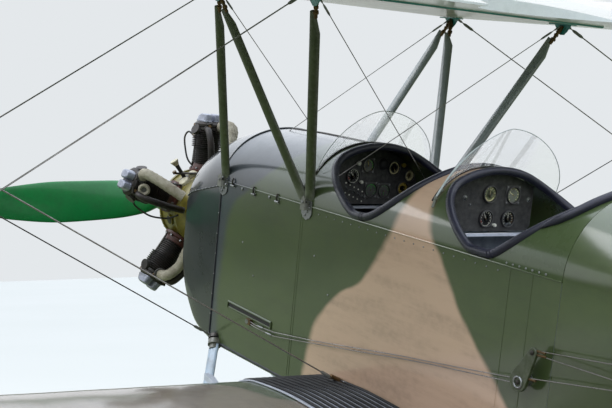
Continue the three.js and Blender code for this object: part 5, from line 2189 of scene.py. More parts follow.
        foot = Vector((0, 7.0, ground(7.0) + 0.028))
        path = rounded([(0, 6.52, -0.06), (0, 6.70, -0.128), (0, 6.86, -0.208), foot], 6)
        corners = [(-1, -0.7), (-0.7, -1), (0.7, -1), (1, -0.7), (1, 0.7), (0.7, 1), (-0.7, 1), (-1, 0.7)]
        rings = []
        for i, point in enumerate(path):
            half_w, half_h = 0.0148, 0.027 - 0.012 * (i / len(path))
            rings.append([point + Vector((u * half_w, v * half_h * 0.35, v * half_h)) for u, v in corners])
        mount = Mount("fitting_steel", replaces=("tail_skid",))
        make_piece("tail_skid_bar", loft(rings), [SPRUCE], mount, sharp=50)
        sole = []
        cuts = ((6.930, 0.032, 0.014), (6.945, 0.040, 0.024), (7.030, 0.040, 0.024), (7.045, 0.032, 0.014))
        for y, half, thick in cuts:
            low, high = ground(y) + 0.0004, ground(y) + thick
            sole.append([(-half, y, low), (half, y, low), (half, y, high), (-half, y, high)])
        trim = loft(sole)
        bolts = [(x, y, ground(y) + 0.024) for x in (-0.028, 0.028) for y in (6.96, 7.015)]
        trim.add(studded(bolts, (0, -0.2, 1), 0.006, 0.005))
        leg = [Vector((0, 6.820, -0.040)), Vector((0, 6.880, ground(6.88) + 0.070))]
        trim.add(tube(leg, 0.0155, 18))
        wraps, reach = 9, 0.0215
        coil = []
        for t in spread(0, 1, 60):
            spin = t * 2 * math.pi * wraps
            centre = leg[0].lerp(leg[1], 0.35 + 0.5 * t)
            coil.append(centre + Vector((reach * math.cos(spin), reach * math.sin(spin), 0)))
        trim.add(tube(coil, 0.0058, 8), tone=1)
        make_piece("tail_skid_fittings", trim, [DARK_STEEL, RUBBER], Mount("fitting_steel"), bevel=0.0008)


# Struts and rigging


@dataclass
class Struts:
    """The cabane's two N frames and the interplane struts, with their forked ends."""

    chord: float = 0.058
    thick: float = 0.036

    def build(self) -> None:
        """Makes the struts on both sides."""
        foot_x, top_z = 0.359, UPPER["base_z"] - 0.012
        front_foot = Vector((foot_x, CABANE_FOOT_Y["front"], 0.287))
        rear_foot = Vector((foot_x, CABANE_FOOT_Y["rear"], 0.296))
        slant_foot = Vector((foot_x, 1.571, 0.296))
        front_top = Vector((CABANE_TOP_X, CABANE_TOP_Y["front"], top_z))
        rear_top = Vector((CABANE_TOP_X, CABANE_TOP_Y["rear"], top_z))
        spans = [(front_foot, front_top), (rear_foot, rear_top), (slant_foot, front_top)]
        bars, forks = Form(), Form()
        for low, high in spans:
            low = low + (high - low).normalized() * 0.024
            bars.add(streamlined(low, high, self.chord, self.thick, bare=(0.0, 0.072)))
            forks.add(self._fork(low, high, 0.095))
        for top in (front_top, rear_top):
            forks.add(self._lug(top + Vector((0, 0, 0.012))), tone=1)
        plates = self._foot_plate(front_foot).add(self._foot_plate(rear_foot))
        metal = Mount("fitting_steel")
        for side, turn in SIDES:
            node = f"cabane_{side}"
            # The starboard cabane takes the paler copy of the enamel, a painted sky reflection
            paint = STRUT_ENAMEL if side == "port" else STRUT_SKY_SHEEN
            make_piece(f"{node}_struts", turn(bars), [paint], Mount("strut_paint", replaces=(node,)))
            make_piece(f"{node}_forks", turn(forks), [BRASS, TEAL_ENAMEL], metal, bevel=0.0008)
            make_piece(f"{node}_foot_plates", turn(plates), [STEEL, FITTING_OLIVE], metal, bevel=0.0008)
        self._interplane()

    @staticmethod
    def _fork(low: Vector, high: Vector, run: float) -> Form:
        """The screwed rod and fork between a strut's upper end and its lug.

        Args:
            low: the strut's lower end.
            high: its upper end.
            run: how long the bare end is.

        Returns:
            The rod and its fork.
        """
        axis = (high - low).normalized()
        form = tube([high - axis * run, high - axis * 0.02], 0.0078, 12)
        for back, radius, deep in ((0.076, 0.0130, 0.012), (0.052, 0.0115, 0.010), (0.036, 0.0115, 0.022)):
            form.add(drum(radius, deep, axis, high - axis * back, 6))
        form.add(tube([high - axis * 0.030, high + axis * 0.002], [0.012, 0.009], 10))
        return form

    @staticmethod
    def _lug(top: Vector) -> Form:
        """A bent plate under the wing that takes the strut ends and wires.

        Args:
            top: the middle of its foot on the wing.

        Returns:
            The bent plate.
        """
        port = [(0.055, 0.0), (0.03, -0.034), (0.012, -0.05)]
        outline = [(-0.055, 0.0), *port, *[(-u, v) for u, v in reversed(port[1:])]]
        side_plate = slab(outline, 0.004, Matrix.Translation(top + Vector((0.002, 0, 0))) @ SIDE_ON)
        base = brick(top + Vector((-0.028, -0.06, -0.005)), top + Vector((0.028, 0.06, 0.0)))
        return side_plate.add(base)

    @staticmethod
    def _foot_plate(foot: Vector) -> Form:
        """The bolted shield plate on the body's side under a strut.

        Args:
            foot: the strut's lower end.

        Returns:
            The plate with its bolts and ears.
        """
        fore = [(0.038, 0.030), (0.040, -0.026), (0.026, -0.046), (0.0, -0.056)]
        outline = [(-0.038, 0.030), *fore, (-0.026, -0.046), (-0.040, -0.026)]
        middle = Matrix.Translation((BODY_HALF + 0.0022, foot.y + 0.004, foot.z - 0.018))
        form = slab(outline, 0.0045, middle @ SIDE_ON)
        bolts = ((-0.02, -0.03), (0.012, -0.036), (0.03, -0.018), (-0.004, -0.052), (-0.022, 0.0))
        spots = [(BODY_HALF + 0.0065, foot.y + y, foot.z + z) for y, z in bolts]
        form.add(studded(spots, (1, 0, 0), 0.0065, 0.005))
        ear = [(-0.020, -0.030), (0.020, -0.030), (0.017, 0.020), (0.0, 0.034), (-0.017, 0.020)]
        for reach in (0.017, 0.037):
            form.add(slab(ear, 0.003, Matrix.Translation((foot.x + reach, foot.y, foot.z)) @ SIDE_ON), tone=1)
        return form.add(drum(0.006, 0.032, (1, 0, 0), foot + Vector((0.013, 0, 0.006)), 12))

    def _interplane(self) -> None:
        """The wooden interplane struts with their ferrules."""
        for spar in ("front", "rear"):
            rise_low = (BAY_X - LOWER["root_x"]) * DIHEDRAL
            rise_high = (BAY_X - UPPER["root_x"]) * DIHEDRAL
            skin = CHORD * (0.086 if spar == "front" else 0.071) - 0.006
            low = Vector((BAY_X, LOWER["fore_y"] + SPAR_Y[spar], LOWER["base_z"] + rise_low + skin))
            high = Vector((BAY_X, UPPER["fore_y"] + SPAR_Y[spar], UPPER["base_z"] + rise_high + 0.002))
            bar = streamlined(low, high, 0.062, 0.034, bare=(0.055, 0.075))
            ends = self._fork(low, high, 0.1).add(self._fork(high, low, 0.08))
            for side, turn in SIDES:
                node = f"strut_{spar}_{side}"
                mount = Mount("strut_paint", replaces=(node,))
                make_piece(f"{node}_spruce", turn(bar), [STRUT_ENAMEL], mount)
                make_piece(f"{node}_ends", turn(ends), [DARK_STEEL], Mount("fitting_steel"))


@dataclass
class Rigging:
    """The main stays, the cross wires and their turnbuckles."""

    stay_radius: float = 0.0029
    wire_radius: float = 0.0019

    def build(self) -> None:
        """Makes the stays that stand for solids, then the small rigging."""
        for name, low, high in self._stays():
            form = self._wire(Vector(low), Vector(high), self.stay_radius)
            wire = DARK_STEEL if name == "flying_front" else WIRE
            for side, turn in SIDES:
                node = f"stay_{name}_{side}"
                mount = Mount("wire_steel", replaces=(node,))
                make_piece(f"{node}_wire", turn(form), [wire, FITTING_OLIVE], mount)
        small = Form()
        for low, high in self._cross_wires():
            small.add(self._wire(Vector(low), Vector(high), self.wire_radius))
        make_piece("cross_wires", small, [WIRE, STEEL], Mount("wire_steel"))

    @staticmethod
    def _spar(wing: dict[str, float], spar: str, x: float, lift: float) -> Vector:
        """A point over a spar at a span station."""
        rise = max(0.0, x - wing["root_x"]) * DIHEDRAL
        return Vector((x, wing["fore_y"] + SPAR_Y[spar], wing["base_z"] + rise + lift))

    def _stays(self) -> list[tuple[str, Row, Row]]:
        """Name, lower end and upper end of the main stays to port.

        Returns:
            One row for each stay.
        """
        bay, top_x = BAY_X - 0.070, 0.716
        root = (BODY_HALF + 0.010, 0.862, -0.495)
        spar = self._spar
        return [
            ("flying_front", root, spar(UPPER, "front", bay, -0.080)),
            ("flying_rear", spar(LOWER, "front", 0.400, 0.130), spar(UPPER, "rear", bay, -0.012)),
            ("landing_front", spar(LOWER, "front", bay - 0.18, 0.142), spar(UPPER, "front", top_x, 0.0)),
            ("landing_rear", spar(LOWER, "rear", bay - 0.11, 0.114), spar(UPPER, "rear", top_x, 0.0)),
        ]

    def _cross_wires(self) -> list[tuple[Row, Row]]:
        """Cabane, bay and tail cross wires, as pairs of ends.

        Returns:
            One pair for each wire, both sides.
        """
        feet = ((CABANE_FOOT_Y["front"], 0.300), (1.590, 0.310))
        top_z = UPPER["base_z"] - 0.01
        port = [((0.385, *foot), (-0.670, top, top_z)) for foot, top in zip(feet, CABANE_TOP_Y.values())]
        for low, high, lift in (("front", "rear", 0.13), ("rear", "front", 0.11)):
            port.append((self._spar(LOWER, low, BAY_X, lift), self._spar(UPPER, high, BAY_X, -0.01)))
        port.append(((0.9, 6.56, 0.358), (0.019, 6.62, 0.80)))
        return [tuple((side * x, y, z) for x, y, z in wire) for side in (-1, 1) for wire in port]

    @staticmethod
    def _wire(low: Vector, high: Vector, radius: float) -> Form:
        """A wire with a turnbuckle and a fork at each end.

        Args:
            low: one end.
            high: the other end.
            radius: the wire's radius.

        Returns:
            The wire and its fittings.
        """
        axis = (high - low).normalized()
        form = tube([low, high], radius, 8)
        neck, body = radius * 1.6, radius * 2.5
        barrel = [(0.0, 0.0), (neck, 0.0), (body, 0.012), (body, 0.05), (neck, 0.062), (0.0, 0.062)]
        for end, inward in ((low, axis), (high, -axis)):
            form.add(tube([end, end + inward * 0.035], radius * 2.1, 8), tone=1)
            form.add(lathe(barrel, 10, aimed(inward, end + inward * 0.05)), tone=1)
        return form


# Engine and propeller


def across(path: list[Row]) -> list[Row]:
    """A path in a cylinder's frame, turned to its other side."""
    return [(-x, y, z) for x, y, z in path]


# Each cylinder's wrapped exhaust pipe, in its own frame: X across, Y aft, Z out from the crankshaft
EXHAUSTS = {
    1: [
        (-0.030, 0.050, 0.470), (-0.045, 0.110, 0.478), (-0.044, 0.162, 0.455), (-0.030, 0.205, 0.395),
        (-0.020, 0.235, 0.300),
    ],
    2: [
        (-0.046, 0.064, 0.462), (-0.066, 0.100, 0.468), (-0.056, 0.150, 0.410), (-0.036, 0.200, 0.340),
        (-0.018, 0.240, 0.275),
    ],
    3: [
        (-0.016, 0.088, 0.456), (-0.004, 0.138, 0.440), (0.008, 0.166, 0.365), (-0.028, 0.205, 0.290),
        (-0.055, 0.235, 0.220),
    ],
}
EXHAUSTS[4], EXHAUSTS[5] = across(EXHAUSTS[3]), across(EXHAUSTS[2])
# Each cylinder's ignition lead, in the same frame
LEADS = {
    1: [
        (0.045, -0.088, 0.410), (0.052, -0.138, 0.425), (0.060, -0.165, 0.392), (0.055, -0.160, 0.330),
        (0.045, -0.130, 0.260), (0.000, -0.100, 0.212),
    ],
    2: [
        (0.080, -0.030, 0.430), (0.102, -0.022, 0.415), (0.122, -0.020, 0.385), (0.142, 0.000, 0.300),
        (0.128, 0.010, 0.215), (0.108, 0.050, 0.192), (0.085, 0.100, 0.190),
    ],
    3: [
        (0.050, -0.088, 0.455), (0.020, -0.112, 0.400), (0.012, -0.108, 0.330), (0.050, -0.100, 0.270),
        (0.115, -0.090, 0.225),
    ],
    5: [
        (-0.080, -0.030, 0.430), (-0.102, -0.022, 0.415), (-0.122, -0.020, 0.385), (-0.142, 0.000, 0.300),
        (-0.108, 0.050, 0.192), (-0.085, 0.100, 0.190),
    ],
}
LEADS[4] = across(LEADS[3])


def drum(radius: float, deep: float, direction: Row, spot: Row, sides: int = 20) -> Form:
    """A short flat-ended drum standing at a spot."""
    return lathe([(0.0, 0.0), (radius, 0.0), (radius, deep), (0.0, deep)], sides, aimed(direction, spot))


@dataclass
class Engine:
    """The five-cylinder radial: case, finned cylinders, heads, pipes and leads."""

    count: int = 5
    barrel_reach: float = 0.078
    head_reach: float = 0.090
    cover_half: tuple[float, float] = (0.0275, 0.060)
    pipe_radius: float = 0.0285
    lead_radius: float = 0.0052

    def build(self) -> None:
        """Makes the case and each cylinder with what is on it."""
        self._case()
        self._accessories()
        metals = [BARREL_BLACK, BARREL_BASE_RED, HEAD_ALLOY, STEEL]
        plain = Mount("fitting_steel")
        for number, turn in enumerate(even_turns(self.count), 1):
            place = aimed((math.sin(turn), 0, math.cos(turn)))
            node = f"cylinder_{number}"
            mount = Mount("cylinder_metal", replaces=(node,))
            make_piece(f"{node}_finned", self._cylinder().moved(place), metals, mount, bevel=0.0006, sharp=32)
            make_piece(f"{node}_pipes", self._pipes(number).moved(place), [TAPE_WRAP, BARREL_BLACK], plain)
            rods = self._rods(number).moved(place)
            make_piece(f"{node}_rods_and_leads", rods, [DARK_STEEL, RUBBER, BRASS], plain)

    def _case(self) -> None:
        """The crankcase with its nose, bolted rings and magneto drives."""
        along = aimed((0, 1, 0), (0, 0, 0), beside=(0, 0, 1))
        profile = [
            (0.0, -0.340), (0.046, -0.340), (0.050, -0.330), (0.060, -0.300), (0.078, -0.276),
            (0.105, -0.250), (0.112, -0.236), (0.128, -0.214), (0.150, -0.190), (0.182, -0.152),
            (0.200, -0.126), (0.204, -0.118), (0.214, -0.116), (0.214, -0.100), (0.206, -0.098),
            (0.206, 0.060), (0.215, 0.062), (0.215, 0.082), (0.205, 0.090), (0.190, 0.130), (0.186, 0.20),
            (0.200, 0.300), (0.200, 0.3294), (0.0, 0.3294),
        ]
        form = lathe(profile, 60, along)
        for ring_y, reach, heads in ((-0.116, 0.209, 20), (-0.236, 0.118, 12), (0.062, 0.2105, 20)):
            spots = [(reach * math.sin(t), ring_y, reach * math.cos(t)) for t in even_turns(heads)]
            form.add(studded(spots, (0, -1, 0), 0.0062, 0.007), tone=1)
        for turn in even_turns(self.count, 0.5):
            rib = Vector((math.sin(turn), 0, math.cos(turn)))
            form.add(
                tube([rib * 0.11 + Vector((0, -0.246, 0)), rib * 0.204 + Vector((0, -0.118, 0))], 0.008, 8)
            )
            form.add(drum(0.032, 0.016, rib, rib * 0.2))
            form.add(drum(0.024, 0.018, rib, rib * 0.2), tone=2)
            cover, slanting = rib * 0.158 + Vector((0, -0.168, 0)), rib * 0.75 + Vector((0, -0.66, 0))
            form.add(drum(0.026, 0.016, slanting, cover))
            form.add(drum(0.019, 0.0175, slanting, cover), tone=2)
        finishes = [CRANKCASE_ENAMEL, STEEL, BARREL_BLACK]
        mount = Mount("crankcase_metal", replaces=("crankcase",))
        make_piece("crankcase_casting", form, finishes, mount, bevel=0.001, sharp=34)

    def _accessories(self) -> None:
        """The breathers and the pale domes between the upper cylinders, with small rods round them."""
        form = Form()
        stem = [(0.0, 0.0), (0.011, 0.0), (0.011, 0.070), (0.013, 0.100), (0.0, 0.100)]
        cap = [(0.0, 0.098), (0.014, 0.098), (0.019, 0.112), (0.024, 0.122), (0.023, 0.128), (0.0, 0.130)]
        dome = [(0.0, 0.0), (0.036, 0.0), (0.036, 0.022), (0.030, 0.034), (0.016, 0.041), (0.0, 0.043)]
        rods = (
            ((-20, 0.225, 0.10), (6, 0.262, -0.03)),
            ((14, 0.215, 0.06), (24, 0.300, 0.03)),
            ((24, 0.300, 0.03), (30, 0.230, 0.10)),
        )
        for side in (-1, 1):
            turn = side * math.radians(36)
            out = Vector((math.sin(turn), 0, math.cos(turn)))
            place = aimed(out + Vector((0, -0.16, 0)), out * 0.205)
            form.add(lathe(stem, 16, place), tone=1).add(lathe(cap, 20, place))
            for spread_out, y in ((-14, 0.02), (8, 0.045)):
                bend = turn + math.radians(spread_out)
                boss = Vector((math.sin(bend), 0, math.cos(bend)))
                form.add(lathe(dome, 24, aimed(boss, boss * 0.196 + Vector((0, y, 0)))))
            for rod in rods:
                ends = [self._round_the_case(turn + side * math.radians(a), r, y) for a, r, y in rod]
                form.add(tube(ends, 0.0062, 10), tone=1)
                form.add(drum(0.012, 0.014, out, ends[1], 10), tone=2)
        make_piece(
            "engine_accessories", form, [ACCESSORY_CREAM, DARK_STEEL, BRASS], Mount("fitting_steel"),
            sharp=34,
        )

    @staticmethod
    def _round_the_case(turn: float, reach: float, y: float) -> Vector:
        """A point at a turn round the crankshaft."""
        return Vector((reach * math.sin(turn), y, reach * math.cos(turn)))

    def _cylinder(self) -> Form:
        """One cylinder, upright along local Z, with local Y aft.

        Returns:
            The cylinder with its head and covers.
        """
        profile = [(0.0, 0.214), (0.092, 0.214), (0.092, 0.230), (0.074, 0.233), (0.068, 0.262)]
        pitch, fins = 0.0112, 17
        for k in range(fins):
            z = 0.266 + k * pitch
            reach = (self.barrel_reach if z < 0.345 else self.head_reach) - 0.0014 * (k % 2)
            profile += [(0.066, z), (reach, z + 0.0010), (reach + 0.0006, z + 0.0022), (reach, z + 0.0034)]
            profile.append((0.066, z + 0.0044))
        profile += [(0.070, 0.458), (0.0, 0.458)]
        form = lathe(profile, 40)
        form.tones = [1 if max(form.verts[i].z for i in face) < 0.262 else 0 for face in form.faces]
        head = [(0.0, 0.456), (0.080, 0.456), (0.080, 0.470), (0.074, 0.471), (0.074, 0.476), (0.080, 0.477)]
        head += [(0.080, 0.488), (0.066, 0.500), (0.0, 0.502)]
        form.add(lathe(head, 40))
        spots = [(0.082 * math.cos(t), 0.082 * math.sin(t), 0.230) for t in even_turns(8, 0.5)]
        form.add(studded(spots, (0, 0, 1), 0.0068, 0.012), tone=3)
        for side in (-1, 1):
            form.add(self._rocker_cover(side), tone=2)
            form.add(drum(0.030, 0.022, (side, 0.15, 0.5), (side * 0.074, 0.006, 0.448)))
        return form

    def _rocker_cover(self, side: int) -> Form:
        """A smooth wedge-shaped cover over one valve's rocker, sloping down to the front.

        Args:
            side: 1 or -1, the side of the head it is on.

        Returns:
            The cover.
        """
        half_x, half_y = self.cover_half
        levels = [
            (0.478, 1.0, 1.0, 0.0), (0.498, 1.0, 1.0, 0.0), (0.500, 1.05, 1.04, 0.0),
            (0.506, 1.05, 1.04, 0.0), (0.508, 1.0, 1.0, 0.0), (0.530, 0.94, 0.84, 0.006),
            (0.540, 0.84, 0.66, 0.013), (0.5438, 0.66, 0.50, 0.016),
        ]
        rings = []
        for z, wide, along, aft in levels:
            ring = []
            for turn in even_turns(28):
                x = math.copysign(abs(math.cos(turn)) ** 0.6, math.cos(turn)) * half_x * wide
                y = math.copysign(abs(math.sin(turn)) ** 0.8, math.sin(turn)) * half_y * along
                ring.append((side * 0.0302 + x, y - 0.004 + aft, z))
            rings.append(ring)
        return loft(rings)

    def _pipes(self, number: int) -> Form:
        """The wrapped exhaust, the plain intake and the bound port on the head's side.

        Args:
            number: the cylinder's number, from the top.

        Returns:
            The pipes in the cylinder's own frame.
        """
        way = 1 if number > 3 else -1
        path = rounded(EXHAUSTS[number], 9)
        swell = 1.75 if number == 1 else 1.0
        radii = []
        for i in range(len(path)):
            bulge = 1 + (swell - 1) * math.exp(-(((i / len(path)) - 0.42) / 0.22) ** 2)
            radii.append(self.pipe_radius * bulge * (1 + 0.045 * math.sin(i * 2.1)))
        form = tube(path, radii, 22)
        form.add(drum(0.036, 0.012, (way * 0.2, 1, 0.1), EXHAUSTS[number][0]), tone=1)
        intake = [
            (-0.046, 0.062, 0.462), (-0.060, 0.112, 0.450), (-0.062, 0.148, 0.390), (-0.058, 0.160, 0.300)
        ]
        intake.append((-0.050, 0.150, 0.196))
        form.add(tube(rounded([(way * x, y, z) for x, y, z in intake], 9), 0.0185, 18), tone=1)
        if number == 1:
            tail = [
                (-0.048, -0.016, 0.480), (-0.062, -0.060, 0.462), (-0.080, -0.064, 0.420),
                (-0.083, -0.062, 0.385),
            ]
            return form.add(tube(rounded(tail, 5), [0.031 - 0.0018 * k for k in range(16)], 14))
        centre, out = Vector((way * -0.018, 0.100, 0.442)), Vector((way * -0.25, 0.9, 0.5)).normalized()
        form.add(tube(circle(0.024, 18, aimed(out, centre)), 0.0105, 12, looped=True))
        return form.add(drum(0.021, 0.008, out, centre - out * 0.004), tone=1)

    def _rods(self, number: int) -> Form:
        """Pushrod tubes, a sparking plug, its lead and the valve gear's small parts.

        Args:
            number: the cylinder's number, from the top.

        Returns:
            The small parts in the cylinder's own frame.
        """
        form = Form()
        for side in (-1, 1):
            form.add(tube([(side * 0.026, -0.112, 0.196), (side * 0.036, -0.062, 0.500)], 0.0078, 12))
            form.add(drum(0.013, 0.020, (side * 0.05, 0.18, 1), (side * 0.026, -0.112, 0.194), 14), tone=2)
            form.add(drum(0.010, 0.016, (side, 0.0, 0.3), (side * 0.050, -0.052, 0.472), 6), tone=2)
            form.add(tube([(side * 0.020, 0.070, 0.494), (side * 0.058, 0.074, 0.486)], 0.0065, 10))
            form.add(drum(0.009, 0.012, (0, 1, 0.3), (side * 0.040, 0.072, 0.476), 6), tone=2)
        path = LEADS[number]
        start = Vector(path[0])
        out = (Vector(path[1]) - start).normalized()
        inner = start - out * 0.020
        plug = [(0, 0), (0.011, 0), (0.011, 0.010), (0.007, 0.012), (0.007, 0.030), (0, 0.030)]
        form.add(lathe(plug, 6, aimed(out, inner)), tone=2)
        form.add(tube(rounded(path, 8), self.lead_radius, 10), tone=1)
        return form


@dataclass
class Propeller:
    """The two-blade wooden propeller with its hub plate."""

    radius: float = 1.200
    y: float = -0.450
    droop: float = -0.045
    set_back: float = 0.010

    def build(self) -> None:
        """Makes the blades and the hub's metal."""
        table = [
            (0.06, 0.146, 0.096, 0.78), (0.14, 0.206, 0.074, 0.62), (0.30, 0.236, 0.044, 0.48),
            (0.55, 0.240, 0.026, 0.36), (0.80, 0.190, 0.016, 0.29), (0.94, 0.120, 0.012, 0.26),
            (1.00, 0.046, 0.008, 0.25),
        ]
        rings = []
        stations = [*spread(0.06, 0.94, 34), 0.957, 0.972, 0.984, 0.992, 0.9975, 1.0]
        for share in stations:
            chord, thick, pitch = smoothed(table, share)
            if share > 0.94:
                chord = 0.120 * math.sqrt(max(0.05, 1 - ((share - 0.94) / 0.0605) ** 2))
            ring = []
            c, s = math.cos(pitch), math.sin(pitch)
            for turn in even_turns(28):
                u = math.cos(turn) * chord / 2 - self.set_back * math.sin(math.pi * min(1.0, share))
                swell = 1.0 + 0.25 * math.cos(turn)
                v = math.sin(turn) * thick / 2 * (swell if share > 0.12 else 1.0)
                ring.append((share * self.radius, self.y - u * s + v * c, u * c + v * s))
            rings.append(ring)
        blade = loft(rings)
        turn_over = Matrix.Rotation(math.pi, 4, "Y")
        droop = Matrix.Rotation(-self.droop, 4, "Y")
        along = aimed((0, 1, 0), (0, 0, 0), beside=(0, 0, 1))
        boss = [
            (0.0, -0.486), (0.088, -0.486), (0.0915, -0.480), (0.0915, -0.404), (0.086, -0.398),
            (0.0, -0.398),
        ]
        wood = Form().add(blade).add(blade.moved(turn_over)).add(lathe(boss, 48, along)).moved(droop)
        mount = Mount("prop_wood", body="propeller", replaces=("propeller",))
        make_piece("propeller_wood", wood, [PROP_GREEN], mount, sharp=50)
        fore = [
            (0.0, -0.500), (0.034, -0.500), (0.050, -0.496), (0.070, -0.4925), (0.080, -0.4875),
            (0.080, -0.484),
        ]
        aft = [
            (0.0, -0.402), (0.070, -0.402), (0.070, -0.392), (0.046, -0.380), (0.046, -0.3404),
            (0.0, -0.3404),
        ]
        plate = lathe([*fore, (0.0, -0.484)], 40, along).add(lathe(aft, 40, along))
        spots = [(0.062 * math.cos(t), -0.489, 0.062 * math.sin(t)) for t in even_turns(8)]
        plate.add(studded(spots, (0, -1, 0), 0.0085, 0.009))
        mount = Mount("fitting_steel", body="propeller")
        make_piece("propeller_hub_plates", plate.moved(droop), [STEEL], mount, bevel=0.0008)


# Undercarriage


@dataclass
class Undercarriage:
    """The legs, the axle, the step on each side and both wheels."""

    axle_end: float = 0.734
    front_top: tuple[float, float, float] = (0.365, 0.899, -0.492)
    rear_top: tuple[float, float, float] = (0.365, 1.690, -0.492)

    def build(self) -> None:
        """Makes the legs and both wheels."""
        self._legs()
        self._wheels()

    def _legs(self) -> None:
        """Streamlined legs in two V frames, the axle and its binding."""
        x, y, z = WHEEL_LEVEL
        form, trim = Form(), Form()
        for side in (-1, 1):
            foot = Vector((side * self.axle_end, y, z))
            for top, chord, thick in ((self.front_top, 0.060, 0.036), (self.rear_top, 0.050, 0.032)):
                high = Vector((side * top[0], *top[1:]))
                form.add(streamlined(high, foot, chord, thick))
                axis = (foot - high).normalized()
                trim.add(tube([high + axis * 0.058, high + axis * 0.082], thick * 0.66, 16), tone=1)
            trim.add(drum(0.042, 0.05, (side, 0, 0), (side * (self.axle_end - 0.03), y, z), 24))
            wraps = []
            for k in range(12):
                x_at = side * (self.axle_end - 0.085 + 0.0065 * k)
                wraps.append((x_at, y + 0.034 * math.cos(k * 1.7), z + 0.034 * math.sin(k * 1.7)))
            trim.add(tube(rounded(wraps, 5), 0.006, 8), tone=2)
            trim.add(self._step(side))
        form.add(tube([(-self.axle_end - 0.03, y, z), (self.axle_end + 0.03, y, z)], 0.026, 24))
        form.add(tube([(-x - 0.078, y, z), (x + 0.078, y, z)], 0.0214, 24))
        make_piece(
            "undercarriage_legs", form, [GEAR_ENAMEL], Mount("gear_paint", replaces=("undercarriage",))
        )
        finishes = [DARK_STEEL, FITTING_OLIVE, RUBBER, DARK_STEEL, PALE_TRIM]
        make_piece("undercarriage_fittings", trim, finishes, Mount("fitting_steel"), bevel=0.001)

    def _step(self, side: int) -> Form:
        """The lug, the clamp and the small rubber-tipped step on a front leg.

        Args:
            side: 1 to port and -1 to starboard.

        Returns:
            The three fittings.
        """
        high = Vector((side * self.front_top[0], *self.front_top[1:]))
        foot = Vector((side * self.axle_end, WHEEL_LEVEL.y, WHEEL_LEVEL.z))
        axis = (foot - high).normalized()
        form = Form().add(tube([high + axis * 0.030, high + axis * 0.058], 0.034, 18), tone=1)
        form.add(drum(0.036, 0.020, axis, high + axis * 0.004), tone=3)
        step = high.lerp(foot, 0.30)
        wedge = [
            (-0.020, -0.020), (0.030, -0.016), (0.105, -0.012), (0.105, 0.002), (0.030, 0.030),
            (-0.020, 0.040),
        ]
        form.add(slab(wedge, 0.034, Matrix.Translation(step + Vector((-0.017, 0.0, 0.0))) @ SIDE_ON), tone=4)
        return form.add(drum(0.012, 0.022, (0, 1, 0), step + Vector((0, 0.100, -0.004))), tone=2)

    @staticmethod
    def _wheels() -> None:
        """Tyres with tread rings and fabric disc covers."""
        x, y, z = WHEEL_LEVEL
        tyre = [(0.262, -0.046), (0.268, -0.053), (0.285, -0.0585), (0.310, -0.060)]
        for turn in spread(-math.pi / 2, math.pi / 2, 25):
            tyre.append((0.306 + 0.0435 * math.cos(turn), 0.0585 * math.sin(turn)))
        tyre += [(0.310, 0.060), (0.285, 0.0585), (0.268, 0.053), (0.262, 0.046)]
        groove = 0.0022
        for h in (-0.024, -0.012, 0.0, 0.012, 0.024):
            tyre = [(r - groove if abs(q - h) < groove else r, q) for r, q in tyre]
        cover = [
            (0.0224, -0.070), (0.044, -0.070), (0.050, -0.064), (0.060, -0.055), (0.150, -0.044),
            (0.240, -0.036), (0.252, -0.038), (0.262, -0.047), (0.266, -0.050), (0.266, 0.050),
            (0.262, 0.047), (0.252, 0.038), (0.240, 0.036), (0.150, 0.044), (0.060, 0.055), (0.050, 0.064),
            (0.044, 0.070), (0.0224, 0.070),
        ]
        for side, name in ((1, "port"), (-1, "starboard")):
            place = aimed((1, 0, 0), (side * x, y, z))
            node = f"wheel_{name}"
            mount = Mount("tyre_rubber", body=node, replaces=(node,))
            make_piece(f"tyre_{name}", lathe(tyre, 96, place), [RUBBER], mount, sharp=50)
            disc = lathe(cover, 72, place)
            turns = [(0.222 * math.cos(t), 0.222 * math.sin(t)) for t in even_turns(12)]
            spots = [(side * (x + 0.0385), y + fore, z + up) for fore, up in turns]
            disc.add(studded(spots, (side, 0, 0), 0.006, 0.003, 10), tone=1)
            make_piece(f"{node}_cover", disc, [GEAR_ENAMEL, STEEL], Mount("tyre_rubber", body=node), sharp=30)


# Inside the cockpits


def inflated(piece: bpy.types.Object, cap: float, voxel: float = 0.006, pressure: float = 4.0) -> None:
    """Fills a closed cushion by a cloth simulation with inner pressure and keeps the result.

    Args:
        piece: the cushion, a little smaller than it ends up.
        cap: how far a point may move.
        voxel: size of the even mesh that is simulated.
        pressure: the filling's pressure.
    """
    def kept() -> None:
        """Applies the piece's modifiers."""
        bpy.context.view_layer.update()
        made = bpy.data.meshes.new_from_object(piece.evaluated_get(bpy.context.evaluated_depsgraph_get()))
        piece.modifiers.clear()
        piece.data = made

    even = piece.modifiers.new("even skin", "REMESH")
    even.mode, even.voxel_size = "VOXEL", voxel
    kept()
    before = [v.co.copy() for v in piece.data.vertices]
    cloth = piece.modifiers.new("filling", "CLOTH")
    cloth.settings.use_pressure = True
    cloth.settings.uniform_pressure_force = pressure
    cloth.settings.effector_weights.gravity = 0.0
    for number in range(1, 21):
        bpy.context.scene.frame_set(number)
    kept()
    for vertex, start in zip(piece.data.vertices, before):
        step = vertex.co - start
        if step.length > cap:
            vertex.co = start + step * (cap / step.length)
    for polygon in piece.data.polygons:
        polygon.use_smooth = True
    bpy.context.scene.frame_set(1)
    finer = piece.modifiers.new("smooth surface", "SUBSURF")
    finer.levels = finer.render_levels = 1


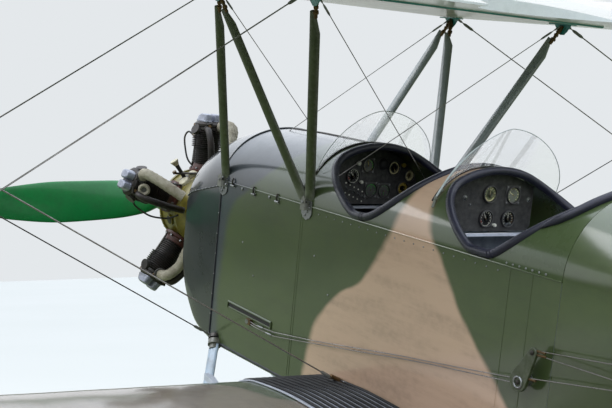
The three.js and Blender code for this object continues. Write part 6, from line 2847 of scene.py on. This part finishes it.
@dataclass
class Interior:
    """Inside both cockpits: paint, frames, floor boards, rudder bars, seats with cushions, and sticks."""

    wall: float = 0.3466
    floor_z: float = -0.5046
    swell: float = 0.009

    def build(self) -> None:
        """Makes everything inside the tub."""
        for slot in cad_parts["body_tub"].material_slots:
            slot.material = INTERIOR_PAINT.material()
        self._frames()
        self._floor()
        for name, back_y, stick_y, bar_y in (("front", 2.290, 1.760, 1.180), ("rear", 3.080, 2.550, 2.400)):
            self._seat(name, back_y)
            self._stick(name, stick_y)
            self._rudder_bar(name, bar_y)

    def _frames(self) -> None:
        """Uprights, longerons and bracing wires along the inner walls."""
        wood, wires = Form(), Form()
        x = self.wall
        for bay in ((0.90, 1.15, 1.42, 1.70, 2.00, 2.28), (2.345, 2.60, 2.86, 3.11)):
            for y in bay:
                wood.add(brick((x - 0.020, y - 0.009, self.floor_z), (x, y + 0.009, 0.284)))
            for z in (0.262, -0.105, -0.482):
                wood.add(brick((x - 0.024, bay[0], z), (x, bay[-1], z + 0.022)))
            for fore, aft in zip(bay, bay[1:]):
                for low, high in ((-0.46, -0.105), (-0.083, 0.262)):
                    wires.add(tube([(x - 0.010, fore, low), (x - 0.010, aft, high)], 0.0018, 6))
                    wires.add(tube([(x - 0.013, fore, high), (x - 0.013, aft, low)], 0.0018, 6))
        make_piece("cockpit_frames", wood.both_sides(), [INTERIOR_PAINT], Mount("body_paint"), bevel=0.0018)
        make_piece("cockpit_bracing", wires.both_sides(), [WIRE], Mount("wire_steel"))

    def _floor(self) -> None:
        """Floor boards with gaps and screws."""
        boards, screws = Form(), Form()
        for low, high in ((0.90, 2.28), (2.35, 3.10)):
            for k in range(6):
                x = -0.285 + k * 0.096
                boards.add(brick((x, low, self.floor_z), (x + 0.090, high, self.floor_z + 0.009)))
                rows = (low + 0.04, (low + high) / 2, high - 0.04)
                spots = [(x + off, y, self.floor_z + 0.009) for off in (0.015, 0.075) for y in rows]
                screws.add(studded(spots, (0, 0, 1), 0.005, 0.0016, 8))
        make_piece("floor_boards", boards, [SPRUCE], Mount("body_paint"), bevel=0.0015)
        make_piece("floor_screws", screws, [BRASS], Mount("fitting_steel"))

    def _seat(self, name: str, back_y: float) -> None:
        """A sheet-metal bucket seat on its frame, with a seat and a back cushion.

        Args:
            name: the cockpit's name.
            back_y: the station of the seat's back.
        """
        move = Matrix.Translation((0, back_y, 0))
        half, fore, pan_z = 0.188, -0.398, -0.178
        form = brick((-half, fore, pan_z), (half, -0.006, -0.171))
        port = [(half, pan_z), (half, 0.110), (0.176, 0.142), (0.148, 0.162)]
        back = [(-half, pan_z), *port, *[(-x, z) for x, z in reversed(port[1:])]]
        form.add(slab(back, 0.007, Matrix.Translation((0, -0.010, 0)) @ FACING_FORE))
        slope = [(fore, -0.112), (-0.170, -0.080), (-0.080, -0.040), (-0.034, 0.040)]
        cheek = [(fore, pan_z), (-0.010, pan_z), (-0.010, 0.108), *reversed(slope)]
        for x in (-half, half - 0.005):
            form.add(slab(cheek, 0.005, Matrix.Translation((x, 0, 0)) @ SIDE_ON))
        lip = [(half - 0.002, y, z) for y, z in (*slope, (-0.014, 0.108))]
        arch = [(0.176, -0.014, 0.142), (0.148, -0.014, 0.164), (0.0, -0.014, 0.166)]
        edge = rounded([*lip, *arch], 4)
        edge += [Vector((-p.x, p.y, p.z)) for p in reversed(edge[:-1])]
        form.add(tube(edge, 0.0062, 10))
        legs = Form()
        for x in (-0.135, 0.135):
            for low_y, high_y in ((-0.360, -0.345), (-0.020, -0.045)):
                legs.add(tube([(x, low_y, self.floor_z + 0.009), (x, high_y, -0.180)], 0.0125, 14))
            legs.add(tube([(x, -0.350, -0.22), (x, -0.030, -0.46)], 0.0085, 12))
            legs.add(brick((x - 0.022, -0.390, -0.194), (x + 0.022, -0.010, -0.178)))
        legs.add(tube([(-0.135, -0.350, -0.33), (0.135, -0.350, -0.33)], 0.0085, 12))
        mount = Mount("fitting_steel", replaces=(f"seat_{name}",))
        make_piece(f"seat_{name}_bucket", form.moved(move), [SEAT_ALLOY], mount, sharp=40)
        make_piece(f"seat_{name}_frame", legs.moved(move), [DARK_STEEL], Mount("fitting_steel"), sharp=40)
        flat = Matrix.Translation((0, back_y - 0.212, -0.150))
        leaning = Matrix.Rotation(math.pi / 2 - 0.04, 4, "X")
        upright = Matrix.Translation((0, back_y - 0.036, -0.002)) @ leaning
        self._cushion(f"seat_{name}_cushion", (0.158, 0.168, 0.014), flat)
        self._cushion(f"seat_{name}_back_pad", (0.150, 0.118, 0.008), upright)

    def _cushion(self, name: str, half: tuple[float, float, float], place: Matrix) -> None:
        """One crowned hide cushion with a piped edge.

        Args:
            name: the piece's name.
            half: half its width, length and depth.
            place: where it lies.
        """
        wide, long, deep = half
        rings = []
        for level, share in ((-1.0, 0.90), (-0.6, 0.985), (0.0, 1.0), (0.6, 0.985), (1.0, 0.90)):
            ring = []
            for turn in even_turns(64):
                c, s = math.cos(turn), math.sin(turn)
                pull = 1 - 0.035 * math.sin(2 * turn) ** 2
                x = math.copysign(abs(c) ** 0.28, c) * wide * share * (
                    0.965 + 0.035 * abs(math.sin(2 * turn))
                )
                y = math.copysign(abs(s) ** 0.28, s) * long * share * pull
                ring.append((x, y, level * deep))
            rings.append(ring)
        crown = [[(x * k, y * k, z + 0.010 * (1 - k)) for x, y, z in rings[-1]] for k in (0.8, 0.5, 0.2)]
        floor_rings = [[(x * k, y * k, z) for x, y, z in rings[0]] for k in (0.2, 0.5, 0.8)]
        form = loft([*floor_rings, *rings, *crown]).moved(place)
        pad = make_piece(name, form, [SEAT_HIDE], Mount("rim_leather"), sharp=180)
        inflated(pad, self.swell)
        piping = [place @ Vector((x * 1.012, y * 1.012, z)) for x, y, z in rings[2]]
        trim = tube(piping, 0.0036, 8, looped=True)
        make_piece(f"{name}_piping", trim, [RIM_HIDE], Mount("rim_leather"))

    @staticmethod
    def _stick(name: str, y: float) -> None:
        """A control stick with a moulded grip and a gaiter.

        Args:
            name: the cockpit's name.
            y: the station of its foot.
        """
        form = tube([(0, y, -0.494), (0, y + 0.002, -0.46), (0, y + 0.040, 0.040)], 0.0112, 16)
        axis = Vector((0, 0.006, 0.120)).normalized()
        foot = Vector((0, y + 0.040, 0.030))
        grip = [
            (0.0, 0.0), (0.013, 0.0), (0.0175, 0.006), (0.0168, 0.020), (0.0182, 0.032), (0.0165, 0.044),
            (0.0182, 0.056),
        ]
        grip += [
            (0.0165, 0.068), (0.0180, 0.082), (0.0165, 0.098), (0.0178, 0.110), (0.0140, 0.119),
            (0.0, 0.1205),
        ]
        form.add(lathe(grip, 24, aimed(axis, foot)), tone=1)
        gaiter = [(0.0, 0.0), (0.040, 0.0), (0.040, 0.006)]
        for k in range(5):
            gaiter += [(0.036 - 0.0050 * k, 0.010 + 0.011 * k), (0.039 - 0.0050 * k, 0.015 + 0.011 * k)]
        gaiter += [(0.0130, 0.070), (0.0, 0.071)]
        form.add(lathe(gaiter, 28, aimed((0, 0.03, 1), (0, y, -0.5040))), tone=1)
        form.add(drum(0.005, 0.008, (1, 0, 0), foot + axis * 0.1 + Vector((0.014, 0, 0))), tone=2)
        mount = Mount("fitting_steel", replaces=(f"stick_{name}",))
        make_piece(f"stick_{name}_rod", form, [DARK_STEEL, RUBBER, BRASS], mount, sharp=40)

    def _rudder_bar(self, name: str, y: float) -> None:
        """A rudder bar with ribbed pedals on a post.

        Args:
            name: the cockpit's name.
            y: its station.
        """
        form = tube([(-0.215, y, -0.400), (0.215, y, -0.400)], 0.0125, 16)
        form.add(tube([(0, y, self.floor_z), (0, y, -0.386)], [0.022, 0.016], 16))
        for side in (-1, 1):
            x = side * 0.165
            form.add(brick((x - 0.045, y + 0.010, -0.430), (x + 0.045, y + 0.020, -0.340)), tone=1)
            for z in (-0.415, -0.395, -0.375, -0.355):
                form.add(tube([(x - 0.044, y + 0.021, z), (x + 0.044, y + 0.021, z)], 0.0036, 8), tone=2)
        finishes = [DARK_STEEL, SEAT_ALLOY, RUBBER]
        make_piece(f"rudder_bar_{name}", form, finishes, Mount("fitting_steel"), bevel=0.0008)


# Cockpit glass and instruments


@dataclass(frozen=True)
class ScreenPlan:
    """One windscreen: where it stands and how its top edge curves on each side."""

    name: str
    base_y: float
    crown: float
    rake: float
    half_port: float
    half_starboard: float
    power_port: float
    power_starboard: float
    curve: float = 0.3
    end_z: float = 0.445

    def arch(self, x: float) -> float:
        """Height of the top edge at a distance from the middle plane.

        Args:
            x: the distance, positive to port.

        Returns:
            The height.
        """
        half = self.half_port if x > 0 else self.half_starboard
        power = self.power_port if x > 0 else self.power_starboard
        share = max(0.0, 1 - (abs(x) / half) ** power) ** (1 / power)
        return self.end_z + (self.crown - self.end_z) * share

    def point(self, x: float, share: float) -> Vector:
        """A point of the sheet, from its foot to its top edge.

        Args:
            x: the distance from the middle plane.
            share: 0 at the foot and 1 at the top edge.

        Returns:
            The point.
        """
        foot = deck_height(x) + 0.003
        top = max(self.arch(x), foot + 0.004)
        z = foot + (top - foot) * share
        return Vector((x, self.base_y + self.curve * x * x + self.rake * (z - foot), z))


FRONT_SCREEN = ScreenPlan("front", 1.552, 0.722, 0.32, 0.330, 0.310, 1.5, 2.2)
REAR_SCREEN = ScreenPlan("rear", 2.341, 0.736, 0.62, 0.320, 0.320, 1.4, 2.0, 0.43)


@dataclass
class Windscreens:
    """Both acrylic screens, with the rubber strip at their feet and a bolted rod at the rear screen's upper
    port corner.
    """

    thick: float = 0.0028

    def build(self) -> None:
        """Makes each screen's sheet and its trim."""
        for plan in (FRONT_SCREEN, REAR_SCREEN):
            columns = spread(-plan.half_starboard + 0.001, plan.half_port - 0.001, 61)
            rings = []
            for x in columns:
                face = [plan.point(x, s) for s in spread(0.0, 1.0, 13)]
                back = [p + Vector((0, self.thick, 0)) for p in reversed(face)]
                rings.append(face + back)
            node = f"windscreen_{plan.name}"
            make_piece(
                f"{node}_sheet", loft(rings), [ACRYLIC], Mount("windscreen", replaces=(node,)), sharp=50
            )
            trim = tube([plan.point(x, 0.0) + Vector((0, -0.004, 0.001)) for x in columns], 0.0060, 12)
            # The pale tube along the top edge paints the sheet's highlight; on the rear screen a thicker tube
            # over the port end paints a broader highlight
            edge = [plan.point(x, 1.0) + Vector((0, self.thick / 2, 0)) for x in columns]
            trim.add(tube(edge, 0.0017, 8), tone=1)
            if plan is REAR_SCREEN:
                edge_wear_and_glint = edge[44:]
                trim.add(tube(edge_wear_and_glint, [0.0017 + 0.0005 * min(k, 5) for k in range(len(edge_wear_and_glint))], 10), tone=1)
                rod = [
                    edge[-1] + Vector((-0.030, -0.004, 0.030)), edge[-1],
                    edge[-1] + Vector((0.016, 0.006, -0.038)),
                ]
                trim.add(tube(rod, 0.0056, 12), tone=2)
                trim.add(studded([rod[0], rod[1]], (0.6, 0.8, 0.0), 0.008, 0.010), tone=3)
            finishes = [RUBBER, SCREEN_EDGE_GLINT, STRUT_ENAMEL, STEEL]
            make_piece(f"{node}_trim", trim, finishes, Mount("windscreen"))


class DialKind(Enum):
    """The shapes of what stands on a panel."""

    ROUND = "round"
    SQUARE = "square"
    DOME = "dome"
    KNOB = "knob"
    SCREW = "screw"
    TOGGLE = "toggle"


class Tone(Enum):
    """The finishes of the instruments, in their order on the mesh."""

    BEZEL = 0
    BLACK = 1
    CREAM = 2
    WHITE = 3
    GREEN = 4
    YELLOW = 5
    RED = 6
    STEEL = 7
    BRASS = 8
    OLIVE = 9


INSTRUMENT_FINISHES = [
    PANEL_BLACK, DIAL_FACE_AND_SLOT_SHADE, DIAL_CREAM, DIAL_WHITE, DIAL_GREEN, DIAL_YELLOW, DIAL_RED, STEEL, BRASS,
    DIAL_OLIVE,
]


@dataclass(frozen=True)
class Dial:
    """One instrument, knob or screw on a panel."""

    x: float
    z: float
    radius: float
    kind: DialKind = DialKind.ROUND
    face: Tone = Tone.BLACK
    marks: Tone = Tone.WHITE
    arc: tuple[Tone, float, float] | None = None
    needle: float = 30.0
    ringed: bool = False

    def form(self, panel_y: float) -> Form:
        """The instrument's mesh on the panel's aft face.

        Args:
            panel_y: the station of that face.

        Returns:
            The mesh in its place.
        """
        place = aimed((0, 1, 0), (self.x, panel_y, self.z), beside=(0, 0, 1))
        makers = {
            DialKind.ROUND: self._round, DialKind.SQUARE: self._round, DialKind.DOME: self._dome,
            DialKind.KNOB: self._knob, DialKind.SCREW: self._screw, DialKind.TOGGLE: self._toggle,
        }
        return makers[self.kind]().moved(place)

    def glass(self, panel_y: float) -> Form:
        """The thin cover over a dial's face.

        Args:
            panel_y: the station of the panel's aft face.

        Returns:
            The cover in its place.
        """
        place = aimed((0, 1, 0), (self.x, panel_y, self.z), beside=(0, 0, 1))
        r = self.radius * 0.86
        return lathe([(0.0, 0.0078), (r, 0.0074), (r, 0.0086), (0.0, 0.0092)], 28, place)

    def _round(self) -> Form:
        """A dial with a bezel, marks, a needle and, if square, a flange with four screws.

        Returns:
            The dial, facing up.
        """
        r = self.radius
        form = Form()
        if self.kind is DialKind.SQUARE:
            side = r * 1.04
            form.add(brick((-side, -side, 0.0), (side, side, 0.004)), tone=Tone.BEZEL.value)
            corners = [(sx * side * 0.84, sy * side * 0.84, 0.004) for sx in (-1, 1) for sy in (-1, 1)]
            form.add(studded(corners, (0, 0, 1), 0.0042, 0.0022, 10), tone=Tone.STEEL.value)
        bezel = [
            (r * 0.84, 0.003), (r * 0.86, 0.0095), (r * 0.92, 0.012), (r * 0.98, 0.0105), (r, 0.006),
            (r, 0.0),
        ]
        rings = [circle(a, 40, Matrix.Translation((0, 0, h))) for a, h in bezel]
        form.add(loft(rings, capped=False), tone=Tone.BEZEL.value)
        form.add(
            lathe([(0.0, 0.0), (r * 0.85, 0.0), (r * 0.85, 0.0034), (0.0, 0.0034)], 36), tone=self.face.value
        )
        for k in range(11):
            form.add(
                self._tick(-135 + 27 * k, 0.62, 0.78, 0.0016 if k % 2 else 0.0026), tone=self.marks.value
            )
        if self.ringed:
            form.add(self._arc(0.79, 0.835, 0, 360), tone=Tone.WHITE.value)
        if self.arc:
            form.add(self._arc(0.66, 0.80, self.arc[1], self.arc[2]), tone=self.arc[0].value)
        form.add(self._tick(self.needle, -0.12, 0.60, 0.0026, lift=0.0012), tone=self.marks.value)
        form.add(
            lathe([(0, 0.0034), (r * 0.10, 0.0034), (r * 0.08, 0.0062), (0, 0.0066)], 14),
            tone=Tone.BRASS.value,
        )
        return form

    def _tick(self, degrees: float, low: float, high: float, wide: float, lift: float = 0.0) -> Form:
        """A short bar along a dial's radius; 0 is up and positive is clockwise.

        Args:
            degrees: the bar's direction.
            low: its inner end as a share of the radius.
            high: its outer end.
            wide: its width.
            lift: how far it lies over the face.

        Returns:
            The bar.
        """
        turn = Matrix.Rotation(-math.radians(degrees), 4, "Z")
        r = self.radius
        return brick((-wide / 2, low * r, 0.0035 + lift), (wide / 2, high * r, 0.0042 + lift)).moved(turn)

    def _arc(self, low: float, high: float, start: float, end: float) -> Form:
        """A flat coloured arc on a dial's face.

        Args:
            low: its inner edge as a share of the radius.
            high: its outer edge.
            start: where it starts, in degrees.
            end: where it ends.

        Returns:
            The arc.
        """
        rings = []
        for degrees in spread(start, end, max(4, int(abs(end - start) / 9))):
            turn = math.pi / 2 - math.radians(degrees)
            c, s = math.cos(turn) * self.radius, math.sin(turn) * self.radius
            corners = ((low, 0.0036), (high, 0.0036), (high, 0.0041), (low, 0.0041))
            rings.append([(c * reach, s * reach, z) for reach, z in corners])
        return loft(rings)

    def _dome(self) -> Form:
        """A domed compass bowl.

        Returns:
            The bowl, facing up.
        """
        r = self.radius
        profile = [(r, 0.0), (r, 0.006), (r * 0.92, 0.010)]
        profile += [
            (r * 0.86 * math.cos(t), 0.010 + r * 0.55 * math.sin(t)) for t in spread(0, math.pi / 2, 9)
        ]
        return lathe([(0.0, 0.0), *profile], 36)

    def _knob(self) -> Form:
        """A small turned knob.

        Returns:
            The knob, facing up.
        """
        r = self.radius
        profile = [
            (0, 0), (r * 0.7, 0), (r * 0.7, 0.006), (r, 0.008), (r, 0.014), (r * 0.8, 0.0175), (0, 0.018)
        ]
        form = lathe(profile, 20)
        form.tones = [self.face.value] * len(form.faces)
        return form

    def _screw(self) -> Form:
        """A round-headed screw in a washer, with a raised black cross that paints the shade of its slot.

        Returns:
            The screw, facing up.
        """
        r = self.radius
        washer, head = [(0, 0), (r * 1.25, 0), (r * 1.25, 0.0012)], [
            (r, 0.0014), (r * 0.85, 0.0042), (r * 0.4, 0.0056)
        ]
        form = lathe([*washer, *head, (0, 0.006)], 22)
        form.tones = [Tone.STEEL.value] * len(form.faces)
        # The black cross stands proud of the head and paints the shade of a cross slot
        for turn in (0.4, 0.4 + math.pi / 2):
            cross = brick(
                (-r * 0.6, -0.0007, 0.0050), (r * 0.6, 0.0007, 0.0062)
            ).moved(Matrix.Rotation(turn, 4, "Z"))
            form.add(cross, tone=Tone.BLACK.value)
        return form

    def _toggle(self) -> Form:
        """A toggle switch with a nut above and a label plate below it.

        Returns:
            The switch, facing up.
        """
        form = Form()
        form.add(lathe([(0, 0), (0.0062, 0), (0.0062, 0.003), (0, 0.003)], 6), tone=Tone.STEEL.value)
        lever = [(0, 0, 0.002), (0.004, -0.006, 0.012), (0.007, -0.012, 0.020)]
        form.add(tube(lever, [0.0024, 0.0022, 0.0032], 10), tone=Tone.STEEL.value)
        spots = [(0.0, 0.020, 0.0), (0.0, -0.026, 0.0)]
        return form.add(studded(spots, (0, 0, 1), 0.0034, 0.002, 10), tone=Tone.WHITE.value)


FRONT_DIALS = [
    Dial(0.027, 0.466, 0.0115, DialKind.KNOB, Tone.WHITE),
    Dial(
        -0.034, 0.456, 0.034, DialKind.SQUARE, Tone.BLACK, Tone.YELLOW, arc=(Tone.GREEN, 10, 120), needle=-10
    ),
    Dial(-0.120, 0.465, 0.030, DialKind.DOME),
    Dial(-0.188, 0.447, 0.036, DialKind.ROUND, Tone.BLACK, Tone.CREAM, arc=(Tone.CREAM, 0, 360), needle=160),
    Dial(-0.240, 0.462, 0.0105, DialKind.KNOB, Tone.YELLOW),
    Dial(-0.284, 0.413, 0.030, DialKind.ROUND, Tone.CREAM, Tone.BLACK, needle=200),
    Dial(
        0.048, 0.405, 0.038, DialKind.ROUND, Tone.BLACK, arc=(Tone.RED, -128, -100), needle=-40, ringed=True
    ),
    Dial(0.002, 0.378, 0.008, DialKind.KNOB, Tone.WHITE),
    Dial(-0.062, 0.340, 0.036, DialKind.SQUARE, Tone.BLACK, Tone.GREEN, arc=(Tone.GREEN, -60, 60), needle=0),
    Dial(-0.140, 0.336, 0.035, DialKind.SQUARE, Tone.OLIVE, Tone.GREEN, needle=185),
    Dial(-0.250, 0.350, 0.034, DialKind.ROUND, Tone.YELLOW, Tone.BLACK, needle=60),
    Dial(0.092, 0.296, 0.009, DialKind.SCREW),
    Dial(0.200, 0.420, 0.007, DialKind.SCREW),
    Dial(-0.310, 0.350, 0.007, DialKind.SCREW),
    *[Dial(0.083 - 0.0247 * k, 0.352 - 0.0100 * k, 0.006, DialKind.TOGGLE) for k in range(5)],
]
REAR_DIALS = [
    Dial(0.022, 0.464, 0.036, DialKind.ROUND, Tone.OLIVE, Tone.CREAM, arc=(Tone.CREAM, 120, 240), needle=5),
    Dial(
        -0.106, 0.461, 0.037, DialKind.SQUARE, Tone.BLACK, Tone.CREAM, arc=(Tone.OLIVE, -150, 150),
        needle=-60,
    ),
    Dial(
        0.030, 0.364, 0.036, DialKind.ROUND, Tone.BLACK, arc=(Tone.RED, -128, -100), needle=-30, ringed=True
    ),
    Dial(-0.090, 0.362, 0.035, DialKind.ROUND, Tone.BLACK, Tone.WHITE, arc=(Tone.BRASS, 30, 130), needle=0),
    Dial(-0.016, 0.338, 0.007, DialKind.KNOB, Tone.WHITE),
    Dial(0.151, 0.447, 0.0095, DialKind.SCREW),
    Dial(-0.200, 0.441, 0.0095, DialKind.SCREW),
    Dial(0.168, 0.330, 0.0095, DialKind.SCREW),
    Dial(0.120, 0.420, 0.004, DialKind.SCREW),
]


@dataclass
class Panels:
    """Both instrument panels with everything on them."""

    def build(self) -> None:
        """Makes each panel's plate, its instruments and their glasses."""
        for name, y, half, low, dials in (
            ("front", 1.475, 0.335, 0.273, FRONT_DIALS),
            ("rear", 2.372, 0.223, 0.312, REAR_DIALS),
        ):
            mid = BODY_HALF - 0.009
            outline = [(x, deck_height(x, mid, DECK_Z - 0.019)) for x in spread(-half, half, 41)]
            corner = 0.02 if name == "rear" else 0.004
            foot = [(-half, low + corner), (-half + corner, low), (half - corner, low), (half, low + corner)]
            face = y + 0.003
            plate = slab(foot + outline[::-1], 0.006, Matrix.Translation((0, face, 0)) @ FACING_FORE)
            mount = Mount("panel_black", replaces=(f"panel_{name}",))
            make_piece(f"panel_{name}_plate", plate, [PANEL_BLACK], mount, bevel=0.0012)
            instruments, covers = Form(), Form()
            for dial in dials:
                instruments.add(dial.form(face))
                if dial.kind in (DialKind.ROUND, DialKind.SQUARE):
                    covers.add(dial.glass(face))
            make_piece(
                f"instruments_{name}", instruments, INSTRUMENT_FINISHES, Mount("panel_black"), sharp=40
            )
            make_piece(f"instrument_glasses_{name}", covers, [DIAL_GLASS], Mount("windscreen"))
            lip = [(half * 0.98, y + 0.016, low - 0.014), (-half * 0.98, y + 0.016, low - 0.014)]
            make_piece(
                f"panel_{name}_tray", streamlined(*lip, 0.046, 0.014), [PALE_TRIM], Mount("body_paint")
            )


@dataclass
class Studio:
    """The camera, the pale floor and the soft light."""

    focal_pixels: float = 1181
    photo_width: float = 612
    sensor: float = 36
    camera_at: tuple[float, float, float] = (3.295, 2.4025, 1.485)
    yaw: float = 0.594
    pitch: float = 0.037
    roll: float = -0.0215

    def build(self) -> None:
        """Makes the camera first, then the floor and the lights."""
        self._camera()
        self._floor()
        self._lights()

    def _camera(self) -> None:
        """The camera at the photograph's place and angle."""
        data = bpy.data.cameras.new("photo_camera")
        data.lens = self.focal_pixels / self.photo_width * self.sensor
        data.sensor_width = self.sensor
        data.sensor_fit = "HORIZONTAL"
        data.clip_start, data.clip_end = 0.05, 200.0
        level = math.cos(self.pitch)
        forward = Vector((-math.sin(self.yaw) * level, -math.cos(self.yaw) * level, math.sin(self.pitch)))
        right = forward.cross(Vector((0, 0, 1))).normalized()
        up = right.cross(forward)
        turned_right = right * math.cos(self.roll) + up * math.sin(self.roll)
        turned_up = up * math.cos(self.roll) - right * math.sin(self.roll)
        turn = Matrix((turned_right, turned_up, -forward)).transposed().to_4x4()
        camera = bpy.data.objects.new("photo_camera", data)
        camera.matrix_world = Matrix.Translation(self.camera_at) @ turn
        bpy.context.scene.collection.objects.link(camera)
        bpy.context.scene.camera = camera

    @staticmethod
    def _floor_paint() -> bpy.types.Material:
        """Pale paint that throws back less light than it shows.

        Returns:
            The floor's material.
        """
        made = bpy.data.materials.new("studio_floor_paint")
        made.use_nodes = True
        wires = Wiring(made.node_tree)
        wires.tree.nodes.clear()
        place = wires.node("ShaderNodeTexCoord", {}).outputs["Object"]
        pale = wires.mix(wires.noise(place, 0.2), linear(178, 180, 176), linear(186, 187, 184))
        seen = wires.node("ShaderNodeLightPath", {}).outputs["Is Camera Ray"]
        shader = {"Base Color": wires.mix(seen, (0.17, 0.20, 0.11, 1), pale), "Roughness": 0.9}
        paint = wires.node("ShaderNodeBsdfPrincipled", shader).outputs[0]
        wires.node("ShaderNodeOutputMaterial", {"Surface": paint})
        return made

    def _floor(self) -> None:
        """A wide flat pale floor."""
        mesh = bpy.data.meshes.new("studio_floor")
        reach = 60.0
        corners = [(-reach, -reach, 0), (reach, -reach, 0), (reach, reach, 0), (-reach, reach, 0)]
        mesh.from_pydata(corners, [], [(0, 1, 2, 3)])
        made = bpy.data.objects.new("studio_floor", mesh)
        bpy.context.scene.collection.objects.link(made)
        mesh.materials.append(self._floor_paint())

    @staticmethod
    def _lights() -> None:
        """A bright soft sky and two large soft lamps."""
        scene = bpy.context.scene
        scene.view_settings.view_transform = "Standard"
        world = bpy.data.worlds.new("soft_sky")
        scene.world = world
        world.use_nodes = True
        wires = Wiring(world.node_tree)
        wires.tree.nodes.clear()
        way = wires.node("ShaderNodeTexCoord", {}).outputs["Generated"]
        height = wires.node("ShaderNodeSeparateXYZ", {0: way}).outputs[2]
        open_sky = wires.mix(wires.ranged(height, 0.1, 0.9), (1.08, 1.11, 1.14, 1), (1.95, 2.10, 2.32, 1))
        lit = wires.mix(wires.ranged(height, 0.04, 0.10), (0.055, 0.075, 0.04, 1), open_sky)
        seen = wires.node("ShaderNodeLightPath", {}).outputs["Is Camera Ray"]
        back = wires.node("ShaderNodeBackground", {0: wires.mix(seen, lit, linear(228, 232, 235))})
        wires.node("ShaderNodeOutputWorld", {0: back.outputs[0]})
        spots = [("key", (6.0, -5.0, 9.0), 420.0, 7.0), ("side", (9.0, 7.0, 5.0), 60.0, 6.0)]
        for name, place, power, size in spots:
            data = bpy.data.lights.new(f"{name}_lamp", "AREA")
            data.energy, data.size = power, size
            lamp = bpy.data.objects.new(f"{name}_lamp", data)
            aim = Vector((0, 0, 1)) - Vector(place)
            turn = aim.to_track_quat("-Z", "Y").to_matrix().to_4x4()
            lamp.matrix_world = Matrix.Translation(place) @ turn
            scene.collection.objects.link(lamp)


def main() -> None:
    """Builds every sub-assembly in order."""
    logging.basicConfig(level=logging.INFO, format="%(message)s")
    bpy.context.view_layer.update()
    Studio().build()
    parts = [
        Interior(), Body(), SideFittings(), Cowl(), CockpitRims(), Wings(), TailSurfaces(), Struts(),
        Rigging(), Engine(),
        Propeller(), Undercarriage(), Windscreens(), Panels(),
    ]
    for part in parts:
        part.build()
        LOG.info("built %s", type(part).__name__)


if __name__ == "__main__":
    main()
